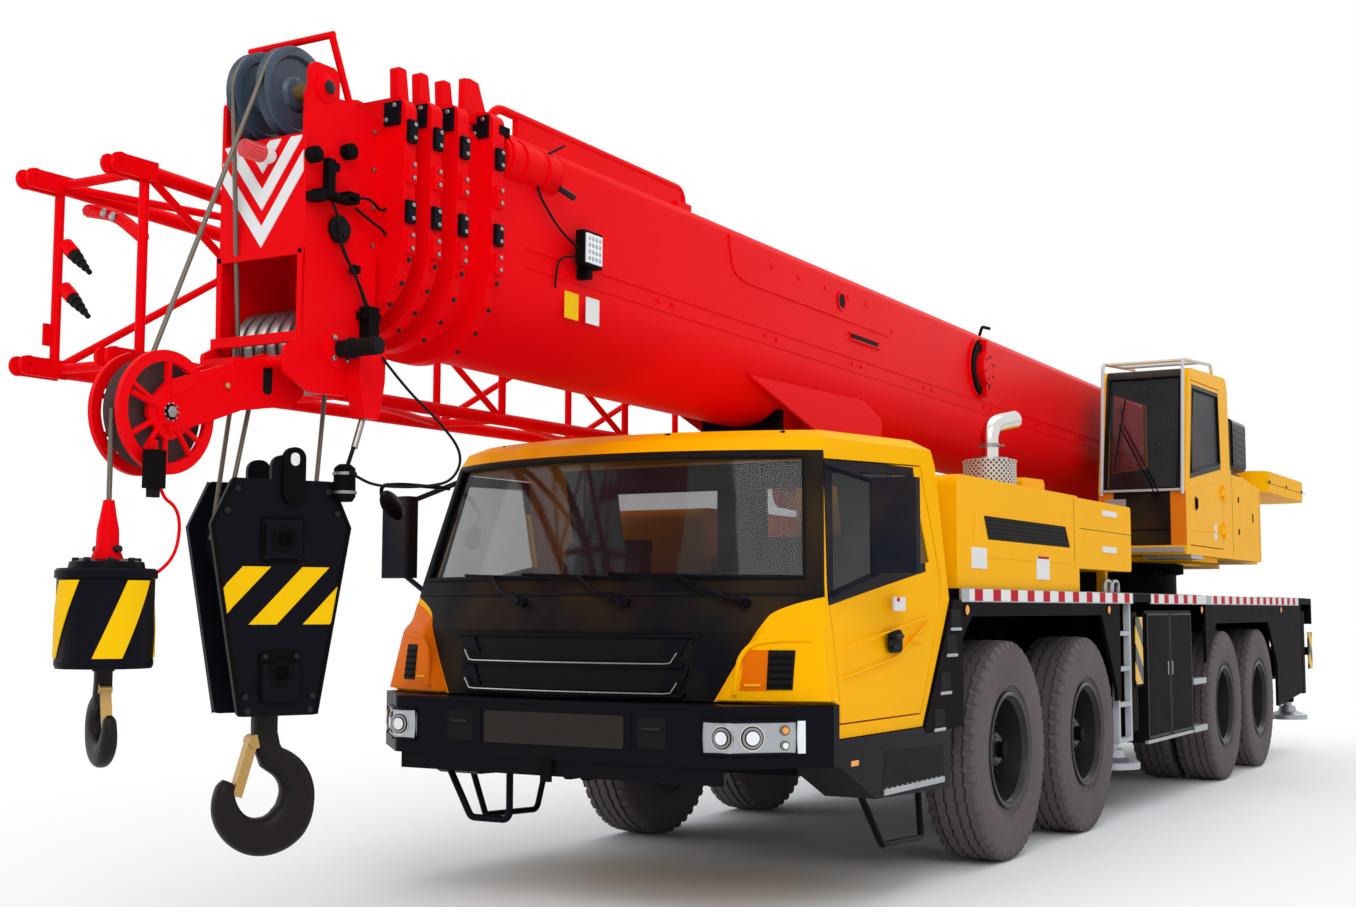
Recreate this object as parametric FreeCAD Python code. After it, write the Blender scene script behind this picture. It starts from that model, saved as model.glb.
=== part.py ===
import FreeCAD, Part
import math
import os
from FreeCAD import Vector

# Four-axle truck crane with a five-section boom, stowed for the road.
# Millimetres. x points to the vehicle's left, y to its rear and z up.
# Stations along y are measured from the first axle. The last section moves every
# piece so that the origin lies on the ground under the middle of the bounding box.
ORIGIN_STATION = 1860.0

# Running clearances
SEAT_GAP = 0.3
SHUT_GAP = 8.0

# Wheels and axles
STEERED_AXLES = 2
TYRE_RADIUS = 613.0
# Free distance between the tyres of a pair of axles, and the station of the first rear axle
FRONT_TYRE_CLEARANCE = 224.0
REAR_TYRE_CLEARANCE = 124.0
REAR_AXLE_STATION = 5300.0
AXLE_STATIONS = (0.0, 2 * TYRE_RADIUS + FRONT_TYRE_CLEARANCE, REAR_AXLE_STATION,
                 REAR_AXLE_STATION + 2 * TYRE_RADIUS + REAR_TYRE_CLEARANCE)
TYRE_WIDTH = 314.0
TYRE_OUTER_FACE_X = 1272.0
TWIN_SPACING = 350.0
RIM_SEAT_RADIUS = 306.0
RIM_FLANGE_RADIUS = 333.0
RIM_HALF_WIDTH = 128.0
RIM_FLANGE_THICKNESS = 12.7
RIM_WALL = 34.0
KINGPIN_X = 1000.0
KINGPIN_RADIUS = 30.0
STUB_RADIUS = 46.0
HUB_RADIUS = 118.0
AXLE_TUBE_RADIUS = 70.0
AXLE_BEAM_HALF_HEIGHT = 45.0
AXLE_BEAM_HALF_WIDTH = 50.0
SPRING_X = (445.0, 525.0)
SPRING_HALF_LENGTH = 600.0
SPRING_THICKNESS = 48.0
SPRING_END_Z = 800.0

# Chassis
VEHICLE_HALF_WIDTH = 1275.0
RAIL_INNER_X = 340.0
RAIL_OUTER_X = 400.0
FRAME_BOTTOM_Z = 800.0
FRAME_FRONT_STATION = -760.0
FRAME_REAR_STATION = 9150.0
FRAME_PLATE = 15.0
CAB_RAIL_BOTTOM_Z = 590.0
CAB_RAIL_FRONT_STATION = -2395.0
CAB_RAIL_REAR_STATION = -200.0
DECK_TOP_Z = 1510.0
DECK_THICKNESS = 60.0
DECK_REAR_STATION = 9200.0
SKIRT_THICKNESS = 25.0

# Outriggers
OUTRIGGER_STATIONS = (2680.0, 8900.0)
OUTRIGGER_BOX_HALF_LENGTH = 155.0
OUTRIGGER_BOX_HALF_SPAN = 940.0
OUTRIGGER_BOX_Z = (690.0, 1020.0)
BEAM_WIDTH = 130.0
BEAM_OFFSET = 70.0
BEAM_HEIGHT = 264.0
BEAM_WALL = 12.0
BEAM_TAIL_X = -860.0
BEAM_END_X = 1150.0
# From the box end to the middle of a jack
JACK_REACH = 140.0
JACK_X = OUTRIGGER_BOX_HALF_SPAN + JACK_REACH
JACK_BARREL_RADIUS = 65.0
JACK_BARREL_Z = (470.0, 1240.0)
JACK_ROD_RADIUS = 45.0
FLOAT_RADIUS = 190.0
FLOAT_Z = (300.0, 345.0)

# Carrier cab
CAB_WALL = 45.0
CAB_FLOOR_Z = 820.0
CAB_ROOF_Z = 2262.0
DOOR_HINGE_X = 1277.0
DOOR_HINGE_STATION = -2330.0

# Slewing ring and turntable
SLEW_STATION = 5700.0
RING_RADIUS = 800.0
RING_TOOTH_DEPTH = 22.0
RING_TOOTH_COUNT = 72
RING_TOP_Z = 1790.0
SIDE_PLATE_X = (400.0, 445.0)

# Boom
PIVOT_STATION = 7200.0
PIVOT_Z = 2750.0
PIVOT_RADIUS = 90.0
BOOM_TILT_DEG = 0.73
BOOM_TOP = 527.0
BOOM_BOTTOM = -433.0
BOOM_HALF_WIDTH = 355.0
SECTION_STEP = 35.0
SECTION_WALL = 15.0
BASE_MOUTH = -10950.0
BASE_TAIL = 400.0
HEAD_HALF_WIDTH = 215.0

# Lift cylinder
BARREL_PIN_STATION = 4900.0
BARREL_PIN_Z = 2000.0
ROD_PIN_STATION = 0.0
ROD_PIN_Z = 2120.0
CYLINDER_PIN_RADIUS = 60.0
CYLINDER_BARREL_RADIUS = 145.0
CYLINDER_ROD_RADIUS = 100.0

# Operator's cab
OPERATOR_X = (560.0, 1250.0)
OPERATOR_STATIONS = (4180.0, 5750.0)
OPERATOR_FLOOR_Z = 1830.0
OPERATOR_ROOF_Z = 3380.0
OPERATOR_WALL = 40.0

# Hooks
HEAD_SHEAVE_STATION = -4460.0
HEAD_SHEAVE_Z = 2370.0
HEAD_SHEAVE_RADIUS = 165.0
AUX_SHEAVE_STATION = -5160.0
AUX_SHEAVE_Z = 2070.0
AUX_SHEAVE_RADIUS = 190.0
TOP_SHEAVE_STATION = -4560.0
TOP_SHEAVE_Z = 3350.0
TOP_SHEAVE_RADIUS = 180.0
SHEAVE_PIN_RADIUS = 28.0
GROOVE_DEPTH = 22.0
ROPE_RADIUS = 9.0
# The block hangs ahead of the head sheaves because most of its falls leave them at the front
BLOCK_STATION = -4580.0
BLOCK_YAW_DEG = -26.0
BLOCK_SHEAVE_RADIUS = 205.0
BLOCK_SHEAVE_Z = 1650.0
BLOCK_PIN_RADIUS = 40.0

# Shapes

PLANES = {
    "x": lambda a, b, at: Vector(at, a, b),
    "y": lambda a, b, at: Vector(a, at, b),
    "z": lambda a, b, at: Vector(a, b, at),
}
AXES = {"x": Vector(1, 0, 0), "y": Vector(0, 1, 0), "z": Vector(0, 0, 1)}


def box(x0, x1, y0, y1, z0, z1):
    """Block between two opposite corners."""
    return Part.makeBox(x1 - x0, y1 - y0, z1 - z0, Vector(x0, y0, z0))


def rod(start, end, radius):
    """Round bar between two points."""
    first, last = Vector(*start), Vector(*end)
    return Part.makeCylinder(radius, (last - first).Length, first, last - first)


def ring(start, end, outer, inner):
    """Round tube between two points."""
    return rod(start, end, outer).cut(rod(start, end, inner))


def corner(before, here, after, radius):
    """Start, middle and end of the arc that rounds one corner of an outline."""
    u = (before - here).normalize()
    v = (after - here).normalize()
    half = u.getAngle(v) / 2
    bisector = (u + v).normalize()
    reach = radius / math.tan(half)
    middle = here + bisector * (radius / math.sin(half) - radius)
    return here + u * reach, middle, here + v * reach


def outline(points, axis, at):
    """Closed wire through (a, b) or (a, b, corner radius) points, square to axis."""
    place = PLANES[axis]
    flat = [Vector(point[0], point[1], 0) for point in points]
    corners = []
    for index, point in enumerate(points):
        here = flat[index]
        if len(point) > 2:
            corners.append(corner(flat[index - 1], here, flat[(index + 1) % len(flat)], point[2]))
        else:
            corners.append((here, here, here))
    edges = []
    for index, (start, middle, end) in enumerate(corners):
        following = corners[(index + 1) % len(corners)][0]
        if (end - start).Length > 0.001:
            edges.append(Part.Arc(*[place(p.x, p.y, at) for p in (start, middle, end)]).toShape())
        if (following - end).Length > 0.001:
            edges.append(Part.makeLine(place(end.x, end.y, at), place(following.x, following.y, at)))
    return Part.Wire(edges)


def prism(points, axis, low, high):
    """Outline square to axis, extruded from low to high along it."""
    return Part.Face(outline(points, axis, low)).extrude(AXES[axis] * (high - low))


def lathe(points, centre, axis):
    """Closed (along, radius) outline turned about an x or z axis through centre."""
    if axis == "x":
        place = [Vector(along, centre[1], centre[2] + radius) for along, radius in points]
    else:
        place = [Vector(centre[0] + radius, centre[1], along) for along, radius in points]
    face = Part.Face(Part.makePolygon(place + [place[0]]))
    return face.revolve(Vector(*centre), AXES[axis], 360)


def mirrored(shape):
    """The same shape on the vehicle's other side."""
    return shape.mirror(Vector(0, 0, 0), Vector(1, 0, 0))


def both_sides(shape):
    """A left piece and its mirror image, as separate solids."""
    return [shape, mirrored(shape)]


def fused(shapes):
    """One solid from touching shapes."""
    return shapes[0].multiFuse(shapes[1:]).removeSplitter()


def bent_bar(points, radius, bend):
    """Round bar along straight runs joined by arcs."""
    place = [Vector(*point) for point in points]
    edges = []
    end = place[0]
    for index in range(1, len(place) - 1):
        start, middle, leave = corner(place[index - 1], place[index], place[index + 1], bend)
        if (start - end).Length > 0.001:
            edges.append(Part.makeLine(end, start))
        edges.append(Part.Arc(start, middle, leave).toShape())
        end = leave
    edges.append(Part.makeLine(end, place[-1]))
    path = Part.Wire(edges)
    section = Part.Wire([Part.makeCircle(radius, place[0], place[1] - place[0])])
    return path.makePipeShell([section], True, False)


# Chassis frame

FRAME_TOP_Z = DECK_TOP_Z - DECK_THICKNESS


# Tow jaws: pin station and height, station of the plate they stand on, reach beyond the pin
TOW_JAWS = ((9225.0, 930.0, FRAME_REAR_STATION, 55), (-2470.0, 642.0, CAB_RAIL_FRONT_STATION, -55))
TOW_PIN_RADIUS = 20.0
TOW_HALF_HEIGHT = 50.0


def tow_jaws():
    """Pairs of bored ears on the rear and front cross members."""
    ears = []
    for pin_y, pin_z, root_y, reach in TOW_JAWS:
        for x in (-60, 35):
            low, high = pin_z - TOW_HALF_HEIGHT, pin_z + TOW_HALF_HEIGHT
            ear = prism(((root_y, low), (pin_y + reach, low, 30), (pin_y + reach, high, 30), (root_y, high)),
                        "x", x, x + 25)
            ears.append(ear.cut(rod((x - 1, pin_y, pin_z), (x + 26, pin_y, pin_z), TOW_PIN_RADIUS)))
    return ears


def chassis_frame():
    """Two deep rails, boxed behind the engine, with the outrigger boxes through them."""
    rails = []
    for x0, x1 in ((RAIL_INNER_X, RAIL_OUTER_X), (-RAIL_OUTER_X, -RAIL_INNER_X)):
        rails.append(box(x0, x1, FRAME_FRONT_STATION, FRAME_REAR_STATION, FRAME_BOTTOM_Z, FRAME_TOP_Z))
        rails.append(box(x0, x1, CAB_RAIL_FRONT_STATION, CAB_RAIL_REAR_STATION, CAB_RAIL_BOTTOM_Z, FRAME_BOTTOM_Z))
    boxed_from = AXLE_STATIONS[1] + 400
    for z0 in (FRAME_BOTTOM_Z, FRAME_TOP_Z - FRAME_PLATE):
        rails.append(box(-RAIL_OUTER_X, RAIL_OUTER_X, boxed_from, FRAME_REAR_STATION, z0, z0 + FRAME_PLATE))
    # cross members: station, bottom, top
    for station, z0, z1 in (
        (CAB_RAIL_FRONT_STATION, CAB_RAIL_BOTTOM_Z, FRAME_BOTTOM_Z),
        (-1500, CAB_RAIL_BOTTOM_Z, FRAME_BOTTOM_Z),
        (1150, FRAME_BOTTOM_Z, FRAME_BOTTOM_Z + 250),
        (FRAME_REAR_STATION - 60, FRAME_BOTTOM_Z, FRAME_TOP_Z),
    ):
        rails.append(box(-RAIL_OUTER_X, RAIL_OUTER_X, station, station + 60, z0, z1))
    for station in (-2250, -1150):
        for side in (-1, 1):
            x = side * (RAIL_INNER_X + RAIL_OUTER_X) / 2
            rails.append(rod((x, station, FRAME_BOTTOM_Z - 1), (x, station, CAB_FLOOR_Z - SEAT_GAP), 28))
    for axle in AXLE_STATIONS:
        for side in (-1, 1):
            for end in (-1, 1):
                y = axle + end * (SPRING_HALF_LENGTH - 30)
                x0, x1 = sorted((side * RAIL_OUTER_X, side * SPRING_X[1]))
                rails.append(box(x0, x1, y - 40, y + 40, SPRING_END_Z + SEAT_GAP, SPRING_END_Z + 140))
    rails += tow_jaws()
    boxes = []
    hollows = []
    for station in OUTRIGGER_STATIONS:
        y0 = station - OUTRIGGER_BOX_HALF_LENGTH
        y1 = station + OUTRIGGER_BOX_HALF_LENGTH
        z0, z1 = OUTRIGGER_BOX_Z
        boxes.append(box(-OUTRIGGER_BOX_HALF_SPAN, OUTRIGGER_BOX_HALF_SPAN, y0, y1, z0, z1))
        for side in (-1, 1):
            x0, x1 = sorted((side * RAIL_OUTER_X, side * OUTRIGGER_BOX_HALF_SPAN))
            boxes.append(box(x0, x1, y0, y0 + 20, z1, FRAME_TOP_Z))
        clear = OUTRIGGER_BOX_HALF_SPAN + 10
        inner = BEAM_OFFSET + BEAM_WIDTH / 2 + 3
        middle = (z0 + z1) / 2
        half = BEAM_HEIGHT / 2 + 3
        floor = middle - BEAM_HEIGHT / 2 - SEAT_GAP
        hollows.append(box(-clear, clear, station - inner, station + inner, floor, middle + half))
    frame = fused(rails + boxes)
    for hollow in hollows:
        frame = frame.cut(hollow)
    return frame


# Axles and springs

def leaf_spring(axle, seat_z, side):
    """Upswept spring pack on an axle, ends under the frame's hangers."""
    x0, x1 = sorted((side * SPRING_X[0], side * SPRING_X[1]))
    half = SPRING_HALF_LENGTH
    top = SPRING_END_Z
    tip = 16.0
    lower = [Vector(x0, axle - half, top - tip), Vector(x0, axle, seat_z), Vector(x0, axle + half, top - tip)]
    upper = [Vector(x0, axle + half, top), Vector(x0, axle, seat_z + SPRING_THICKNESS), Vector(x0, axle - half, top)]
    edges = [
        Part.Arc(*lower).toShape(),
        Part.makeLine(lower[2], upper[0]),
        Part.Arc(*upper).toShape(),
        Part.makeLine(upper[2], lower[0]),
    ]
    return Part.Face(Part.Wire(edges)).extrude(Vector(x1 - x0, 0, 0))


def steered_axle(axle):
    """Beam axle whose ends are bored for the kingpins."""
    z = TYRE_RADIUS
    reach = KINGPIN_X
    parts = [box(-reach, reach, axle - AXLE_BEAM_HALF_WIDTH, axle + AXLE_BEAM_HALF_WIDTH,
                 z - AXLE_BEAM_HALF_HEIGHT, z + AXLE_BEAM_HALF_HEIGHT)]
    for side in (-1, 1):
        eye = rod((side * reach, axle, z - 60), (side * reach, axle, z + 60), 58)
        parts.append(eye)
        parts.append(box(side * 485 - 60, side * 485 + 60, axle - 70, axle + 70,
                         z + AXLE_BEAM_HALF_HEIGHT - 5, z + AXLE_BEAM_HALF_HEIGHT + 5))
        parts.append(leaf_spring(axle, z + AXLE_BEAM_HALF_HEIGHT + 4, side))
    beam = fused(parts)
    for side in (-1, 1):
        bore = rod((side * reach, axle, z - 70), (side * reach, axle, z + 70), KINGPIN_RADIUS + SEAT_GAP)
        beam = beam.cut(bore)
    return beam


# Final drive housing turned about the axle: along, radius
FINAL_DRIVE = ((-180, 0), (-180, 80), (-110, 180), (110, 180), (180, 80), (180, 0))


def driven_axle(axle):
    """Tube axle with its final drive in the middle and stubs for twin wheels."""
    z = TYRE_RADIUS
    hub_face = TYRE_OUTER_FACE_X - TYRE_WIDTH / 2 - TWIN_SPACING + 115
    end = TYRE_OUTER_FACE_X - TYRE_WIDTH / 2 - 15
    parts = [rod((-hub_face, axle, z), (hub_face, axle, z), AXLE_TUBE_RADIUS),
             rod((-end, axle, z), (end, axle, z), STUB_RADIUS),
             lathe(FINAL_DRIVE, (0, axle, z), "x"),
             rod((0, axle - 280, z), (0, axle, z), 90)]
    for side in (-1, 1):
        parts.append(leaf_spring(axle, z + AXLE_TUBE_RADIUS - 6, side))
    return fused(parts)


def axle_beams():
    """All four axles with their springs, as separate solids."""
    axles = [steered_axle(axle) for axle in AXLE_STATIONS[:STEERED_AXLES]]
    axles += [driven_axle(axle) for axle in AXLE_STATIONS[STEERED_AXLES:]]
    return Part.makeCompound(axles)


def knuckle(side, axle):
    """Kingpin, yoke and stub axle that carry one steered wheel."""
    z = TYRE_RADIUS
    x = KINGPIN_X
    parts = [rod((x, axle, z - 108), (x, axle, z + 108), KINGPIN_RADIUS)]
    for low in (-106, 60 + SEAT_GAP):
        parts.append(box(x - 45, x + 95, axle - 45, axle + 45, z + low, z + low + 45))
    parts.append(box(x + 75, x + 95, axle - 80, axle + 80, z - 106, z + 106))
    parts.append(rod((x + 94, axle, z), (TYRE_OUTER_FACE_X - 40, axle, z), STUB_RADIUS))
    parts.append(box(x - 20, x + 20, axle + 30, axle + 180, z - 100, z - 70))
    shape = fused(parts)
    return shape if side > 0 else mirrored(shape)


# Wheels

# Half of the tyre's outline from the bead to the tread: along the axle, radius
TYRE_HALF = ((115, RIM_SEAT_RADIUS), (115, 334), (140, 345), (157, 450), (150, 570), (122, TYRE_RADIUS))


def tyre(centre_x, axle):
    """Plain tyre with round shoulders."""
    points = [(centre_x + x, radius) for x, radius in TYRE_HALF]
    points += [(centre_x - x, radius) for x, radius in reversed(TYRE_HALF)]
    return lathe(points, (0, axle, TYRE_RADIUS), "x")


def rim_outline(first_x, last_x):
    """Well and flanges of a rim whose outermost wheels centre on first_x and last_x."""
    seat = RIM_SEAT_RADIUS - SEAT_GAP
    flange = RIM_HALF_WIDTH - RIM_FLANGE_THICKNESS
    half = RIM_HALF_WIDTH
    points = [(first_x - half, seat - RIM_WALL), (first_x - half, RIM_FLANGE_RADIUS),
              (first_x - flange, RIM_FLANGE_RADIUS), (first_x - flange, seat)]
    if last_x > first_x:
        points += [(first_x + flange, seat), (first_x + flange, RIM_FLANGE_RADIUS),
                   (first_x + half, RIM_FLANGE_RADIUS), (first_x + half, seat),
                   (last_x - half, seat), (last_x - half, RIM_FLANGE_RADIUS),
                   (last_x - flange, RIM_FLANGE_RADIUS), (last_x - flange, seat)]
    points += [(last_x + flange, seat), (last_x + flange, RIM_FLANGE_RADIUS),
               (last_x + half, RIM_FLANGE_RADIUS), (last_x + half, seat - RIM_WALL)]
    return points


def steered_wheel(side, axle):
    """Single tyre on a rim dished outward."""
    centre = TYRE_OUTER_FACE_X - TYRE_WIDTH / 2
    z = TYRE_RADIUS
    well = RIM_SEAT_RADIUS - SEAT_GAP - RIM_WALL
    hub_face = KINGPIN_X + 95 + SEAT_GAP
    rim = lathe(rim_outline(centre, centre), (0, axle, z), "x")
    disc = lathe([(centre + 30, well + 4), (centre + 44, well + 4), (centre + 78, 190),
                  (centre + 78, HUB_RADIUS - 8), (centre + 62, HUB_RADIUS - 8), (centre + 62, 185)],
                 (0, axle, z), "x")
    hub = lathe([(hub_face, STUB_RADIUS + SEAT_GAP), (hub_face, HUB_RADIUS), (centre + 118, HUB_RADIUS),
                 (centre + 150, 80), (centre + 150, 0), (TYRE_OUTER_FACE_X - 39, 0),
                 (TYRE_OUTER_FACE_X - 39, STUB_RADIUS + SEAT_GAP)], (0, axle, z), "x")
    shape = Part.makeCompound([tyre(centre, axle), fused([rim, disc, hub])])
    return shape if side > 0 else mirrored(shape)


def twin_wheel(side, axle):
    """Two tyres on rims bolted back to back to a deep-set hub."""
    outer = TYRE_OUTER_FACE_X - TYRE_WIDTH / 2
    inner = outer - TWIN_SPACING
    z = TYRE_RADIUS
    well = RIM_SEAT_RADIUS - SEAT_GAP - RIM_WALL
    middle = (inner + outer) / 2
    hub_face = inner + 115 + SEAT_GAP
    rim = lathe(rim_outline(inner, outer), (0, axle, z), "x")
    disc = lathe([(middle - 12, well + 4), (middle + 12, well + 4), (middle + 12, HUB_RADIUS - 8),
                  (middle - 12, HUB_RADIUS - 8)], (0, axle, z), "x")
    hub = lathe([(hub_face, STUB_RADIUS + SEAT_GAP), (hub_face, HUB_RADIUS), (outer + 40, HUB_RADIUS),
                 (outer + 62, 84), (outer + 62, 0), (outer - 14, 0), (outer - 14, STUB_RADIUS + SEAT_GAP)],
                (0, axle, z), "x")
    shape = Part.makeCompound([tyre(outer, axle), tyre(inner, axle), fused([rim, disc, hub])])
    return shape if side > 0 else mirrored(shape)


# Deck, skirts, cabinets and engine

# Front arch: the opening under the deck edge, with room for the steered wheels
FRONT_ARCH = ((-760, 700), (-760, 1250), (-620, 1361), (1770, 1361), (2105, 860), (2105, 700))
REAR_ARCH = ((4600, 400), (4600, 960), (4990, 1285), (7030, 1285), (7410, 900), (7410, 400))


# Front edge of the wheel guard, close behind the cab's sloping rear edge
GUARD_FRONT = ((-1285, 790), (-1285, 820), (-1186, 976), (-977, 1300), (-885, 1450))


def skirt_panels():
    """Left side sheets that hang from the deck edge around the wheels."""
    x0 = VEHICLE_HALF_WIDTH - SKIRT_THICKNESS
    x1 = VEHICLE_HALF_WIDTH
    front = prism(GUARD_FRONT + ((2190, 1450), (2190, 790)), "x", x0, x1)
    front = front.cut(prism(FRONT_ARCH, "x", x0 - 1, x1 + 1))
    front = front.cut(rod((x0 - 1, 0, TYRE_RADIUS), (x1 + 1, 0, TYRE_RADIUS), TYRE_RADIUS + 95))
    guard = prism(GUARD_FRONT + ((-700, 1450), (-700, 790)), "x", 980, x0)
    guard = guard.cut(rod((900, 0, TYRE_RADIUS), (x1, 0, TYRE_RADIUS), TYRE_RADIUS + 95))
    hollow = prism(((-1265, 700), (-1265, 830), (-957, 1307), (-690, 1425), (-690, 700)), "x", 960, x0).common(
        box(900, x0, -1262, 0, 600, 1500))
    guard = guard.cut(hollow)
    rear = prism(((4620, 1450), (4620, 900), (7450, 500), (8620, 580), (8620, 1450)), "x", x0, x1)
    rear = rear.cut(prism(REAR_ARCH, "x", x0 - 1, x1 + 1))
    return front, guard, rear


def deck():
    """Flat carrier deck with its side sheets and wheel guards."""
    w = VEHICLE_HALF_WIDTH
    plate = box(-w, w, FRAME_FRONT_STATION, DECK_REAR_STATION, DECK_TOP_Z - DECK_THICKNESS, DECK_TOP_Z)
    parts = [plate]
    for panel in skirt_panels():
        parts += both_sides(panel)
    parts.append(box(-w, w, DECK_REAR_STATION - 30, DECK_REAR_STATION, 1250, DECK_TOP_Z - DECK_THICKNESS))
    return fused(parts)


CABINET_STATIONS = (2845.0, 4170.0)
CABINET_Z = (460.0, 1390.0)
LADDER_STATIONS = (2190.0, 2520.0)


def side_cabinets():
    """Locker boxes between the axle groups and the ladders beside them."""
    y0, y1 = CABINET_STATIONS
    z0, z1 = CABINET_Z
    locker = box(720, 1262, y0, y1, z0, z1)
    middle = (y0 + y1) / 2
    for door_y0, door_y1 in ((y0 + 15, middle - 6), (middle + 6, y1 - 15)):
        locker = locker.fuse(box(1262, 1272, door_y0, door_y1, z0 + 20, z1 - 20))
    locker = locker.fuse(box(RAIL_OUTER_X + SEAT_GAP, 720, y0 + 100, y1 - 100, 1000, 1300))
    rails = [box(1215, 1255, y, y + 40, 500, 1449.7) for y in (LADDER_STATIONS[0], LADDER_STATIONS[1] - 40)]
    rungs = [box(1215, 1255, LADDER_STATIONS[0], LADDER_STATIONS[1], z, z + 30) for z in (500, 740, 980, 1220)]
    ladder = fused(rails + rungs)
    return Part.makeCompound(both_sides(locker) + both_sides(ladder))


REST_STATIONS = (-870.0, -790.0)
# How far past the saddle its cradle is cut along the boom
REST_CLEARANCE = 500.0


def boom_rest():
    """Saddle behind the cab that the stowed boom lies on."""
    y0, y1 = REST_STATIONS
    post = box(-140, 140, y0, y1, DECK_TOP_Z + SEAT_GAP, 2400)
    saddle = box(-240, 240, y0, y1, 2330, 2510)
    foot = box(-300, 300, y0 + 10, FRAME_FRONT_STATION + 100, DECK_TOP_Z + SEAT_GAP, DECK_TOP_Z + 40)
    clear = in_place(boom_prism(0, y0 - PIVOT_STATION - REST_CLEARANCE, y1 - PIVOT_STATION + REST_CLEARANCE,
                                SEAT_GAP))
    return fused([post, saddle, foot]).cut(clear)


def engine_block():
    """The engine as one plain block, hung between the rails on two pairs of mounts."""
    reach = RAIL_INNER_X - SEAT_GAP
    block = box(-RAIL_INNER_X + 20, RAIL_INNER_X - 20, -650, 1100, FRAME_BOTTOM_Z - 40, FRAME_TOP_Z - 10)
    mounts = [box(-reach, reach, y, y + 120, 1000, 1090) for y in (-420, 720)]
    return fused([block] + mounts)


HOUSING_FRONT = -750.0
HOUSING_STEP = 1400.0
HOUSING_REAR = 2610.0
HOUSING_TOP_Z = 2120.0
HOUSING_X = (300.0, 1245.0)


def engine_housing():
    """Hood over the engine: two raised sides, a low middle under the boom and an overhung box."""
    base = DECK_TOP_Z + SEAT_GAP
    x0, x1 = HOUSING_X
    side = prism(((HOUSING_FRONT, base), (HOUSING_FRONT, HOUSING_TOP_Z, 60), (HOUSING_STEP, HOUSING_TOP_Z, 40),
                  (HOUSING_STEP, base)), "x", x0, x1)
    vent = prism(((-480, 1880), (950, 1880), (1080, 1700), (-480, 1700)), "x", x1 - 30, x1 + 1)
    side = side.cut(vent)
    middle = box(-x0, x0, HOUSING_FRONT + 100, HOUSING_STEP - 100, base, base + 190)
    overhang = prism(((HOUSING_STEP, 1660), (HOUSING_STEP, 2110), (HOUSING_REAR, 2110, 30), (HOUSING_REAR, 1660, 30)),
                     "x", x0 + 260, x1)
    legs = [box(x, x + 60, HOUSING_REAR - 300, HOUSING_REAR - 240, base, 1661) for x in (x0 + 330, x1 - 160)]
    other = prism(((HOUSING_FRONT, base), (HOUSING_FRONT, 1980, 60), (HOUSING_STEP, 1980, 40), (HOUSING_STEP, base)),
                  "x", -x1, -x0)
    return fused([side, middle, overhang, other] + legs)


EXHAUST_X = 800.0
EXHAUST_STATION = 1000.0
EXHAUST_CAN_HEIGHT = 215.0
EXHAUST_TIP_RISE = 500.0


def exhaust_stack():
    """Guarded silencer on the hood with a bent tail pipe."""
    x, y = EXHAUST_X, EXHAUST_STATION
    base = HOUSING_TOP_Z + SEAT_GAP
    tip = HOUSING_TOP_Z + EXHAUST_TIP_RISE
    top = base + EXHAUST_CAN_HEIGHT
    can = rod((x, y, base), (x, y, top), 172)
    lid = rod((x, y, top - 1), (x, y, top + 20), 120)
    pipe = bent_bar(((x, y, top + 15), (x, y, tip - 60), (x + 90, y + 250, tip)), 58, 110)
    return fused([can, lid, pipe])


# Bumper, lamps and steps

BUMPER_Z = (700.0, 974.0)
BUMPER_PLAN = ((-1275, -2300), (-1275, -2360), (-930, -2700, 60), (930, -2700, 60), (1275, -2360), (1275, -2300),
               (1225, -2300), (1180, -2400), (-1180, -2400), (-1225, -2300))
LAMP_Z = (765.0, 908.0)
# Headlamp recess in plan, on the swept corner of the bumper
LAMP_PLAN = ((800, -2760), (800, -2640), (1105, -2440), (1230, -2460), (1230, -2760))


def front_bumper():
    """Swept bumper with its lower lip, side steps and the tube steps below them."""
    z0, z1 = BUMPER_Z
    beam = prism(BUMPER_PLAN, "z", z0, z1)
    lip = prism(((-900, -2690), (900, -2690), (840, -2560), (-840, -2560)), "z", 625, z0)
    parts = [beam, lip]
    for side in (-1, 1):
        pocket = prism([(side * x, y) for x, y in LAMP_PLAN], "z", *LAMP_Z)
        parts[0] = parts[0].cut(pocket)
        x0, x1 = sorted((side * 1010, side * 1275))
        parts.append(prism(((-2300, 815), (-2300, 700), (-1900, 520), (-955, 490), (-955, 785), (-1290, 785),
                            (-1310, 815)), "x", x0, x1))
        step = bent_bar(((side * 1140, -1800, 540), (side * 1180, -1620, 270), (side * 1180, -1130, 250),
                         (side * 1140, -1080, 540)), 17, 40)
        parts.append(step)
        parts.append(box(min(side * 400, side * 1012), max(side * 400, side * 1012), -2250, -2190, 640, 700))
    parts.append(bent_bar(((-790, -2520, z0 + 10), (-600, -2520, 385), (-370, -2520, 385), (-370, -2520, z0 + 10)), 17, 40))
    return fused(parts)


def headlamps():
    """Lens blocks seated in the bumper's corner recesses."""
    lamps = []
    gap = SEAT_GAP
    swept = prism(BUMPER_PLAN, "z", LAMP_Z[0] + gap, LAMP_Z[1] - gap)
    for side in (-1, 1):
        inner = [(side * (x + (gap if x < 900 else -gap)), y + (-gap if y > -2700 else 0)) for x, y in LAMP_PLAN]
        lamps.append(swept.common(prism(inner, "z", LAMP_Z[0] + gap, LAMP_Z[1] - gap)))
    return Part.makeCompound(lamps)


# Carrier cab

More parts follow.
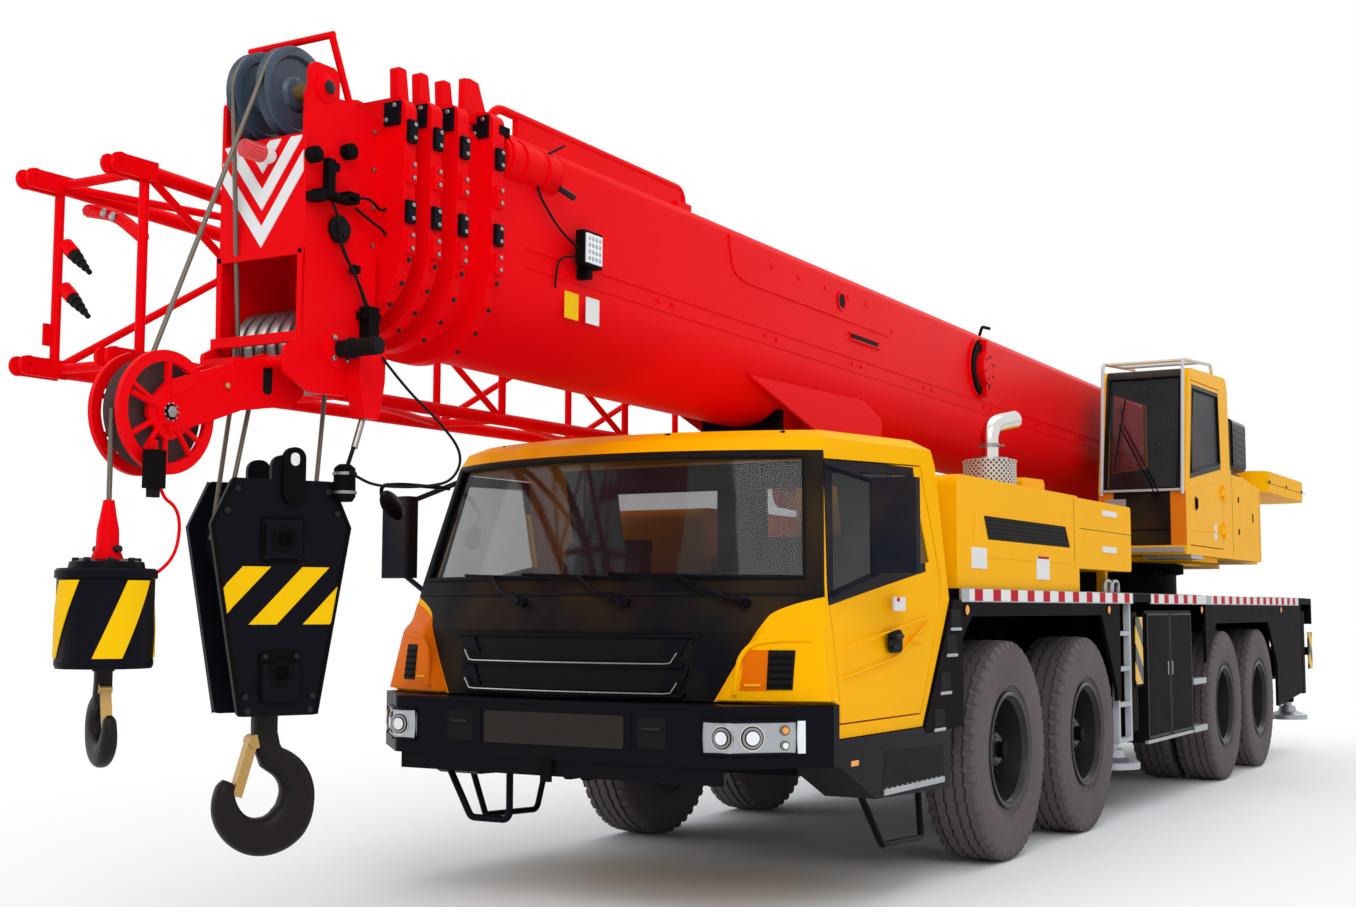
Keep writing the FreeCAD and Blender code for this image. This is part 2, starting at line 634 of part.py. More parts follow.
# Plan sections of the cab: height, front corner x and station, middle of the front, rear x and station
CAB_SECTIONS = (
    (820, 1262, -2285, -2388, 1262, -1300),
    (976, 1262, -2290, -2388, 1262, -1201),
    (982, 1260, -2310, -2620, 1262, -1198),
    (1300, 1205, -2262, -2645, 1258, -992),
    (1450, 1172, -2232, -2600, 1256, -900),
    (1523, 1158, -2222, -2545, 1255, -916),
    (2134, 1070, -2035, -2360, 1245, -1052),
    (2215, 1055, -1975, -2270, 1235, -1085),
    (2262, 985, -1880, -2120, 1160, -1180),
)


def cab_volume(inset, floor_z, roof_z):
    """Ruled body through the plan sections, drawn in by inset and kept between two heights."""
    wires = []
    for z, corner_x, corner_y, front_y, rear_x, rear_y in CAB_SECTIONS:
        left = Vector(corner_x - inset, corner_y + inset, z)
        right = Vector(-corner_x + inset, corner_y + inset, z)
        rear_left = Vector(rear_x - inset, rear_y - inset, z)
        rear_right = Vector(-rear_x + inset, rear_y - inset, z)
        front = Vector(0, front_y + inset, z)
        wires.append(Part.Wire([Part.Arc(right, front, left).toShape(), Part.makeLine(left, rear_left),
                                Part.makeLine(rear_left, rear_right), Part.makeLine(rear_right, right)]))
    body = Part.makeLoft(wires, True, True)
    return body.common(box(-1400, 1400, -3000, 0, floor_z, roof_z))


def cab_shell():
    """The cab's walls, floor and roof before the doors are split off."""
    outer = cab_volume(0, CAB_FLOOR_Z, CAB_ROOF_Z)
    inner = cab_volume(CAB_WALL, CAB_FLOOR_Z + CAB_WALL, CAB_ROOF_Z - 60)
    return outer.cut(inner)


DOOR_OUTLINE = ((-2270, 880), (-2270, 968), (-2205, 1440), (-2035, 2110), (-1190, 2130), (-1000, 1550),
                (-1010, 1440), (-1315, 880))
DOOR_WINDOW = ((-2135, 1480), (-1980, 2050), (-1270, 2075), (-1120, 1640))
WINDSHIELD = ((-1085, 1545), (-1000, 2120), (1000, 2120), (1085, 1545))
REAR_WINDOW = ((-700, 1600), (700, 1600), (700, 2050), (-700, 2050))


def inset_outline(points, inset):
    """Points of a convex outline moved toward its middle by about inset."""
    middle_a = sum(point[0] for point in points) / len(points)
    middle_b = sum(point[1] for point in points) / len(points)
    moved = []
    for a, b in points:
        moved.append((a + math.copysign(inset, middle_a - a), b + math.copysign(inset, middle_b - b)))
    return moved


def carrier_cab():
    """Hollow cab body with its door and window openings and a raised floor over the rails."""
    shell = cab_shell()
    for side in (-1, 1):
        x0, x1 = sorted((side * 950, side * 1400))
        shell = shell.cut(prism(DOOR_OUTLINE, "x", x0, x1))
    shell = shell.cut(prism(WINDSHIELD, "y", -2800, -1900))
    shell = shell.cut(prism(REAR_WINDOW, "y", -1200, -800))
    grille = prism(((-560, 1010), (-640, 1260), (760, 1260), (700, 1010)), "y", -2700, -2560)
    return shell.cut(grille.common(box(-800, 800, -2700, -2602, 1000, 1270)))


def cab_glass():
    """Windshield and rear window, seated in their openings."""
    outer = cab_volume(8, CAB_FLOOR_Z, CAB_ROOF_Z)
    inner = cab_volume(20, CAB_FLOOR_Z - 50, CAB_ROOF_Z + 50)
    skin = outer.cut(inner)
    front = skin.common(prism(inset_outline(WINDSHIELD, SEAT_GAP), "y", -2800, -1900))
    rear = skin.common(prism(inset_outline(REAR_WINDOW, SEAT_GAP), "y", -1200, -800))
    return Part.makeCompound([front, rear])


def cab_interior():
    """Dash, wheel, two seats and the engine tunnel between them."""
    dash = prism(((-2330, 870), (-2330, 1330), (-2150, 1400, 40), (-1990, 1330, 40), (-2100, 870)), "x", -1080, 1080)
    seats = []
    for side in (-1, 1):
        x0, x1 = side * 620 - 250, side * 620 + 250
        seats.append(prism(((-1830, 865 + SEAT_GAP), (-1830, 1200), (-1420, 1240, 40), (-1290, 1780, 60),
                            (-1190, 1780, 40), (-1280, 1150), (-1330, 865 + SEAT_GAP)), "x", x0, x1))
    wheel = Part.makeTorus(215, 16, Vector(620, -1960, 1440), Vector(0, 0.55, 0.83))
    column = rod((620, -2130, 1300), (620, -1957, 1437), 26)
    spokes = rod((420, -1960, 1440), (820, -1960, 1440), 11)
    dash = dash.common(cab_volume(CAB_WALL + SEAT_GAP, CAB_FLOOR_Z + CAB_WALL + SEAT_GAP, CAB_ROOF_Z))
    return Part.makeCompound([fused([dash, column, spokes, wheel])] + seats)


def cab_door(side):
    """Door split from the cab's side wall, with its window opening and mirror."""
    skin = cab_shell().common(prism(inset_outline(DOOR_OUTLINE, SHUT_GAP), "x", 950, 1400))
    skin = skin.cut(prism(DOOR_WINDOW, "x", 900, 1400))
    mirror = prism(((1345, -2130, 20), (1560, -2090, 20), (1560, -2010, 20), (1345, -2030, 20)), "z", 1560, 2000)
    arms = [rod((1135, -2165, 1450), (1450, -2065, 1600), 14), rod((1050, -2010, 2085), (1430, -2060, 1960), 14)]
    handle = box(1225, 1272, -1420, -1290, 1240, 1265)
    shape = fused([skin, mirror, handle] + arms)
    return shape if side > 0 else mirrored(shape)


def door_glass(side):
    """Side window pane seated in a cab door."""
    outer = cab_volume(8, CAB_FLOOR_Z, CAB_ROOF_Z)
    inner = cab_volume(20, CAB_FLOOR_Z - 50, CAB_ROOF_Z + 50)
    pane = outer.cut(inner).common(prism(inset_outline(DOOR_WINDOW, SEAT_GAP), "x", 900, 1400))
    return pane if side > 0 else mirrored(pane)


# Outriggers

def beam_middle_z():
    """Height of the outrigger beams' middle."""
    return sum(OUTRIGGER_BOX_Z) / 2


def outrigger_beam(side, station):
    """Sliding beam with the jack barrel and striped cover at its outer end."""
    y = station - side * BEAM_OFFSET
    half = BEAM_WIDTH / 2
    z = beam_middle_z()
    high = BEAM_HEIGHT / 2
    tube = box(BEAM_TAIL_X, BEAM_END_X, y - half, y + half, z - high, z + high)
    wall = BEAM_WALL
    tube = tube.cut(box(BEAM_TAIL_X - 1, JACK_X - 90, y - half + wall, y + half - wall, z - high + wall, z + high - wall))
    barrel = rod((JACK_X, y, JACK_BARREL_Z[0]), (JACK_X, y, JACK_BARREL_Z[1]), JACK_BARREL_RADIUS)
    cover = box(BEAM_END_X, 1255, y - half, y + half, 560, 1380)
    bore = rod((JACK_X, y, JACK_BARREL_Z[0] - 1), (JACK_X, y, JACK_BARREL_Z[1] - 40), JACK_ROD_RADIUS + SEAT_GAP)
    shape = fused([tube, barrel, cover]).cut(bore)
    return shape if side > 0 else mirrored(shape)


def jack(side, station):
    """Jack rod with its round float."""
    y = station - side * BEAM_OFFSET
    stem = rod((JACK_X, y, FLOAT_Z[1] - 1), (JACK_X, y, JACK_BARREL_Z[1] - 60), JACK_ROD_RADIUS)
    pad = lathe([(FLOAT_Z[0], 0), (FLOAT_Z[0], FLOAT_RADIUS), (FLOAT_Z[1], FLOAT_RADIUS), (FLOAT_Z[1] + 30, 90),
                 (FLOAT_Z[1] + 85, 75), (FLOAT_Z[1] + 85, 0)], (JACK_X, y, 0), "z")
    shape = fused([stem, pad])
    return shape if side > 0 else mirrored(shape)


# Superstructure

def slewing_ring():
    """Pedestal and outer gear ring that carry the turntable."""
    y = SLEW_STATION
    base = DECK_TOP_Z + SEAT_GAP
    drum = lathe([(base, 500), (base, RING_RADIUS - 40), (RING_TOP_Z - 90, RING_RADIUS - 40),
                  (RING_TOP_Z - 90, RING_RADIUS), (RING_TOP_Z, RING_RADIUS), (RING_TOP_Z, 500)], (0, y, 0), "z")
    half = math.radians(360.0 / RING_TOOTH_COUNT / 4)
    inner, outer = RING_RADIUS - 5, RING_RADIUS + RING_TOOTH_DEPTH
    tooth = prism(((inner, -inner * half), (outer, -outer * half * 0.6), (outer, outer * half * 0.6),
                   (inner, inner * half)), "z", RING_TOP_Z - 85, RING_TOP_Z - 5)
    teeth = []
    for index in range(RING_TOOTH_COUNT):
        copy = tooth.copy()
        copy.rotate(Vector(0, 0, 0), Vector(0, 0, 1), 360.0 * index / RING_TOOTH_COUNT)
        copy.translate(Vector(0, y, 0))
        teeth.append(copy)
    return fused([drum] + teeth)


TABLE_TOP_Z = OPERATOR_FLOOR_Z - SEAT_GAP
TABLE_FRONT = 4560.0
TABLE_REAR = 8900.0
TABLE_END = 8600.0
SIDE_PLATE = ((TABLE_FRONT, 1840), (TABLE_FRONT, 2080, 80), (5400, 2180), (6750, 2700, 200), (7050, 2950, 150),
              (7350, 2950, 150), (7650, 2700), (TABLE_REAR, 2620), (TABLE_REAR, 2210), (TABLE_END, 2150),
              (TABLE_END, 1840))


def turntable():
    """Round base, two side plates with the boom's pivot stubs and the cylinder's base pin."""
    low = RING_TOP_Z + SEAT_GAP
    high = TABLE_TOP_Z
    parts = [rod((0, SLEW_STATION, low), (0, SLEW_STATION, high), RING_RADIUS - 5),
             box(-500, 500, TABLE_FRONT, TABLE_END, high - 20, high + 20)]
    x0, x1 = SIDE_PLATE_X
    for side in (-1, 1):
        parts.append(prism(SIDE_PLATE, "x", *sorted((side * x0, side * x1))))
        parts.append(rod((side * 300, PIVOT_STATION, PIVOT_Z), (side * x1, PIVOT_STATION, PIVOT_Z), PIVOT_RADIUS))
        lug = prism(((BARREL_PIN_STATION - 130, high), (BARREL_PIN_STATION - 130, BARREL_PIN_Z + 110, 60),
                     (BARREL_PIN_STATION + 130, BARREL_PIN_Z + 110, 60), (BARREL_PIN_STATION + 130, high)),
                    "x", *sorted((side * 110, side * 150)))
        parts.append(lug)
    parts.append(rod((-150, BARREL_PIN_STATION, BARREL_PIN_Z), (150, BARREL_PIN_STATION, BARREL_PIN_Z),
                     CYLINDER_PIN_RADIUS))
    parts.append(box(x1, OPERATOR_X[0] + 600, 4700, 5600, low, high))
    tank = prism(((4900, 1880), (4900, 2480, 40), (6900, 2480, 40), (6900, 1880)), "x", -1240, -520)
    parts.append(box(-700, -x1, 5200, 6600, high - 20, 1885))
    return fused(parts + [tank])


OPERATOR_SIDE = ((4180, 1830), (4180, 2330), (4360, 3320, 90), (5700, 3380, 110), (5750, 2450), (5750, 1830))
OPERATOR_DOOR = ((4290, 1900), (4290, 2360), (4420, 3230), (5400, 3250), (5440, 2450), (5440, 1900))
# Hinge axis at the door's rear edge, heights of its two hinges and their sizes
OPERATOR_HINGE_X = 1262.0
OPERATOR_HINGE_STATION = 5440.0
OPERATOR_HINGES_Z = (2060.0, 2380.0)
HINGE_HALF_HEIGHT = 30.0
HINGE_PIN_RADIUS = 7.0
HINGE_BARREL_RADIUS = 11.5
OPERATOR_DOOR_WINDOW = ((4360, 2480), (4480, 3160), (5320, 3180), (5360, 2620))
OPERATOR_WINDSHIELD = ((630, 2360), (630, 3250), (1180, 3250), (1180, 2360))
OPERATOR_RIGHT_WINDOW = ((4420, 2500), (4540, 3160), (5560, 3180), (5560, 2620))


def operator_shell():
    """Walls, floor and roof of the operator's cab."""
    outer = prism(OPERATOR_SIDE, "x", *OPERATOR_X)
    wall = OPERATOR_WALL
    inner_side = ((4180 + wall, 1830 + wall), (4180 + wall, 2330), (4360 + wall, 3320 - wall, 60),
                  (5700 - wall, 3380 - wall, 70), (5750 - wall, 2450), (5750 - wall, 1830 + wall))
    return outer.cut(prism(inner_side, "x", OPERATOR_X[0] + wall, OPERATOR_X[1] - wall))


def guard_rails():
    """Tube guard over the operator's windshield and roof."""
    bars = []
    for x in (OPERATOR_X[0] + 25, OPERATOR_X[1] - 25):
        bars.append(bent_bar(((x, 4176, 2300), (x, 4290, 3380), (x, 5250, 3450), (x, 5250, 3345)), 14, 60))
    for station, z in ((4420, 3389), (4850, 3420)):
        bars.append(rod((OPERATOR_X[0] + 25, station, z), (OPERATOR_X[1] - 25, station, z), 14))
    return bars


def hinge_pins():
    """Pins of the operator's door with the brackets that hold them above and below."""
    x, y = OPERATOR_HINGE_X, OPERATOR_HINGE_STATION
    low, high = HINGE_HALF_HEIGHT + SEAT_GAP, HINGE_HALF_HEIGHT + 30
    pins = []
    for z in OPERATOR_HINGES_Z:
        pins.append(rod((x, y, z - high), (x, y, z + high), HINGE_PIN_RADIUS))
        for z0, z1 in ((z - high, z - low), (z + low, z + high)):
            pins.append(box(OPERATOR_X[1] - 1, x + HINGE_BARREL_RADIUS, y - 8, y + 60, z0, z1))
    return pins


def operator_cab():
    """Operator's cab body with the housing behind it."""
    shell = operator_shell()
    shell = shell.cut(prism(OPERATOR_DOOR, "x", OPERATOR_X[1] - 60, OPERATOR_X[1] + 10))
    shell = shell.cut(prism(OPERATOR_RIGHT_WINDOW, "x", OPERATOR_X[0] - 10, OPERATOR_X[0] + 60))
    shell = shell.cut(prism(OPERATOR_WINDSHIELD, "y", 4100, 4500))
    x0, x1 = OPERATOR_X
    housing = prism(((5750, 1830), (5750, 2600, 20), (6950, 2500, 40), (6950, 1830, 20)), "x", x0, x1)
    unit = box(x1 - 420, x1 - 60, 5800, 6120, 2560, 3050)
    return fused([shell, housing, unit] + guard_rails() + hinge_pins())


def operator_glass():
    """Front and right panes of the operator's cab."""
    face = ((4186, 2330), (4366, 3320), (4378, 3320), (4198, 2330))
    front = prism(face, "x", *OPERATOR_X).common(
        prism(inset_outline(OPERATOR_WINDSHIELD, SEAT_GAP), "y", 4100, 4500))
    right = prism(inset_outline(OPERATOR_RIGHT_WINDOW, SEAT_GAP), "x", OPERATOR_X[0] + 8, OPERATOR_X[0] + 20)
    return Part.makeCompound([front, right])


def operator_interior():
    """Operator's seat with its consoles."""
    floor = OPERATOR_FLOOR_Z + OPERATOR_WALL + SEAT_GAP
    seat = prism(((4900, floor), (4850, 2330, 30), (5330, 2350, 40), (5420, 2980, 60), (5520, 2980, 40),
                  (5430, 2280), (5350, floor)), "x", 760, 1060)
    consoles = [box(x, x + 110, 4820, 5300, floor, 2420) for x in (640, 1080)]
    return Part.makeCompound([seat] + consoles)


def operator_door():
    """Side door of the operator's cab, hinged at its rear edge."""
    leaf = prism(inset_outline(OPERATOR_DOOR, SHUT_GAP), "x", OPERATOR_X[1] - OPERATOR_WALL + 2, OPERATOR_X[1])
    leaf = leaf.cut(prism(OPERATOR_DOOR_WINDOW, "x", OPERATOR_X[1] - 60, OPERATOR_X[1] + 10))
    x, y = OPERATOR_HINGE_X, OPERATOR_HINGE_STATION
    half = HINGE_HALF_HEIGHT
    parts = [leaf]
    for z in OPERATOR_HINGES_Z:
        parts.append(rod((x, y, z - half), (x, y, z + half), HINGE_BARREL_RADIUS))
        parts.append(box(OPERATOR_X[1] - 1, x + 4, y - 90, y, z - half, z + half))
    leaf = fused(parts)
    for z in OPERATOR_HINGES_Z:
        leaf = leaf.cut(rod((x, y, z - half - 1), (x, y, z + half + 1), HINGE_PIN_RADIUS + SEAT_GAP))
    pane = prism(inset_outline(OPERATOR_DOOR_WINDOW, SEAT_GAP), "x", OPERATOR_X[1] - 24, OPERATOR_X[1] - 10)
    return Part.makeCompound([leaf, pane])


WINCH_STATIONS = (8180.0, 8640.0)
WINCH_Z = 2400.0
WINCH_FLANGE_RADIUS = 215.0
WINCH_DRUM_RADIUS = 165.0


def winches():
    """Main and auxiliary rope drums between the side plates."""
    drums = []
    x0 = SIDE_PLATE_X[0] - SEAT_GAP
    for station in WINCH_STATIONS:
        drum = rod((-x0, station, WINCH_Z), (x0, station, WINCH_Z), 60)
        drum = drum.fuse(rod((-300, station, WINCH_Z), (300, station, WINCH_Z), WINCH_DRUM_RADIUS))
        for x in (-320, 290):
            drum = drum.fuse(rod((x, station, WINCH_Z), (x + 30, station, WINCH_Z), WINCH_FLANGE_RADIUS))
        drums.append(drum.removeSplitter())
    return Part.makeCompound(drums)


def counterweight():
    """Tail weight under and beside the winches, with wide side wings on top."""
    x0 = SIDE_PLATE_X[1] + 2
    base = TABLE_TOP_Z + 20 + SEAT_GAP
    parts = []
    for side in (-1, 1):
        low = prism(((7780, base), (7780, 2510), (8520, 2510), (8520, base)), "x", *sorted((side * x0, side * 890)))
        wing = prism([(side * x, y) if not r else (side * x, y, r) for x, y, r in (
            (x0, 7250, 0), (1250, 7250, 180), (1250, 9280, 260), (x0, 9280, 0))], "z", 2500, 2700)
        parts += [low, wing]
    parts.append(box(-x0 - 1, x0 + 1, TABLE_REAR + 5, 9280, 2300, 2700))
    return fused(parts)


# Boom, in its own level frame with the pivot at the origin and the mouth toward -y

def boom_outline(shrink, extra=0):
    """Boom profile square to y: flat top with round corners and a deep round bottom."""
    half = BOOM_HALF_WIDTH - shrink + extra
    top = BOOM_TOP - shrink + extra
    bottom = BOOM_BOTTOM + shrink - extra
    return half, top, bottom


def boom_prism(shrink, start, end, extra=0):
    """Solid of the boom profile between two stations along the boom."""
    half, top, bottom = boom_outline(shrink, extra)
    radius = 55.0
    spring = bottom + half
    k = radius * (1 - math.sqrt(0.5))
    points = [Vector(-half, start, spring), Vector(-half, start, top - radius),
              Vector(-half + k, start, top - k), Vector(-half + radius, start, top),
              Vector(half - radius, start, top), Vector(half - k, start, top - k),
              Vector(half, start, top - radius), Vector(half, start, spring), Vector(0, start, bottom)]
    edges = [Part.makeLine(points[0], points[1]), Part.Arc(points[1], points[2], points[3]).toShape(),
             Part.makeLine(points[3], points[4]), Part.Arc(points[4], points[5], points[6]).toShape(),
             Part.makeLine(points[6], points[7]), Part.Arc(points[7], points[8], points[0]).toShape()]
    return Part.Face(Part.Wire(edges)).extrude(Vector(0, end - start, 0))


def boom_tube(index, start, end):
    """Hollow boom section, numbered from 0 for the base section."""
    shrink = index * SECTION_STEP
    return boom_prism(shrink, start, end).cut(boom_prism(shrink + SECTION_WALL, start - 1, end + 1))


# Section collars: section number, front of the collar, collar thickness, growth over the tube, tab height
COLLARS = ((0, -10950, 80, 36, 80), (1, -11155, 70, 50, 105), (2, -11300, 70, 64, 115), (3, -11435, 70, 78, 120))


def collar(index):
    """Stiff ring round a section's mouth that guides the next section, with two upstanding tabs."""
    number, front, thickness, growth, tab = COLLARS[index]
    shrink = number * SECTION_STEP
    ring_body = boom_prism(shrink, front, front + thickness, growth)
    ring_body = ring_body.cut(boom_prism(shrink + SECTION_STEP, front - 1, front + thickness + 1, SEAT_GAP))
    top = BOOM_TOP - shrink + growth
    tabs = [prism(((front, top - 20), (front - 8, top + tab, 12), (front + 46, top + tab, 12),
                   (front + thickness, top - 20)), "x", x, x + 40) for x in (-290, 250)]
    return fused([ring_body] + tabs)


def in_place(shape):
    """Move a shape from the boom's level frame to its stowed place."""
    copy = shape.copy()
    copy.rotate(Vector(0, 0, 0), Vector(1, 0, 0), -BOOM_TILT_DEG)
    copy.translate(Vector(0, PIVOT_STATION, PIVOT_Z))
    return copy


def from_vehicle(shape):
    """Move a shape drawn at its stowed place into the boom's level frame."""
    copy = shape.copy()
    copy.translate(Vector(0, -PIVOT_STATION, -PIVOT_Z))
    copy.rotate(Vector(0, 0, 0), Vector(1, 0, 0), BOOM_TILT_DEG)
    return copy


# Folded stiffener low on each side of the base section, and its cross webs (station, bottom)
GUSSET_OUTLINE = ((-1412, 2630), (48, 2650), (330, 2560), (330, 2440), (48, 2400), (-566, 2395))
GUSSET_WEBS = ((-566, 2400), (40, 2410))
# Round port with a reel hub in each side
PORT_STATION = 2050.0
PORT_DROP = 192.0
PORT_Z = PIVOT_Z + BOOM_TOP - PORT_DROP
PORT_RADIUS = 218.0
PORT_HUB_RADIUS = 115.0
# Drum at the mouth's upper left corner
DRUM_STATIONS = (-3650.0, -3255.0)
DRUM_RISE = 13.0
DRUM_Z = PIVOT_Z + BOOM_TOP + DRUM_RISE


def boom_base():
    """Base section with pivot bosses, cylinder lugs, side gussets and ports."""
    tube = boom_tube(0, BASE_MOUTH + 1, BASE_TAIL)
    parts = [tube, collar(0)]
    for side in (-1, 1):
        parts.append(rod((side * 310, 0, 0), (side * 394, 0, 0), 175))
        lug = prism(((ROD_PIN_STATION - 260, 2440), (ROD_PIN_STATION - 120, 2010, 90), (ROD_PIN_STATION + 120, 2010, 90),
                     (ROD_PIN_STATION + 700, 2440)), "x", *sorted((side * 120, side * 160)))
        parts.append(from_vehicle(lug))
        x0, x1 = sorted((side * (BOOM_HALF_WIDTH - 23), side * (BOOM_HALF_WIDTH - 3)))
        parts.append(from_vehicle(prism(GUSSET_OUTLINE, "x", x0, x1)))
        for y, z in GUSSET_WEBS:
            parts.append(from_vehicle(box(min(x0, side * 180), max(x1, side * 180), y, y + 15, z, 2660)))
        port = rod((side * (BOOM_HALF_WIDTH - 5), PORT_STATION, PORT_Z),
                   (side * (BOOM_HALF_WIDTH + 12), PORT_STATION, PORT_Z), PORT_RADIUS)
        hub = rod((side * (BOOM_HALF_WIDTH - 5), PORT_STATION, PORT_Z),
                  (side * (BOOM_HALF_WIDTH + 75), PORT_STATION, PORT_Z), PORT_HUB_RADIUS)
        recess = rod((side * (BOOM_HALF_WIDTH + 2), PORT_STATION, PORT_Z),
                     (side * (BOOM_HALF_WIDTH + 20), PORT_STATION, PORT_Z), PORT_RADIUS - 14)
        parts.append(from_vehicle(port.cut(recess).fuse(hub)))
    drum = rod((BOOM_HALF_WIDTH - 40, DRUM_STATIONS[0], DRUM_Z), (BOOM_HALF_WIDTH - 40, DRUM_STATIONS[1], DRUM_Z), 95)
    parts.append(from_vehicle(drum))
    rail = [box(x, x + 30, BASE_MOUTH + 300, BASE_MOUTH + 1700, BOOM_TOP - 10, BOOM_TOP + 90) for x in (-300, 270)]
    shape = fused(parts + rail)
    shape = shape.cut(boom_prism(SECTION_WALL, BASE_MOUTH + COLLARS[0][2], -500))
    for side in (-1, 1):
        lug_bore = from_vehicle(rod((side * 110, ROD_PIN_STATION, ROD_PIN_Z), (side * 170, ROD_PIN_STATION, ROD_PIN_Z),
                                    CYLINDER_PIN_RADIUS))
        pivot = rod((side * 290, 0, 0), (side * 400, 0, 0), PIVOT_RADIUS + SEAT_GAP)
        shape = shape.cut(lug_bore).cut(pivot)
    return in_place(shape)


# Room behind the first telescoping section, and how much further forward each next one ends
TAIL_ROOM = 1255.0
TAIL_STEP = 140.0


def section_end(index):
    """Rear end of a retracted section along the boom."""
    return BASE_TAIL - TAIL_ROOM - (index - 1) * TAIL_STEP


def boom_section(index):
    """Telescoping section 1 to 3 with its own collar, retracted."""
    front = COLLARS[index][1]
    return in_place(fused([boom_tube(index, front + 1, section_end(index)), collar(index)]))


HEAD_SIDE = ((-4655, 3330, 20), (-4655, 2390, 10), (-4740, 2345, 20), (-4740, 2250, 20), (-4600, 2190, 40),
             (-4380, 2200, 60), (-4260, 2420, 60), (-4240, 3300, 10), (-4420, 3330, 10))
# Pin across the head's lower front that carries the auxiliary arm
ARM_PIN_STATION = -4705.0
ARM_PIN_Z = 2300.0
ARM_PIN_RADIUS = 22.0


def boom_head():
    """Innermost section with the boom head: cheeks, chevron plate and guard rods."""
    index = 4
    start = from_vehicle(box(0, 1, -4330, -4329, 2700, 2701)).BoundBox.YMin
    tube = in_place(boom_tube(index, start, section_end(index)))
    half = HEAD_HALF_WIDTH
    parts = [tube]
    for side in (-1, 1):
        parts.append(prism(HEAD_SIDE, "x", *sorted((side * (half - 20), side * half))))
    parts.append(box(-half, half, -4655, -4635, 2720, 3160))
    parts.append(box(-half, half, -4300, -4280, 2460, 3280))
    parts.append(box(-half, half, -4690, -4666, 2372, 2410))
    parts += [box(side * (half - 10) - 10, side * (half - 10) + 10, -4690, -4640, 2372, 2410) for side in (-1, 1)]
    parts.append(rod((-half, ARM_PIN_STATION, ARM_PIN_Z), (half, ARM_PIN_STATION, ARM_PIN_Z), ARM_PIN_RADIUS))
    parts.append(rod((-half - 20, HEAD_SHEAVE_STATION, HEAD_SHEAVE_Z), (half + 20, HEAD_SHEAVE_STATION,
                 HEAD_SHEAVE_Z), SHEAVE_PIN_RADIUS))
    parts.append(rod((-half - 20, TOP_SHEAVE_STATION, TOP_SHEAVE_Z), (half + 20, TOP_SHEAVE_STATION, TOP_SHEAVE_Z),
                     SHEAVE_PIN_RADIUS))
    for side in (-1, 1):
        ear = prism(((-4640, 3300), (-4640, 3440, 40), (-4480, 3440, 40), (-4480, 3300)), "x",
                    *sorted((side * (half - 20), side * half)))
        parts.append(ear)
        parts.append(rod((side * (half - 10), -4400, 3300), (side * (half - 10), -4520, 3570), 14))
    parts.append(rod((-half, -4520, 3570), (half, -4520, 3570), 14))
    return fused(parts)


def sheave(x, station, z, radius, width):
    """Grooved rope wheel with a bored centre."""
    half = width / 2
    bore = SHEAVE_PIN_RADIUS + SEAT_GAP
    groove = radius - GROOVE_DEPTH
    profile = [(x - half, bore), (x - half, radius), (x - half * 0.35, groove), (x + half * 0.35, groove),
               (x + half, radius), (x + half, bore)]
    return lathe(profile, (0, station, z), "x")


def head_sheaves():
    """Two top sheaves and a row of lower ones in the boom head."""
    wheels = [sheave(x, TOP_SHEAVE_STATION, TOP_SHEAVE_Z, TOP_SHEAVE_RADIUS, 70) for x in (-95, 55)]
    wheels += [sheave(x, HEAD_SHEAVE_STATION, HEAD_SHEAVE_Z, HEAD_SHEAVE_RADIUS, 46)
               for x in (-145, -87, -29, 29, 87, 145)]
    return Part.makeCompound(wheels)


def aux_sheave_head():
    """Hinged arm below the head with the single auxiliary sheave in its guard."""
    y, z = AUX_SHEAVE_STATION, AUX_SHEAVE_Z
    arms = []
    for x in (-75, 55):
        root = ARM_PIN_STATION + 40
        plate = prism(((root, ARM_PIN_Z + 45, 30), (root, ARM_PIN_Z - 45, 30), (y, z - 110, 60), (y - 110, z, 60),
                       (y, z + 110, 60)), "x", x, x + 20)
        arms.append(plate.cut(rod((x - 1, ARM_PIN_STATION, ARM_PIN_Z), (x + 21, ARM_PIN_STATION, ARM_PIN_Z),
                                  ARM_PIN_RADIUS + SEAT_GAP)))
        arms.append(ring((x, y, z), (x + 20, y, z), 215, 175))
        for angle in range(0, 360, 60):
            dx = math.cos(math.radians(angle + 30))
            dz = math.sin(math.radians(angle + 30))
            arms.append(rod((x + 10, y, z), (x + 10, y + 195 * dx, z + 195 * dz), 10))
    arms.append(rod((-90, y, z), (90, y, z), SHEAVE_PIN_RADIUS))
    arms.append(box(-75, 75, -4860, -4810, 2200, 2300))
    wheel = sheave(0, y, z, AUX_SHEAVE_RADIUS, 60)
    return Part.makeCompound([fused(arms), wheel])


JIB_X = (-1130.0, -640.0)
JIB_FRONT = -4650.0
JIB_REAR = 3900.0
JIB_BOTTOM_Z = 2360.0
JIB_FRONT_HEIGHT = 760.0
JIB_REAR_HEIGHT = 440.0
JIB_TOP_FRONT_Z = JIB_BOTTOM_Z + JIB_FRONT_HEIGHT
JIB_TOP_REAR_Z = JIB_BOTTOM_Z + JIB_REAR_HEIGHT
JIB_BRACKET_RISE = 340.0
JIB_BRACKET_HEIGHT = 80.0
JIB_BAYS = 7


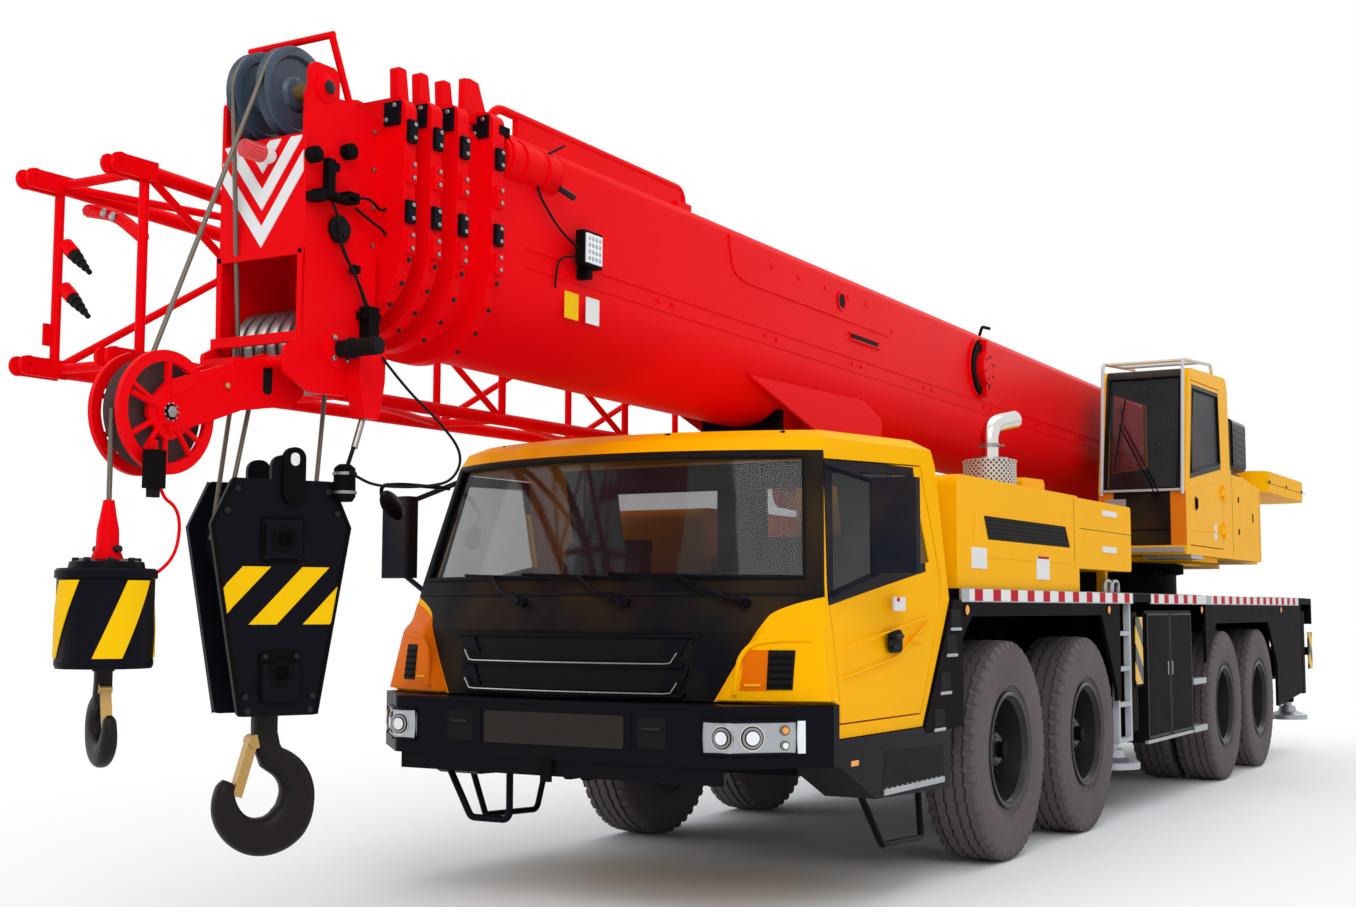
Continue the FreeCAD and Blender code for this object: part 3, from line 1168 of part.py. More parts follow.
def fly_jib():
    """Stowed lattice jib beside the base section, with fork ends and its two brackets."""
    bars = []
    x_out, x_in = JIB_X
    x_mid = (x_out + x_in) / 2

    def node(corner_index, share):
        """Point on one of the four chords, share running from front 0 to rear 1."""
        y = JIB_FRONT + (JIB_REAR - JIB_FRONT) * share
        half = (x_in - x_out) / 2 * (1 - 0.45 * share)
        top = JIB_TOP_FRONT_Z + (JIB_TOP_REAR_Z - JIB_TOP_FRONT_Z) * share
        x = x_mid + (half if corner_index in (1, 2) else -half)
        z = top if corner_index < 2 else JIB_BOTTOM_Z + 30 * share
        return x, y, z

    for chord in range(4):
        bars.append(rod(node(chord, 0), node(chord, 1), 32))
    for bay in range(JIB_BAYS + 1):
        share = bay / JIB_BAYS
        for first, second in ((0, 1), (1, 2), (2, 3), (3, 0)):
            bars.append(rod(node(first, share), node(second, share), 20))
    for bay in range(JIB_BAYS):
        share, following = bay / JIB_BAYS, (bay + 1) / JIB_BAYS
        for first, second in ((0, 1), (1, 2), (2, 3), (3, 0)):
            bars.append(rod(node(first, share), node(second, following), 17))
    for chord in range(4):
        x, y, z = node(chord, 0)
        for offset in (-34, 22):
            bars.append(prism(((y - 190, z - 38, 30), (y - 190, z + 38, 30), (y + 40, z + 38), (y + 40, z - 38)), "x",
                              x + offset, x + offset + 12))
    # brackets to the base section, at two of the lattice's upright frames
    for bay in (1, JIB_BAYS - 1):
        x, y, _ = node(1, bay / JIB_BAYS)
        foot = JIB_BOTTOM_Z + JIB_BRACKET_RISE
        bars.append(box(x, -BOOM_HALF_WIDTH - SEAT_GAP, y - 30, y + 30, foot, foot + JIB_BRACKET_HEIGHT))
    return fused(bars)


# Lift cylinder

def cylinder_direction():
    """Unit vector from the barrel's base pin to the rod's pin."""
    return Vector(0, ROD_PIN_STATION - BARREL_PIN_STATION, ROD_PIN_Z - BARREL_PIN_Z).normalize()


def along_cylinder(distance):
    """Point on the cylinder's axis, measured from the base pin."""
    base = Vector(0, BARREL_PIN_STATION, BARREL_PIN_Z)
    point = base + cylinder_direction() * distance
    return point.x, point.y, point.z


BARREL_LENGTH = 4380.0


def lift_cylinder_barrel():
    """Barrel with its base eye and gland."""
    barrel = rod(along_cylinder(190), along_cylinder(BARREL_LENGTH), CYLINDER_BARREL_RADIUS)
    eye = rod((-105, BARREL_PIN_STATION, BARREL_PIN_Z), (105, BARREL_PIN_STATION, BARREL_PIN_Z), 110)
    neck = rod(along_cylinder(60), along_cylinder(200), 95)
    gland = rod(along_cylinder(BARREL_LENGTH - 120), along_cylinder(BARREL_LENGTH), CYLINDER_BARREL_RADIUS + 18)
    shape = fused([barrel, eye, neck, gland])
    shape = shape.cut(rod(along_cylinder(330), along_cylinder(BARREL_LENGTH + 10), CYLINDER_ROD_RADIUS + SEAT_GAP))
    return shape.cut(rod((-110, BARREL_PIN_STATION, BARREL_PIN_Z), (110, BARREL_PIN_STATION, BARREL_PIN_Z),
                         CYLINDER_PIN_RADIUS + SEAT_GAP))


def lift_cylinder_rod():
    """Rod with the eye that sits between the boom's lugs."""
    closed = math.hypot(BARREL_PIN_STATION - ROD_PIN_STATION, ROD_PIN_Z - BARREL_PIN_Z)
    shaft = rod(along_cylinder(360), along_cylinder(closed - 90), CYLINDER_ROD_RADIUS)
    eye = rod((-105, ROD_PIN_STATION, ROD_PIN_Z), (105, ROD_PIN_STATION, ROD_PIN_Z), 125)
    bore = rod((-106, ROD_PIN_STATION, ROD_PIN_Z), (106, ROD_PIN_STATION, ROD_PIN_Z), CYLINDER_PIN_RADIUS)
    return fused([shaft, eye]).cut(bore)


# Hooks

# Cheek of the hook block: half width, height
CHEEK_OUTLINE = ((-190, 1870, 20), (-268, 1700, 30), (-150, 1010, 20), (150, 1010, 20), (268, 1700, 30), (190, 1870, 20))
BLOCK_HALF_DEPTH = 140.0
BLOCK_LANES = (-70.0, 0.0, 70.0)
CHEEK_THICKNESS = 26.0
CROSSHEAD_Z = 1130.0
HOOK_TOP_Z = 1064.7


def turned_block(shape):
    """Turn a piece drawn with its cheeks square to x to the block's hanging angle."""
    copy = shape.copy()
    copy.rotate(Vector(0, 0, 0), Vector(0, 0, 1), BLOCK_YAW_DEG)
    copy.translate(Vector(0, BLOCK_STATION, 0))
    return copy


def hook_block():
    """Two cheeks, three sheaves, spacers and the crosshead of the main hook block."""
    parts = []
    for side in (-1, 1):
        low, high = sorted((side * (BLOCK_HALF_DEPTH - CHEEK_THICKNESS), side * BLOCK_HALF_DEPTH))
        parts.append(prism(CHEEK_OUTLINE, "x", low, high))
        low, high = sorted((side * BLOCK_HALF_DEPTH, side * (BLOCK_HALF_DEPTH + 22)))
        for z in (BLOCK_SHEAVE_Z, CROSSHEAD_Z):
            parts.append(prism(((-70, z - 70, 10), (-70, z + 70, 10), (70, z + 70, 10), (70, z - 70, 10)), "x", low, high))
        parts.append(prism(((-45, 1840), (-45, 1960, 40), (45, 1960, 40), (45, 1840)), "x",
                           *sorted((side * (BLOCK_HALF_DEPTH - CHEEK_THICKNESS), side * BLOCK_HALF_DEPTH))))
    parts.append(rod((-BLOCK_HALF_DEPTH, 0, BLOCK_SHEAVE_Z), (BLOCK_HALF_DEPTH, 0, BLOCK_SHEAVE_Z), BLOCK_PIN_RADIUS))
    parts.append(box(-BLOCK_HALF_DEPTH + 5, BLOCK_HALF_DEPTH - 5, -75, 75, HOOK_TOP_Z + SEAT_GAP, CROSSHEAD_Z + 55))
    for x in BLOCK_LANES:
        parts.append(sheave(x, 0, BLOCK_SHEAVE_Z, BLOCK_SHEAVE_RADIUS, 50))
    shape = fused(parts)
    bore = rod((0, 0, 1000), (0, 0, 1200), 45 + SEAT_GAP)
    return turned_block(shape.cut(bore))


HOOK_CENTRE_DROP = 365.0
HOOK_OUTER = 205.0
HOOK_INNER = 100.0


def hook_solid(scale, thickness):
    """Plain C-shaped hook hanging from the origin, opening toward -y, with its eye at the top."""
    centre = -HOOK_CENTRE_DROP * scale
    outer = HOOK_OUTER * scale
    inner = HOOK_INNER * scale
    low = centre - (outer - inner) * 0.12
    bowl = rod((-thickness / 2, 0, low), (thickness / 2, 0, low), outer)
    throat = rod((-thickness, 0, centre + 10 * scale), (thickness, 0, centre + 10 * scale), inner)
    mouth = box(-thickness, thickness, -outer * 2, -inner * 0.1, centre + inner * 0.25, centre + outer * 3)
    neck = prism(((-30 * scale, -40 * scale), (-30 * scale, centre + 60 * scale), (outer * 0.85, centre + 40 * scale),
                  (outer * 0.45, centre + 190 * scale, 60 * scale), (30 * scale, -40 * scale)), "x",
                 -thickness / 2, thickness / 2)
    body = bowl.fuse(neck).cut(throat).cut(mouth.cut(box(-thickness * 2, thickness * 2, -30 * scale, outer * 3,
                                                         -outer * 9, outer * 9)))
    return body.removeSplitter()


def main_hook():
    """Forged hook with its shank through the crosshead and a nut above."""
    body = hook_solid(1.0, 84)
    body.translate(Vector(0, 0, HOOK_TOP_Z))
    shank = rod((0, 0, HOOK_TOP_Z - 60), (0, 0, 1230), 45)
    collar_ring = rod((0, 0, HOOK_TOP_Z - 60), (0, 0, HOOK_TOP_Z), 62)
    nut = rod((0, 0, CROSSHEAD_Z + 55 + SEAT_GAP), (0, 0, 1235), 70)
    return turned_block(fused([body, shank, collar_ring, nut]))


# Rope falls of the main hook. Head sheave x, side they leave it on (-1 is the front), block lane x,
# slack at the head sheave, slack at the block sheave
FALLS = ((-145, -1, -70, 0.0, 2.6), (-29, -1, 70, 0.0, 10.0), (29, 1, -70, 0.9, 0.3))


def rope_offset(sheave_radius):
    """Distance from a sheave's axis to the middle of a rope seated in its groove."""
    return sheave_radius - GROOVE_DEPTH + ROPE_RADIUS + SEAT_GAP


def hoist_falls():
    """Taut rope falls between the boom head and the hook block."""
    falls = []
    for head_x, side, lane, head_slack, block_slack in FALLS:
        reach = side * (rope_offset(HEAD_SHEAVE_RADIUS) + head_slack)
        top = (head_x, HEAD_SHEAVE_STATION + reach, HEAD_SHEAVE_Z)
        foot = turned_block(Part.Vertex(lane, side * (rope_offset(BLOCK_SHEAVE_RADIUS) + block_slack), BLOCK_SHEAVE_Z))
        falls.append(rod(top, (foot.X, foot.Y, foot.Z), ROPE_RADIUS))
    return Part.makeCompound(falls)


AUX_SOCKET_TOP_Z = 1760.0
AUX_ROPE_STATION = AUX_SHEAVE_STATION - rope_offset(AUX_SHEAVE_RADIUS)


def aux_rope():
    """Auxiliary rope between its sheave and the hook's socket."""
    y = AUX_ROPE_STATION
    return rod((0, y, AUX_SOCKET_TOP_Z + SEAT_GAP), (0, y, AUX_SHEAVE_Z), ROPE_RADIUS)


# Hook weight with its rope socket turned about the rope: height, radius
AUX_WEIGHT = ((1200, 0), (1200, 150), (1225, 165), (1490, 165), (1515, 150), (1530, 60), (1560, 52), (1600, 30),
              (AUX_SOCKET_TOP_Z, 24), (AUX_SOCKET_TOP_Z, 0))


def aux_hook():
    """Round hook weight with its rope socket and small hook."""
    y = AUX_ROPE_STATION
    weight = lathe(AUX_WEIGHT, (0, y, 0), "z")
    body = hook_solid(0.62, 52)
    body.rotate(Vector(0, 0, 0), Vector(0, 0, 1), 90 + BLOCK_YAW_DEG)
    body.translate(Vector(0, y, 1235))
    return fused([weight, body])


# Assembly

def parts_list():
    """Every sub-part by name."""
    nodes = {
        "chassis_frame": chassis_frame(),
        "axle_beams": axle_beams(),
        "engine_block": engine_block(),
        "deck": deck(),
        "side_cabinets": side_cabinets(),
        "front_bumper": front_bumper(),
        "headlamps": headlamps(),
        "carrier_cab": carrier_cab(),
        "carrier_cab_glass": cab_glass(),
        "cab_interior": cab_interior(),
        "boom_rest": boom_rest(),
        "engine_housing": engine_housing(),
        "exhaust_stack": exhaust_stack(),
        "slewing_ring": slewing_ring(),
        "turntable": turntable(),
        "operator_cab": operator_cab(),
        "operator_cab_glass": operator_glass(),
        "operator_interior": operator_interior(),
        "operator_door": operator_door(),
        "counterweight": counterweight(),
        "winches": winches(),
        "boom_base": boom_base(),
        "boom_section_2": boom_section(1),
        "boom_section_3": boom_section(2),
        "boom_section_4": boom_section(3),
        "boom_section_5": boom_head(),
        "head_sheaves": head_sheaves(),
        "aux_sheave_head": aux_sheave_head(),
        "fly_jib": fly_jib(),
        "lift_cylinder_barrel": lift_cylinder_barrel(),
        "lift_cylinder_rod": lift_cylinder_rod(),
        "hook_block": hook_block(),
        "main_hook": main_hook(),
        "hoist_falls": hoist_falls(),
        "aux_rope": aux_rope(),
        "aux_hook": aux_hook(),
    }
    for side, hand in ((1, "left"), (-1, "right")):
        nodes["cab_door_" + hand] = cab_door(side)
        nodes["door_glass_" + hand] = door_glass(side)
        for number, axle in enumerate(AXLE_STATIONS, start=1):
            if number <= STEERED_AXLES:
                nodes[f"knuckle_{number}_{hand}"] = knuckle(side, axle)
                nodes[f"wheel_{number}_{hand}"] = steered_wheel(side, axle)
            else:
                nodes[f"wheel_{number}_{hand}"] = twin_wheel(side, axle)
        for end, station in zip(("front", "rear"), OUTRIGGER_STATIONS):
            nodes[f"outrigger_beam_{end}_{hand}"] = outrigger_beam(side, station)
            nodes[f"jack_{end}_{hand}"] = jack(side, station)
    return nodes


def main():
    """Build every sub-part and write it at the part's origin."""
    os.makedirs("parts", exist_ok=True)
    for name, shape in parts_list().items():
        shape.translate(Vector(0, -ORIGIN_STATION, 0))
        shape.exportStep(f"parts/{name}.step")


if __name__ == "__main__":
    main()
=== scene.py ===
"""Looks of a four-axle truck crane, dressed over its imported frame.

Lengths are metres in the row frame: x to the vehicle's left, y to its rear, z up.
Stations count metres along y from the first axle.
"""

import logging
import math
from collections.abc import Callable, Iterable, Sequence
from dataclasses import dataclass, field
from enum import Enum

import bmesh
import bpy
import numpy as np
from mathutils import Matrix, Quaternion, Vector


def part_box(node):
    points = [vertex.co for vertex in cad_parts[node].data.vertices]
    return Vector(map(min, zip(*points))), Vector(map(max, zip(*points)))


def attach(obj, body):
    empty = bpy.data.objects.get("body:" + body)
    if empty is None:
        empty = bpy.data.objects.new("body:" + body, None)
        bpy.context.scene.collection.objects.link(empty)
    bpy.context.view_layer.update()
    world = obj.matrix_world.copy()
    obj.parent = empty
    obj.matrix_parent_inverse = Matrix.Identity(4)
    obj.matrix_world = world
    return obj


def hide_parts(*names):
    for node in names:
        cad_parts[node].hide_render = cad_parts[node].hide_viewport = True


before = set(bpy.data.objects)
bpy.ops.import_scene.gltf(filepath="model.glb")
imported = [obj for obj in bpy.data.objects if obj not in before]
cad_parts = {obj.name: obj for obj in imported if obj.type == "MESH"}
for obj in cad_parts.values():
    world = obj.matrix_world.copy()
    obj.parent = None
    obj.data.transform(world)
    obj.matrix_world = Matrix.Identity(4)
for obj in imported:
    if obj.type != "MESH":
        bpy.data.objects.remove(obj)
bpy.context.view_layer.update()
LOG = logging.getLogger("crane")

Point = Sequence[float]
Colour = tuple[float, float, float]


def middle_of(node: str) -> Vector:
    """Middle of a frame node's box.

    Args:
        node: Name of the node.

    Returns:
        The middle point.
    """
    low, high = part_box(node)
    return (low + high) / 2


FIRST_AXLE_Y = middle_of("wheel_1_left").y
SIDES = (1, -1)


def at(x: float, station: float, z: float) -> np.ndarray:
    """Row-frame point of a place given by its station.

    Args:
        x: Distance to the vehicle's left.
        station: Distance behind the first axle.
        z: Height.

    Returns:
        The point.
    """
    return np.array([x, station + FIRST_AXLE_Y, z])


def unit(vector: Point) -> np.ndarray:
    """Vector of length one along the given one."""
    array = np.asarray(vector, float)
    return array / np.linalg.norm(array)


class Axis(Enum):
    """Row axis that a profile is square to or turns about."""

    X = 0
    Y = 1
    Z = 2


@dataclass
class Form:
    """Points and faces of one shape.

    Fields:
        points: Array of n by 3 coordinates.
        faces: Point numbers of each face.
    """

    points: np.ndarray
    faces: list[tuple[int, ...]]

    def moved(self, offset: Point) -> "Form":
        """The same shape, shifted by offset."""
        return Form(self.points + np.asarray(offset, float), self.faces)

    def turned(self, degrees: float, axis: Axis, centre: Point) -> "Form":
        """The shape turned about a row axis through centre.

        Args:
            degrees: Angle by the right-hand rule.
            axis: Axis of the turn.
            centre: A point on the axis.

        Returns:
            The turned shape.
        """
        first, second = [(1, 2), (2, 0), (0, 1)][axis.value]
        cos, sin = math.cos(math.radians(degrees)), math.sin(math.radians(degrees))
        local = self.points - np.asarray(centre, float)
        turned = local.copy()
        turned[:, first] = local[:, first] * cos - local[:, second] * sin
        turned[:, second] = local[:, first] * sin + local[:, second] * cos
        return Form(turned + np.asarray(centre, float), self.faces)

    def mirrored(self) -> "Form":
        """The shape on the vehicle's other side, still facing outward."""
        points = self.points * np.array([-1.0, 1.0, 1.0])
        return Form(points, [tuple(reversed(face)) for face in self.faces])

    def sided(self, side: int) -> "Form":
        """The shape itself on the left, its mirror image on the right."""
        return self if side > 0 else self.mirrored()


def grid_faces(rows: int, columns: int, wrap_rows: bool = False, wrap_columns: bool = False) -> list[tuple[int, ...]]:
    """Quads of a grid of points numbered row by row.

    Args:
        rows: Number of rows.
        columns: Number of columns.
        wrap_rows: Whether the last row joins the first.
        wrap_columns: Whether the last column joins the first.

    Returns:
        The faces.
    """
    i = np.arange(rows if wrap_rows else rows - 1)[:, None]
    j = np.arange(columns if wrap_columns else columns - 1)[None, :]
    below, beside = (i + 1) % rows, (j + 1) % columns
    quads = np.stack([i * columns + j, i * columns + beside, below * columns + beside, below * columns + j], -1)
    return [tuple(face) for face in quads.reshape(-1, 4).tolist()]


def block(low: Point, high: Point) -> Form:
    """Box between two corners.

    Args:
        low: Lowest corner.
        high: Highest corner.

    Returns:
        The closed shape.
    """
    a, b = np.minimum(low, high), np.maximum(low, high)
    x, y, z = [np.array([a[i], b[i]]) for i in range(3)]
    points = np.stack(np.meshgrid(x, y, z, indexing="ij"), -1).reshape(-1, 3)
    faces = [(0, 1, 3, 2), (4, 6, 7, 5), (0, 4, 5, 1), (2, 3, 7, 6), (0, 2, 6, 4), (1, 5, 7, 3)]
    return Form(points, faces)


def revolved(profile: Sequence[Point], centre: Point, axis: Axis, segments: int = 48, closed: bool = False) -> Form:
    """Profile of (along, radius) points turned about an axis: every point sweeps a circle of its radius.

    Args:
        profile: Distances along the axis from centre, and radii.
        centre: Origin of the profile on the axis.
        axis: Axis of the turn.
        segments: Number of steps round.
        closed: Whether the profile's end joins its start.

    Returns:
        The turned shape.
    """
    along, radius = np.asarray(profile, float).T
    angle = np.linspace(0, 2 * math.pi, segments, endpoint=False)
    first, second = [(1, 2), (2, 0), (0, 1)][axis.value]
    points = np.zeros((segments, len(along), 3))
    points[..., axis.value] = along[None, :]
    points[..., first] = np.cos(angle)[:, None] * radius[None, :]
    points[..., second] = np.sin(angle)[:, None] * radius[None, :]
    faces = grid_faces(segments, len(along), True, closed)
    return Form(points.reshape(-1, 3) + np.asarray(centre, float), faces)


def path_frames(path: np.ndarray, closed: bool) -> tuple[np.ndarray, np.ndarray]:
    """Two directions square to a path at each of its points, carried along without twist.

    Args:
        path: Points of the path.
        closed: Whether the path joins its start.

    Returns:
        The two arrays of unit vectors.
    """
    ahead = np.roll(path, -1, 0) - path
    behind = path - np.roll(path, 1, 0)
    if not closed:
        ahead[-1], behind[0] = behind[-1], ahead[0]
    tangent = ahead / np.linalg.norm(ahead, axis=1)[:, None] + behind / np.linalg.norm(behind, axis=1)[:, None]
    tangent /= np.linalg.norm(tangent, axis=1)[:, None]
    seed = np.eye(3)[np.argmin(np.abs(tangent[0]))]
    first = [unit(np.cross(tangent[0], seed))]
    for direction in tangent[1:]:
        carried = first[-1] - direction * np.dot(first[-1], direction)
        first.append(unit(carried))
    first = np.array(first)
    return first, np.cross(tangent, first)


def swept(path: Sequence[Point], radius: float, sides: int = 12, closed: bool = False) -> Form:
    """Round bar: a circle carried along a path.

    Args:
        path: Points of the middle line.
        radius: Radius of the bar.
        sides: Number of steps round.
        closed: Whether the path joins its start.

    Returns:
        The shape, with flat ends on an open path.
    """
    line = np.asarray(path, float)
    first, second = path_frames(line, closed)
    angle = np.linspace(0, 2 * math.pi, sides, endpoint=False)
    round_points = np.cos(angle)[None, :, None] * first[:, None] + np.sin(angle)[None, :, None] * second[:, None]
    points = line[:, None] + radius * round_points
    faces = grid_faces(len(line), sides, closed, True)
    if not closed:
        faces.append(tuple(range(sides)))
        faces.append(tuple((len(line) - 1) * sides + k for k in reversed(range(sides))))
    return Form(points.reshape(-1, 3), faces)


def rounded_path(points: Sequence[Point], bend: float, steps: int = 6) -> np.ndarray:
    """Path through corner points with each corner rounded by a quadratic curve.

    Args:
        points: Corner points.
        bend: Distance from a corner at which its curve starts.
        steps: Points on each curve.

    Returns:
        Points of the smooth path.
    """
    place = [np.asarray(point, float) for point in points]
    out = [place[0][None]]
    share = np.linspace(0, 1, steps)[:, None]
    for before, here, after in zip(place, place[1:], place[2:]):
        reach = min(bend, np.linalg.norm(here - before) * 0.49, np.linalg.norm(after - here) * 0.49)
        start, end = here + unit(before - here) * reach, here + unit(after - here) * reach
        out.append((1 - share) ** 2 * start + 2 * share * (1 - share) * here + share**2 * end)
    out.append(place[-1][None])
    return np.concatenate(out)


def bar(start: Point, end: Point, radius: float, sides: int = 16) -> Form:
    """Straight round bar between two points."""
    return swept([start, end], radius, sides)


def extruded(outline: Sequence[Point], axis: Axis, low: float, high: float) -> Form:
    """Flat outline pushed along a row axis.

    Args:
        outline: (a, b) points on the two other axes, in X, Y, Z order.
        axis: Axis of the push.
        low: Where it starts.
        high: Where it ends.

    Returns:
        The closed shape.
    """
    flat = np.asarray(outline, float)
    count = len(flat)
    others = [k for k in range(3) if k != axis.value]
    points = np.zeros((2, count, 3))
    for layer, height in enumerate((low, high)):
        points[layer, :, axis.value] = height
        points[layer, :, others[0]] = flat[:, 0]
        points[layer, :, others[1]] = flat[:, 1]
    faces = grid_faces(2, count, False, True)
    faces.append(tuple(range(count)))
    faces.append(tuple(count + k for k in reversed(range(count))))
    return Form(points.reshape(-1, 3), faces)


def round_outline(half_a: float, half_b: float, corner: float, centre: Point = (0, 0), steps: int = 5) -> np.ndarray:
    """Rectangle outline with arcs of one radius at its corners.

    Args:
        half_a: Half its width.
        half_b: Half its height.
        corner: Radius of the arcs.
        centre: Its middle.
        steps: Points on each arc.

    Returns:
        Points of the outline.
    """
    quarter = np.linspace(0, math.pi / 2, steps)
    corners = []
    for index, (sa, sb) in enumerate(((1, 1), (-1, 1), (-1, -1), (1, -1))):
        angle = quarter + index * math.pi / 2
        corners.append(np.stack([sa * (half_a - corner) + corner * np.cos(angle),
                                 sb * (half_b - corner) + corner * np.sin(angle)], -1))
    return np.concatenate(corners) + np.asarray(centre, float)


def hex_bolt(place: Point, axis: Axis, radius: float, height: float) -> Form:
    """Six-sided bolt head on a face, standing along the axis by height."""
    return revolved([(0, 0), (0, radius), (height * 0.8, radius), (height, radius * 0.8), (height, 0)], place, axis, 6)


class Piece:
    """One mesh of the scene, gathered from shapes that each have a finish."""

    def __init__(self, name: str) -> None:
        """Start an empty piece with its name."""
        self.name = name
        self.points: list[np.ndarray] = []
        self.faces: list[tuple[int, ...]] = []
        self.slots: list[int] = []
        self.finishes: list["Finish"] = []
        self.count = 0

    def add(self, form: Form, finish: "Finish") -> "Piece":
        """Put a shape into the piece.

        Args:
            form: The shape.
            finish: What it is finished in.

        Returns:
            The piece.
        """
        if finish not in self.finishes:
            self.finishes.append(finish)
        slot = self.finishes.index(finish)
        self.faces += [tuple(number + self.count for number in face) for face in form.faces]
        self.slots += [slot] * len(form.faces)
        self.points.append(form.points)
        self.count += len(form.points)
        return self

    def add_all(self, forms: Iterable[Form], finish: "Finish") -> "Piece":
        """Put several shapes of one finish into the piece."""
        for form in forms:
            self.add(form, finish)
        return self

    def build(self, body: str, bevel: float = 0.0, smooth: float = 35.0, wall: float = 0.0,
              replaces: Sequence[str] = ()) -> bpy.types.Object:
        """Make the mesh object and let it ride.

        Args:
            body: Frame body that it moves with.
            bevel: Width of its rounded edges, or 0.
            smooth: Edges that turn by less than these degrees are shaded smooth.
            wall: Thickness given to open sheets, or 0.
            replaces: Frame nodes that it stands for.

        Returns:
            The object.
        """
        mesh = bpy.data.meshes.new(self.name)
        mesh.from_pydata(np.concatenate(self.points).tolist(), [], self.faces)
        mesh.polygons.foreach_set("material_index", np.array(self.slots, np.int32))
        shape = bmesh.new()
        shape.from_mesh(mesh)
        bmesh.ops.remove_doubles(shape, verts=shape.verts, dist=1e-5)
        bmesh.ops.recalc_face_normals(shape, faces=shape.faces)
        shape.to_mesh(mesh)
        shape.free()
        mesh.shade_smooth()
        mesh.set_sharp_from_angle(angle=math.radians(smooth))
        for finish in self.finishes:
            mesh.materials.append(finish.material())
        obj = bpy.data.objects.new(self.name, mesh)
        bpy.context.scene.collection.objects.link(obj)
        if wall:
            solid = obj.modifiers.new("wall", "SOLIDIFY")
            solid.thickness = wall
            solid.offset = 0.0
        if bevel:
            edge = obj.modifiers.new("edges", "BEVEL")
            edge.width = bevel
            edge.segments = 2
            edge.limit_method = "ANGLE"
            edge.angle_limit = math.radians(40)
            edge.harden_normals = True
        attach(obj, body)
        if replaces:
            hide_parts(*replaces)
        LOG.info("%s: %d faces on %s", self.name, len(mesh.polygons), body)
        return obj


class Signal:
    """Output of a shader node that takes Python arithmetic."""

    def __init__(self, graph: "Graph", socket: bpy.types.NodeSocket) -> None:
        """Wrap a socket of a graph."""
        self.graph = graph
        self.socket = socket

    def _maths(self, operation: str, *values: "Signal | float") -> "Signal":
        """Math node of one operation on the values."""
        return self.graph.node("ShaderNodeMath", {"operation": operation}, dict(enumerate(values)))

    def __add__(self, other: "Signal | float") -> "Signal":
        """Sum."""
        return self._maths("ADD", self, other)

    __radd__ = __add__

    def __sub__(self, other: "Signal | float") -> "Signal":
        """Difference."""
        return self._maths("SUBTRACT", self, other)

    def __rsub__(self, other: float) -> "Signal":
        """Number less this signal."""
        return self._maths("SUBTRACT", other, self)

    def __mul__(self, other: "Signal | float") -> "Signal":
        """Product."""
        return self._maths("MULTIPLY", self, other)

    __rmul__ = __mul__

    def __truediv__(self, other: "Signal | float") -> "Signal":
        """Quotient."""
        return self._maths("DIVIDE", self, other)

    def __pow__(self, other: float) -> "Signal":
        """Power."""
        return self._maths("POWER", self, other)

    def __rtruediv__(self, other: float) -> "Signal":
        """Number over this signal."""
        return self._maths("DIVIDE", other, self)

    def __mod__(self, other: float) -> "Signal":
        """Remainder, never negative."""
        return self._maths("FLOORED_MODULO", self, other)

    def __lt__(self, other: "Signal | float") -> "Signal":
        """One where smaller."""
        return self._maths("LESS_THAN", self, other)

    def __gt__(self, other: "Signal | float") -> "Signal":
        """One where greater."""
        return self._maths("GREATER_THAN", self, other)

    def __abs__(self) -> "Signal":
        """Size without sign."""
        return self._maths("ABSOLUTE", self)

    def angle_with(self, other: "Signal") -> "Signal":
        """Angle, in radians, of the point whose two coordinates are the signals."""
        return self._maths("ARCTAN2", self, other)

    def clamped(self) -> "Signal":
        """Kept between 0 and 1."""
        return self.graph.node("ShaderNodeClamp", {}, {"Value": self})

    def ramp(self, low: float, high: float) -> "Signal":
        """Rises from 0 at low to 1 at high."""
        return ((self - low) / (high - low)).clamped()


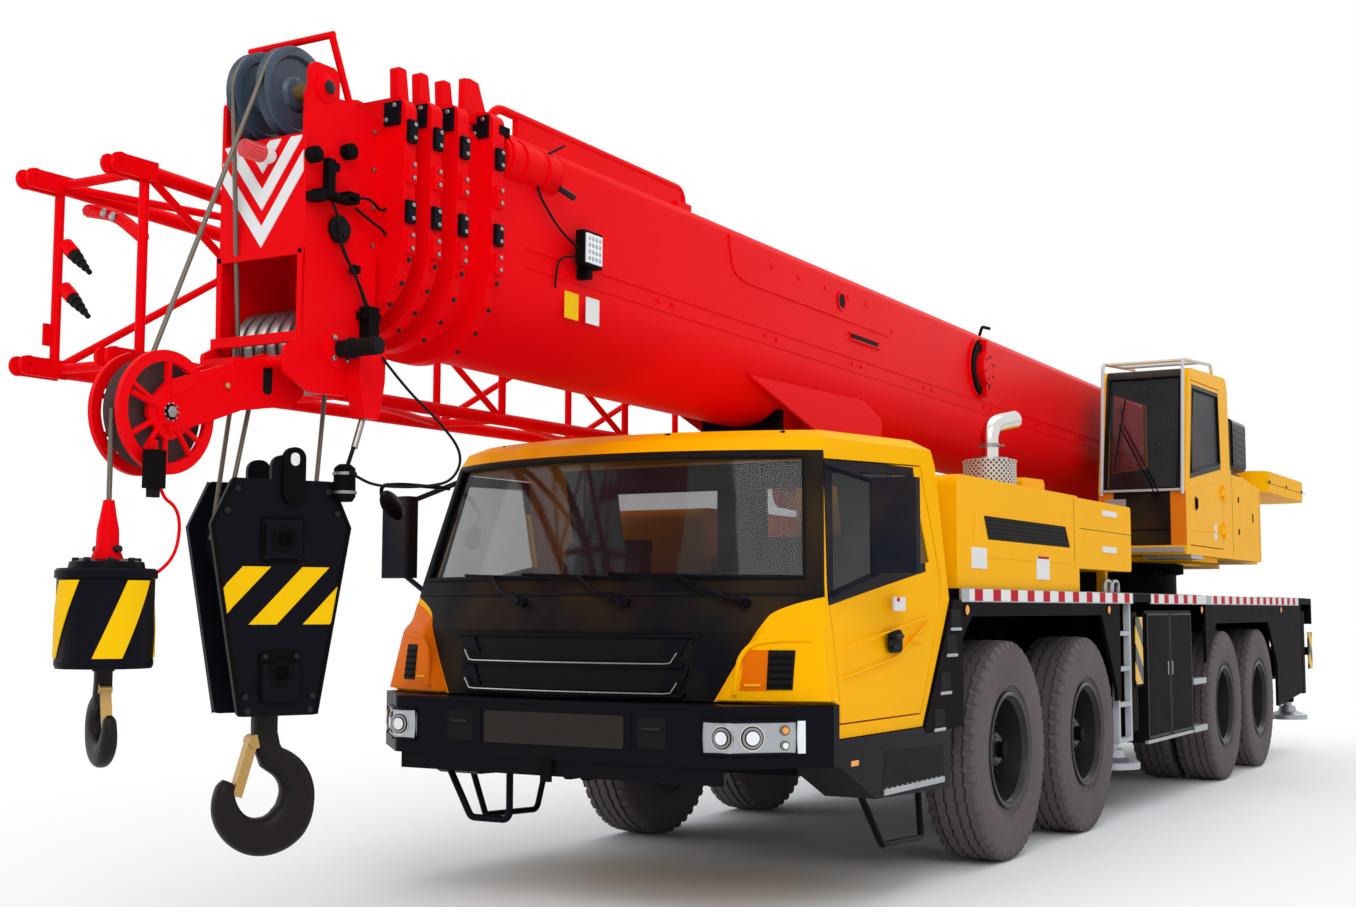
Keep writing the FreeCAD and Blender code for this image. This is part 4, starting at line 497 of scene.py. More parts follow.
class Graph:
    """Node tree of one material or of the world."""

    def __init__(self, owner: bpy.types.Material | bpy.types.World, output: str = "ShaderNodeOutputMaterial",
                 shader: str = "ShaderNodeBsdfPrincipled") -> None:
        """Start the owner's tree with its shader and output."""
        owner.use_nodes = True
        self.tree = owner.node_tree
        self.tree.nodes.clear()
        self.output = self.tree.nodes.new(output)
        self.shader = self.tree.nodes.new(shader)
        self.tree.links.new(self.shader.outputs[0], self.output.inputs[0])

    def node(self, kind: str, settings: dict[str, object], values: dict[object, object], out: object = 0) -> Signal:
        """Make a node.

        Args:
            kind: Blender's node type.
            settings: Its properties, set first; "stops" holds a ramp's (place, colour) list.
            values: Numbers, colours or signals for its sockets by name or number.
            out: Name or number of the output that is returned.

        Returns:
            The output.
        """
        node = self.tree.nodes.new(kind)
        for key, value in settings.items():
            if key == "stops":
                ramp = node.color_ramp.elements
                while len(ramp) < len(value):
                    ramp.new(0.5)
                for element, (place, colour) in zip(ramp, value):
                    element.position = place
                    element.color = (*colour, 1)
            else:
                setattr(node, key, value)
        for key, value in values.items():
            self.feed(node.inputs[key], value)
        return Signal(self, node.outputs[out])

    def feed(self, socket: bpy.types.NodeSocket, value: object) -> None:
        """Set or link one socket.

        Args:
            socket: The input.
            value: A number, colour, vector or signal.
        """
        if isinstance(value, Signal):
            self.tree.links.new(value.socket, socket)
        elif isinstance(value, tuple) and len(value) == 3 and socket.type == "RGBA":
            socket.default_value = (*value, 1)
        else:
            socket.default_value = value

    def place(self) -> Signal:
        """Object coordinates, which are the row frame's."""
        return self.node("ShaderNodeTexCoord", {}, {}, "Object")

    def axes(self) -> tuple[Signal, Signal, Signal]:
        """Object coordinates one by one."""
        return tuple(self.node("ShaderNodeSeparateXYZ", {}, {0: self.place()}, k) for k in range(3))

    def noise(self, scale: float, detail: float = 2.0, rough: float = 0.5) -> Signal:
        """Noise over object coordinates, from 0 to 1."""
        return self.node("ShaderNodeTexNoise", {}, {"Vector": self.place(), "Scale": scale, "Detail": detail,
                                                   "Roughness": rough}, 0)

    def mix(self, share: "Signal | float", first: "Signal | Colour", second: "Signal | Colour") -> Signal:
        """Colour between first and second by share."""
        return self.node("ShaderNodeMix", {"data_type": "RGBA"}, {0: share, 6: first, 7: second}, 2)

    def bump(self, height: Signal, strength: float, distance: float) -> None:
        """Feed the shader's normal from a height.

        Args:
            height: Height from 0 to 1.
            strength: Share of the effect.
            distance: Real height of 1, in metres.
        """
        normal = self.node("ShaderNodeBump", {}, {"Strength": strength, "Distance": distance, "Height": height})
        self.feed(self.shader.inputs["Normal"], normal)

    def glow_over(self, share: Signal, kind: str = "ShaderNodeEmission") -> None:
        """Show plain white instead of the shader by share."""
        glow = self.node(kind, {}, {"Color": (1.0, 1.0, 1.0), "Strength": 1.0})
        base = Signal(self, self.shader.outputs[0])
        self.feed(self.output.inputs[0], self.node("ShaderNodeMixShader", {}, {0: share, 1: base, 2: glow}))

    def surface(self, **values: object) -> None:
        """Feed the shader's sockets by their names, with _ for a blank."""
        for key, value in values.items():
            self.feed(self.shader.inputs[key.replace("_", " ")], value)


MADE: dict[str, bpy.types.Material] = {}


@dataclass(frozen=True)
class Finish:
    """A painted or bare surface.

    Fields:
        name: Name of the material.
        colour: Its main colour.
        roughness: From 0, mirror, to 1, dull.
        metallic: 1 for bare metal.
        coat: Weight of a clear coat.
        mottle: How far the colour wanders.
        grain: Fine bump's height in metres.
        grain_scale: Grains per metre.
        dust: How strongly road dust gathers low down.
        specular: Strength of the plain reflection.
    """

    name: str
    colour: Colour
    roughness: float = 0.4
    metallic: float = 0.0
    coat: float = 0.0
    mottle: float = 0.12
    grain: float = 0.0004
    grain_scale: float = 90.0
    dust: float = 0.0
    specular: float = 0.5

    def material(self) -> bpy.types.Material:
        """The material, made once."""
        if self.name not in MADE:
            MADE[self.name] = bpy.data.materials.new(self.name)
            self.dress(Graph(MADE[self.name]))
        return MADE[self.name]

    def hue(self, graph: Graph) -> "Signal | Colour":
        """Main colour over the surface, which patterned finishes change."""
        return self.colour

    def dress(self, graph: Graph) -> None:
        """Build the material's nodes.

        Args:
            graph: The material's node tree.
        """
        wander = graph.noise(2.3, 3.0)
        darker = tuple(channel * 0.55 for channel in self.colour)
        base = graph.mix((wander - 0.35).clamped() * (self.mottle * 2.2), self.hue(graph), darker)
        if self.dust:
            _, _, z = graph.axes()
            low = (1 - z.ramp(0.0, 1.3)) * graph.noise(6.0, 4.0).ramp(0.35, 0.75)
            base = graph.mix(low * self.dust, base, (0.16, 0.13, 0.10))
        scuff = graph.noise(7.0, 5.0, 0.65)
        rough = (self.roughness + (scuff - 0.5) * (0.35 * max(self.mottle, 0.1))).clamped()
        graph.surface(Base_Color=base, Roughness=rough, Metallic=self.metallic, Coat_Weight=self.coat,
                      Coat_Roughness=0.08, Specular_IOR_Level=self.specular)
        graph.bump(graph.noise(self.grain_scale, 3.0, 0.6), 0.5, self.grain)


@dataclass(frozen=True)
class StripeFinish(Finish):
    """Paint with bands of a second colour.

    Fields:
        other: Colour of the bands.
        along: Direction across the bands, as row axes.
        pitch: Distance from band to band.
        share: Width of a band over the pitch.
        shift: Where the bands start.
    """

    other: Colour = (0.9, 0.55, 0.0)
    along: tuple[float, float, float] = (0.0, 1.0, 1.0)
    pitch: float = 0.2
    share: float = 0.5
    shift: float = 0.0

    def hue(self, graph: Graph) -> Signal:
        """Bands across the given direction."""
        x, y, z = graph.axes()
        reach = x * self.along[0] + y * self.along[1] + z * self.along[2] + self.shift
        return graph.mix(reach % self.pitch < self.pitch * self.share, self.colour, self.other)


@dataclass(frozen=True)
class GlassFinish(Finish):
    """Tinted pane that lets part of what is behind it show.

    Fields:
        clear: Share of what is behind that shows.
    """

    clear: float = 0.35

    def dress(self, graph: Graph) -> None:
        """Glossy dark sheet with a faint film of dust.

        Args:
            graph: The material's node tree.
        """
        film = graph.noise(3.0, 3.0).ramp(0.4, 0.9)
        graph.surface(Base_Color=graph.mix(film * 0.15, self.colour, (0.2, 0.2, 0.2)), Roughness=self.roughness,
                      Alpha=(1 - self.clear) + film * 0.05, IOR=1.5, Specular_IOR_Level=self.specular)


@dataclass(frozen=True)
class LampFinish(Finish):
    """Lens that glows a little in its own colour.

    Fields:
        glow: Strength of the glow.
    """

    glow: float = 0.15

    def dress(self, graph: Graph) -> None:
        """Clear ribbed lens.

        Args:
            graph: The material's node tree.
        """
        x, _, z = graph.axes()
        ribs = abs((x + z) % 0.012 - 0.006) * 160
        graph.surface(Base_Color=graph.mix(ribs * 0.12, self.colour, (1.0, 1.0, 1.0)), Roughness=self.roughness,
                      Emission_Color=self.colour, Emission_Strength=self.glow, Coat_Weight=0.1,
                      Specular_IOR_Level=self.specular)
        graph.bump(ribs, 0.4, 0.001)


@dataclass(frozen=True)
class MeshFinish(Finish):
    """Expanded sheet: crossed bright strands with dark holes between them.

    Fields:
        hole_pitch: Distance from hole to hole.
        strand: Width of a strand over the pitch.
        middle: The can's axis, as x and station.
        reach: Radius of the can.
    """

    hole_pitch: float = 0.034
    strand: float = 0.42
    middle: tuple[float, float] = (0.8, 1.0)
    reach: float = 0.17

    def hue(self, graph: Graph) -> Signal:
        """Strands that climb both ways round the upright axis."""
        x, y, z = graph.axes()
        across, ahead = x - self.middle[0], y - FIRST_AXLE_Y - self.middle[1]
        round_way = across.angle_with(ahead) * self.reach
        left = (round_way + z) % self.hole_pitch > self.hole_pitch * self.strand
        right = (round_way - z) % self.hole_pitch > self.hole_pitch * self.strand
        return graph.mix(left * right, self.colour, (0.05, 0.05, 0.055))


RED = Finish("red_boom_paint", (0.84, 0.0008, 0.004), 0.42, mottle=0.10, specular=0.025)
YELLOW = Finish("yellow_cab_paint", (1.0, 0.47, 0.0003), 0.42, mottle=0.06, dust=0.03, specular=0.02)
# ORANGE is the air slots' paint, and on the right corner panel it is painted shade of the yellow.
ORANGE = Finish("orange_corner_paint", (0.78, 0.155, 0.001), 0.4, mottle=0.1, specular=0.03)
BLACK = Finish("black_chassis_paint", (0.0065, 0.0048, 0.0050), 0.55, mottle=0.3, dust=0.04, specular=0.015)
GLOSS_BLACK = Finish("gloss_black_paint", (0.0055, 0.0055, 0.0085), 0.34, mottle=0.1, dust=0.01, specular=0.035)
RUBBER = Finish("black_rubber", (0.006, 0.006, 0.006), 0.7, mottle=0.4, grain=0.0008, dust=0.03, specular=0.1)
TYRE = Finish("tyre_rubber", (0.118, 0.096, 0.108), 0.68, mottle=0.5, grain=0.001, grain_scale=140, dust=0.12, specular=0.12)
RIM = Finish("black_rim_paint", (0.020, 0.018, 0.022), 0.36, mottle=0.4, dust=0.12, specular=0.22)
STEEL = Finish("worn_steel", (0.32, 0.31, 0.30), 0.38, metallic=1.0, mottle=0.3)
DARK_STEEL = Finish("blackened_steel", (0.018, 0.017, 0.020), 0.42, mottle=0.4, specular=0.1)
SHEAVE = Finish("sheave_steel", (0.045, 0.070, 0.105), 0.34, mottle=0.5, specular=0.35)
GALVANISED = Finish("galvanised_sheet", (0.42, 0.44, 0.46), 0.45, metallic=0.8, mottle=0.3)
CHROME = Finish("polished_pipe", (0.72, 0.70, 0.66), 0.14, metallic=1.0, mottle=0.1)
BRASS = Finish("latch_bronze", (0.48, 0.30, 0.10), 0.4, metallic=0.9, mottle=0.3)
FORGED = Finish("forged_black_hook", (0.013, 0.009, 0.009), 0.42, mottle=0.5, grain=0.0015, grain_scale=40, specular=0.12)
WHITE = Finish("white_plate", (0.78, 0.78, 0.76), 0.45, specular=0.15)
TAPE_RED = Finish("red_marker_tape", (0.52, 0.004, 0.020), 0.45, specular=0.03)
DECAL_YELLOW = Finish("yellow_plate", (0.90, 0.52, 0.002), 0.45, specular=0.04)
TRIM = Finish("grey_cab_trim", (0.03, 0.03, 0.034), 0.6, mottle=0.2, specular=0.2)
PLATE_BROWN = Finish("bumper_middle_plate", (0.020, 0.014, 0.012), 0.5, mottle=0.3, specular=0.15)
SCREEN = GlassFinish("windscreen_glass", (0.012, 0.014, 0.018), 0.05, clear=0.72, specular=0.5)
SIDE_GLASS = GlassFinish("side_glass", (0.008, 0.010, 0.013), 0.05, clear=0.66, specular=0.5)
LENS = LampFinish("headlamp_lens", (0.72, 0.75, 0.78), 0.12, glow=0.12)
AMBER = LampFinish("amber_lens", (0.85, 0.30, 0.010), 0.2, specular=0.12, glow=0.08)
RED_LENS = LampFinish("red_lens", (0.6, 0.006, 0.008), 0.2, specular=0.12, glow=0.08)
ROPE = StripeFinish("wire_rope", (0.20, 0.17, 0.13), 0.5, metallic=0.6, mottle=0.4, other=(0.06, 0.05, 0.04),
                    along=(1.0, 1.0, 0.8), pitch=0.012, share=0.35)
TREAD = StripeFinish("tread_plate", (0.02, 0.02, 0.022), 0.5, mottle=0.4, other=(0.035, 0.035, 0.037),
                     along=(1.0, 1.0, 0.0), pitch=0.06, specular=0.1)
HAZARD = StripeFinish("hazard_bands", (0.012, 0.012, 0.012), 0.4, other=(0.85, 0.5, 0.005), along=(0, 0.9, 1.0),
                      pitch=0.26)
PERFORATED = MeshFinish("perforated_guard", (0.62, 0.61, 0.58), 0.4, metallic=0.35, specular=0.2)

@dataclass(frozen=True)
class CabPaint(Finish):
    """Cab paint: black round the windscreen, down the grille and on the mirrors, body colour elsewhere.

    Fields:
        dark: Colour of the black parts.
        front: Station that the front face lies ahead of.
        top: Upper edge of the black, in front.
        band: Height above which the black runs the whole width.
        waist: Half width of the black at the height of the bumper.
        flare: How much the half width grows per metre of height.
        mirror_x: Distance from the middle beyond which only mirrors lie.
        lining: Colour inside the cab.
    """

    dark: Colour = (0.0055, 0.0065, 0.0095)
    front: float = -2.022
    top: float = 2.15
    band: float = 1.46
    waist: float = 0.735
    flare: float = 0.55
    mirror_x: float = 1.285
    lining: Colour = (0.030, 0.027, 0.028)

    def hue(self, graph: Graph) -> Signal:
        """Black by place, with the body colour between."""
        x, y, z = graph.axes()
        reach = abs(x)
        curve = (z - 0.95) * self.flare + self.waist + ((z - 1.36).clamped() * (z - 1.36).clamped()) * 18.0
        lower = (reach < curve) * (z < self.band + 0.001)
        upper = (z > self.band) * (z < self.top)
        ahead = y - FIRST_AXLE_Y < (2.134 - z) * -0.30 + self.front
        face = ahead * (lower + upper).clamped()
        black = (face + (reach > self.mirror_x)).clamped()
        inside = (reach < 1.02) * (y - FIRST_AXLE_Y > -2.0) * (y - FIRST_AXLE_Y < -0.75) * (z > 1.0) * (z < 2.19)
        return graph.mix(inside, graph.mix(black, self.colour, self.dark), self.lining)


@dataclass(frozen=True)
class DoorPaint(Finish):
    """Door paint with a black surround about its window.

    Fields:
        dark: Colour of the surround, black with a blue cast that is painted reflection.
        sill: Height of the surround's lower edge at the first axle.
        rise: Rise of that edge per metre to the rear.
        rear: Station where the surround ends.
        mirror_x: Distance from the middle beyond which only mirrors lie.
    """

    # Black surround; the blue in it is painted reflection.
    dark: Colour = (0.004, 0.009, 0.020)
    sill: float = 1.785
    rise: float = 0.168
    rear: float = -1.165
    mirror_x: float = 1.285

    def hue(self, graph: Graph) -> Signal:
        """Black above the sloping sill, body colour below it."""
        x, y, z = graph.axes()
        station = y - FIRST_AXLE_Y
        above = z > station * self.rise + self.sill
        ahead = station < self.rear - (z - 1.65).clamped() * 0.2
        below = z < 2.115
        black = (above * ahead * below + (abs(x) > self.mirror_x)).clamped()
        return graph.mix(black, self.colour, self.dark)


@dataclass(frozen=True)
class LadderPaint(Finish):
    """Chassis black with the side ladders left bright.

    Fields:
        bright: Colour of the ladders.
        start: Station where a ladder starts.
        end: Station where it ends.
    """

    bright: Colour = (0.5, 0.52, 0.54)
    start: float = 2.17
    end: float = 2.54

    def hue(self, graph: Graph) -> Signal:
        """Bright between the ladders' stations."""
        _, y, _ = graph.axes()
        station = y - FIRST_AXLE_Y
        return graph.mix((station > self.start) * (station < self.end), self.colour, self.bright)


@dataclass(frozen=True)
class ArmPaint(Finish):
    """Red arm paint with the rope wheel between the arms left dark.

    Fields:
        wheel: Colour of the rope wheel.
        pin: Station and height of its pin.
        reach: Radius of the wheel.
        half: Half its width.
    """

    wheel: Colour = (0.05, 0.045, 0.045)
    pin: tuple[float, float] = (-5.16, 2.07)
    reach: float = 0.193
    half: float = 0.047

    def hue(self, graph: Graph) -> Signal:
        """Dark inside the wheel's disc, red elsewhere."""
        x, y, z = graph.axes()
        across, up = y - FIRST_AXLE_Y - self.pin[0], z - self.pin[1]
        inside = (across * across + up * up) < self.reach**2
        return graph.mix(inside * (abs(x) < self.half), self.colour, self.wheel)


@dataclass(frozen=True)
class OperatorCabPaint(Finish):
    """Body colour with the black glass surround, black front apron and bright tube guard.

    Fields:
        dark: Colour of the black parts.
        bright: Colour of the guard tubes.
        trim: Colour of the side corners.
        front: Station behind which the sides are body colour.
        lining: Colour inside the cab.
    """

    dark: Colour = (0.006, 0.007, 0.010)
    bright: Colour = (0.62, 0.63, 0.64)
    trim: Colour = (0.80, 0.20, 0.01)
    front: float = 4.18
    lining: Colour = (0.030, 0.027, 0.028)

    def hue(self, graph: Graph) -> Signal:
        """Parts told apart by place: ahead of the sloping face lies the guard, on it the black."""
        x, y, z = graph.axes()
        station = y - FIRST_AXLE_Y
        slope = (z - 2.33).clamped() * 0.182 + self.front
        face = (station < slope + 0.012) * (z > 1.90)
        guard = ((station < slope - 0.002) * (z > 2.25) + (z > 3.385)).clamped()
        middle = (abs(x - 0.905) < 0.225) * (z < 2.33) + (abs(x - 0.905) < 0.31) * (z > 2.33)
        unit_box = (station > 5.78) * (z > 2.56) * (station < 6.14)
        corner = face * (z < 2.33)
        colour = graph.mix(corner, self.colour, self.trim)
        colour = graph.mix((face * middle.clamped() + unit_box).clamped(), colour, self.dark)
        inside = (x > 0.595) * (x < 1.215) * (station > 4.3) * (station < 5.72) * (z > 1.86) * (z < 3.345)
        return graph.mix(inside, graph.mix(guard, colour, self.bright), self.lining)


@dataclass(frozen=True)
class OperatorDoorPaint(Finish):
    """Operator's door: body colour with its pane dark.

    Fields:
        dark: Colour of the pane.
        pane_x: Distance of the pane's outer face.
    """

    dark: Colour = (0.010, 0.013, 0.020)
    pane_x: float = 1.2425

    def hue(self, graph: Graph) -> Signal:
        """Dark between the four edges of the window, inside the leaf's outer face."""
        x, y, z = graph.axes()
        station = y - FIRST_AXLE_Y
        ahead = station > (z - 2.48) * 0.176 + 4.357
        behind = station < (z - 2.62) * -0.071 + 5.363
        above = z > (station - 4.36) * 0.14 + 2.477
        pane = ahead * behind * above * (z < 3.185) * (x < self.pane_x)
        return graph.mix(pane, self.colour, self.dark)


CAB_PAINT = CabPaint("cab_two_tone_paint", YELLOW.colour, 0.4, mottle=0.06, dust=0.03, specular=0.02)
DOOR_PAINT = DoorPaint("door_two_tone_paint", YELLOW.colour, 0.4, mottle=0.06, dust=0.03, specular=0.02)
ARM_PAINT = ArmPaint("auxiliary_arm_paint", RED.colour, 0.4, mottle=0.12, specular=0.04)
OPERATOR_PAINT = OperatorCabPaint("operator_cab_paint", YELLOW.colour, 0.4, mottle=0.08, specular=0.03)
OPERATOR_DOOR_PAINT = OperatorDoorPaint("operator_door_paint", YELLOW.colour, 0.36, mottle=0.08, specular=0.03)
LADDER_PAINT = LadderPaint("locker_and_ladder_paint", BLACK.colour, 0.5, mottle=0.3, dust=0.04, specular=0.03)

NODE_FINISHES: dict[str, Finish] = {
    "chassis_frame": BLACK, "axle_beams": BLACK, "engine_block": DARK_STEEL, "deck": BLACK, "side_cabinets": LADDER_PAINT,
    "front_bumper": GLOSS_BLACK, "headlamps": LENS, "carrier_cab": CAB_PAINT, "carrier_cab_glass": SCREEN,
    "cab_interior": TRIM, "boom_rest": BLACK, "engine_housing": YELLOW, "exhaust_stack": PERFORATED,
    "slewing_ring": BLACK, "turntable": YELLOW, "operator_cab": OPERATOR_PAINT, "operator_cab_glass": SCREEN,
    "operator_interior": TRIM, "operator_door": OPERATOR_DOOR_PAINT, "counterweight": YELLOW, "winches": DARK_STEEL,
    "boom_base": RED, "boom_section_2": RED, "boom_section_3": RED, "boom_section_4": RED, "boom_section_5": RED,
    "head_sheaves": SHEAVE, "aux_sheave_head": ARM_PAINT, "fly_jib": RED, "lift_cylinder_barrel": YELLOW,
    "lift_cylinder_rod": CHROME, "hook_block": GLOSS_BLACK, "main_hook": FORGED, "hoist_falls": ROPE,
    "aux_rope": ROPE, "aux_hook": GLOSS_BLACK, "cab_door_left": DOOR_PAINT, "cab_door_right": DOOR_PAINT,
    "door_glass_left": SIDE_GLASS, "door_glass_right": SIDE_GLASS,
}
PREFIX_FINISHES: dict[str, Finish] = {"knuckle": BLACK, "wheel": TYRE, "outrigger_beam": BLACK, "jack": GALVANISED}


def dress_frame_nodes() -> None:
    """Give every frame node its own finish."""
    for name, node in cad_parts.items():
        finish = NODE_FINISHES.get(name)
        if finish is None:
            finish = next(value for key, value in PREFIX_FINISHES.items() if name.startswith(key))
        node.data.materials.clear()
        node.data.materials.append(finish.material())


@dataclass
class Wheel:
    """Wheel of one corner: tyre with cut tread, rim, hub and nuts.

    Fields:
        number: Axle number from the front.
        side: 1 on the left, -1 on the right.
        half_width: Half the tyre's width.
        radius: Radius over the tread.
        seat: Radius of the rim's seat.
        outer_x: Distance of the outer tyre's face from the middle of the vehicle.
        twin_spacing: Distance between the middles of twin tyres.
        lugs: Shoulder lugs on each side.
        groove: Depth of the tread.
        nuts: Wheel nuts.
        nut_circle: Radius of the circle of nuts.
    """

    number: int
    side: int
    half_width: float = 0.157
    radius: float = 0.613
    seat: float = 0.306
    outer_x: float = 1.272
    twin_spacing: float = 0.35
    lugs: int = 44
    groove: float = 0.019
    nuts: int = 10
    nut_circle: float = 0.1675

    def __post_init__(self) -> None:
        """Read where the axle is."""
        self.node = f"wheel_{self.number}_{'left' if self.side > 0 else 'right'}"
        low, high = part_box(self.node)
        self.centre = np.array([self.side * (self.outer_x - self.half_width), (low.y + high.y) / 2, self.radius])

    def tyre(self) -> Form:
        """Tyre whose tread is cut by zigzag rings and shoulder slots.

        The profile of (across, radius) points turns about the axle. In a slot's share of each pitch the
        shoulder points sink by the groove, and points near the middle shift across by a triangle wave.

        Returns:
            The tyre about the origin, its axle along x.
        """
        h, r = self.half_width, self.radius
        side = [(h * 0.74, self.seat), (h * 0.80, self.seat + 0.012), (h * 0.86, self.seat + 0.05),
                (h * 0.955, self.seat + 0.055), (h * 0.96, self.seat + 0.062), (h * 0.94, self.seat + 0.066),
                (h, self.seat + 0.14), (h * 0.985, self.seat + 0.20), (h * 0.97, r - 0.075), (h * 0.975, r - 0.06),
                (h * 0.95, r - 0.035), (h * 0.90, r - 0.013), (h * 0.86, r - 0.006)]
        crown = []
        for edge in (0.56, 0.20):
            crown += [(h * (edge + 0.045), r - 0.003), (h * (edge + 0.035), r - self.groove),
                      (h * (edge - 0.035), r - self.groove), (h * (edge - 0.045), r)]
        half = np.array(side + crown)
        profile = np.concatenate([half, (half * np.array([-1, 1]))[::-1]])
        across, radius = profile.T
        step = np.arange(self.lugs * 4)
        share = np.array([0.0, 0.56, 0.64, 0.92])[step % 4]
        angle = 2 * math.pi * (step // 4 + share) / self.lugs
        slot = (step % 4 >= 2).astype(float)
        other = np.roll(slot, 2)
        shoulder = ((np.abs(across) > h * 0.61) & (radius > r - 0.07)).astype(float)
        taper = np.clip((radius - (r - 0.07)) / 0.05, 0, 1)
        sink = np.where(across[None, :] > 0, slot[:, None], other[:, None]) * (shoulder * taper)[None, :] * self.groove
        wave = np.abs(((step / 2.0) % 2) - 1) * 2 - 1
        shift = wave[:, None] * ((np.abs(across) < h * 0.61) & (np.abs(across) > h * 0.05))[None, :] * 0.005
        reach = radius[None, :] - sink
        points = np.stack([across[None, :] + shift, np.cos(angle)[:, None] * reach, np.sin(angle)[:, None] * reach], -1)
        return Form(points.reshape(-1, 3), grid_faces(len(step), len(across), True, True))

    def rim(self, dish: float) -> list[Form]:
        """Steel rim with its disc and flanges.

        Args:
            dish: Distance of the disc's flat from the middle of the tyre, outward.

        Returns:
            Rim and disc about the origin.
        """
        h, s = self.half_width, self.seat
        barrel = [(h * 0.90, s + 0.016), (h * 0.94, s + 0.008), (h * 0.93, s - 0.004), (h * 0.80, s - 0.012),
                  (h * 0.72, s - 0.022), (-h * 0.72, s - 0.022), (-h * 0.80, s - 0.012), (-h * 0.93, s - 0.004),
                  (-h * 0.94, s + 0.008), (-h * 0.90, s + 0.016), (-h * 0.78, s + 0.002), (h * 0.78, s + 0.002)]
        disc = [(dish - 0.06, s - 0.023), (dish - 0.035, s - 0.035), (dish - 0.012, 0.218), (dish, 0.205),
                (dish, 0.115), (dish - 0.012, 0.115), (dish - 0.012, 0.200), (dish - 0.026, 0.213),
                (dish - 0.05, s - 0.04), (dish - 0.075, s - 0.023)]
        return [revolved(barrel, (0, 0, 0), Axis.X, 64, True), revolved(disc, (0, 0, 0), Axis.X, 64, True)]

    def ring_places(self, count: int, radius: float) -> np.ndarray:
        """Points spaced evenly on a circle about the axle."""
        angle = 2 * math.pi * (np.arange(count) + 0.5) / count
        return np.stack([np.zeros(count), np.cos(angle) * radius, np.sin(angle) * radius], -1)

    def build(self) -> None:
        """Make the wheel on its frame body."""
        rear = self.number > 2
        dish = -0.06 if rear else -0.01
        piece = Piece(f"{self.node}_dressed")
        tyres = [0.0, -self.twin_spacing] if rear else [0.0]
        forms: list[tuple[Form, Finish]] = [(self.tyre().moved((offset, 0, 0)), TYRE) for offset in tyres]
        for offset in tyres:
            facing = dish if offset == 0 else -dish * 0.4
            forms += [(form.moved((offset, 0, 0)), RIM) for form in self.rim(facing)]
        hub = 0.128 if rear else 0.105
        reach = 0.05 if rear else 0.075
        cap = [(dish - 0.02, 0), (dish - 0.02, hub), (reach - 0.05, hub), (reach - 0.04, hub - 0.01),
               (reach - 0.012, hub - 0.012), (reach, hub - 0.03), (reach, 0)]
        forms.append((revolved(cap, (0, 0, 0), Axis.X, 40), RIM))
        for place in self.ring_places(self.nuts, self.nut_circle):
            forms.append((hex_bolt(place + (dish, 0, 0), Axis.X, 0.019, 0.026), DARK_STEEL))
            forms.append((revolved([(dish, 0), (dish, 0.011), (dish + 0.042, 0.010), (dish + 0.044, 0)], place,
                                   Axis.X, 10), DARK_STEEL))
        for place in self.ring_places(8, hub - 0.03):
            forms.append((hex_bolt(place + (reach - 0.013, 0, 0), Axis.X, 0.009, 0.014), DARK_STEEL))
        # Hand holes in the disc: a raised lip round each, and in it a dark rubber disc that is painted shade standing
        # in for the opening.
        for place in self.ring_places(self.nuts, 0.243):
            lip = [(dish - 0.034, 0.026), (dish - 0.022, 0.026), (dish - 0.019, 0.021), (dish - 0.026, 0.018),
                   (dish - 0.030, 0.018)]
            forms.append((revolved(lip, place, Axis.X, 14, True), RIM))
            forms.append((revolved([(dish - 0.028, 0), (dish - 0.028, 0.019), (dish - 0.05, 0.019), (dish - 0.05, 0)],
                                   place, Axis.X, 14), RUBBER))
        drum = [(-0.10, 0), (-0.10, 0.19), (-0.03, 0.205), (dish - 0.02, 0.205), (dish - 0.02, 0)]
        forms.append((revolved(drum, (0, 0, 0), Axis.X, 40), DARK_STEEL))
        for form, finish in forms:
            shape = form if self.side > 0 else form.mirrored()
            piece.add(shape.moved(self.centre), finish)
        piece.build(self.node, smooth=32, replaces=[self.node])


@dataclass
class Exhaust:
    """Guarded silencer with its bent tail pipe.

    Fields:
        x: Distance to the left.
        station: Station of the can.
        base: Height of the hood below it.
        height: Height of the can.
        radius: Radius of the guard.
        pipe: Radius of the tail pipe.
    """

    x: float = 0.8
    station: float = 1.0
    base: float = 2.1205
    height: float = 0.215
    radius: float = 0.172
    pipe: float = 0.057

    def build(self) -> None:
        """Make can, bands, lid and pipe."""
        foot = at(self.x, self.station, self.base)
        piece = Piece("exhaust_with_guard")
        top = self.height
        can = [(0.0, 0), (0.0, self.radius), (0.012, self.radius), (0.014, self.radius - 0.005),
               (top - 0.014, self.radius - 0.005), (top - 0.012, self.radius), (top, self.radius),
               (top + 0.004, self.radius - 0.01), (top + 0.004, 0)]
        piece.add(revolved(can, foot, Axis.Z, 64), PERFORATED)
        lid = [(top + 0.002, 0), (top + 0.002, 0.12), (top + 0.018, 0.115), (top + 0.022, 0.07), (top + 0.022, 0)]
        piece.add(revolved(lid, foot, Axis.Z, 48), STEEL)
        corners = [foot + (0, 0, top + 0.01), foot + (0, 0, 0.445), foot + (0.085, 0.243, 0.498)]
        path = rounded_path(corners, 0.12, 12)
        piece.add(swept(path, self.pipe, 32), CHROME)
        end = unit(path[-1] - path[-2])
        piece.add(swept([path[-1] - end * 0.02, path[-1] + end * 0.001], self.pipe * 0.88, 32), RUBBER)
        clamp = [(0.30, self.pipe), (0.30, self.pipe + 0.006), (0.325, self.pipe + 0.006), (0.325, self.pipe)]
        piece.add(revolved(clamp, foot, Axis.Z, 32, True), STEEL)
        piece.add(bar(foot + (self.pipe, 0.01, 0.31), foot + (self.pipe + 0.035, 0.01, 0.31), 0.007), STEEL)
        piece.build("carrier", bevel=0.0, smooth=40, replaces=["exhaust_stack"])


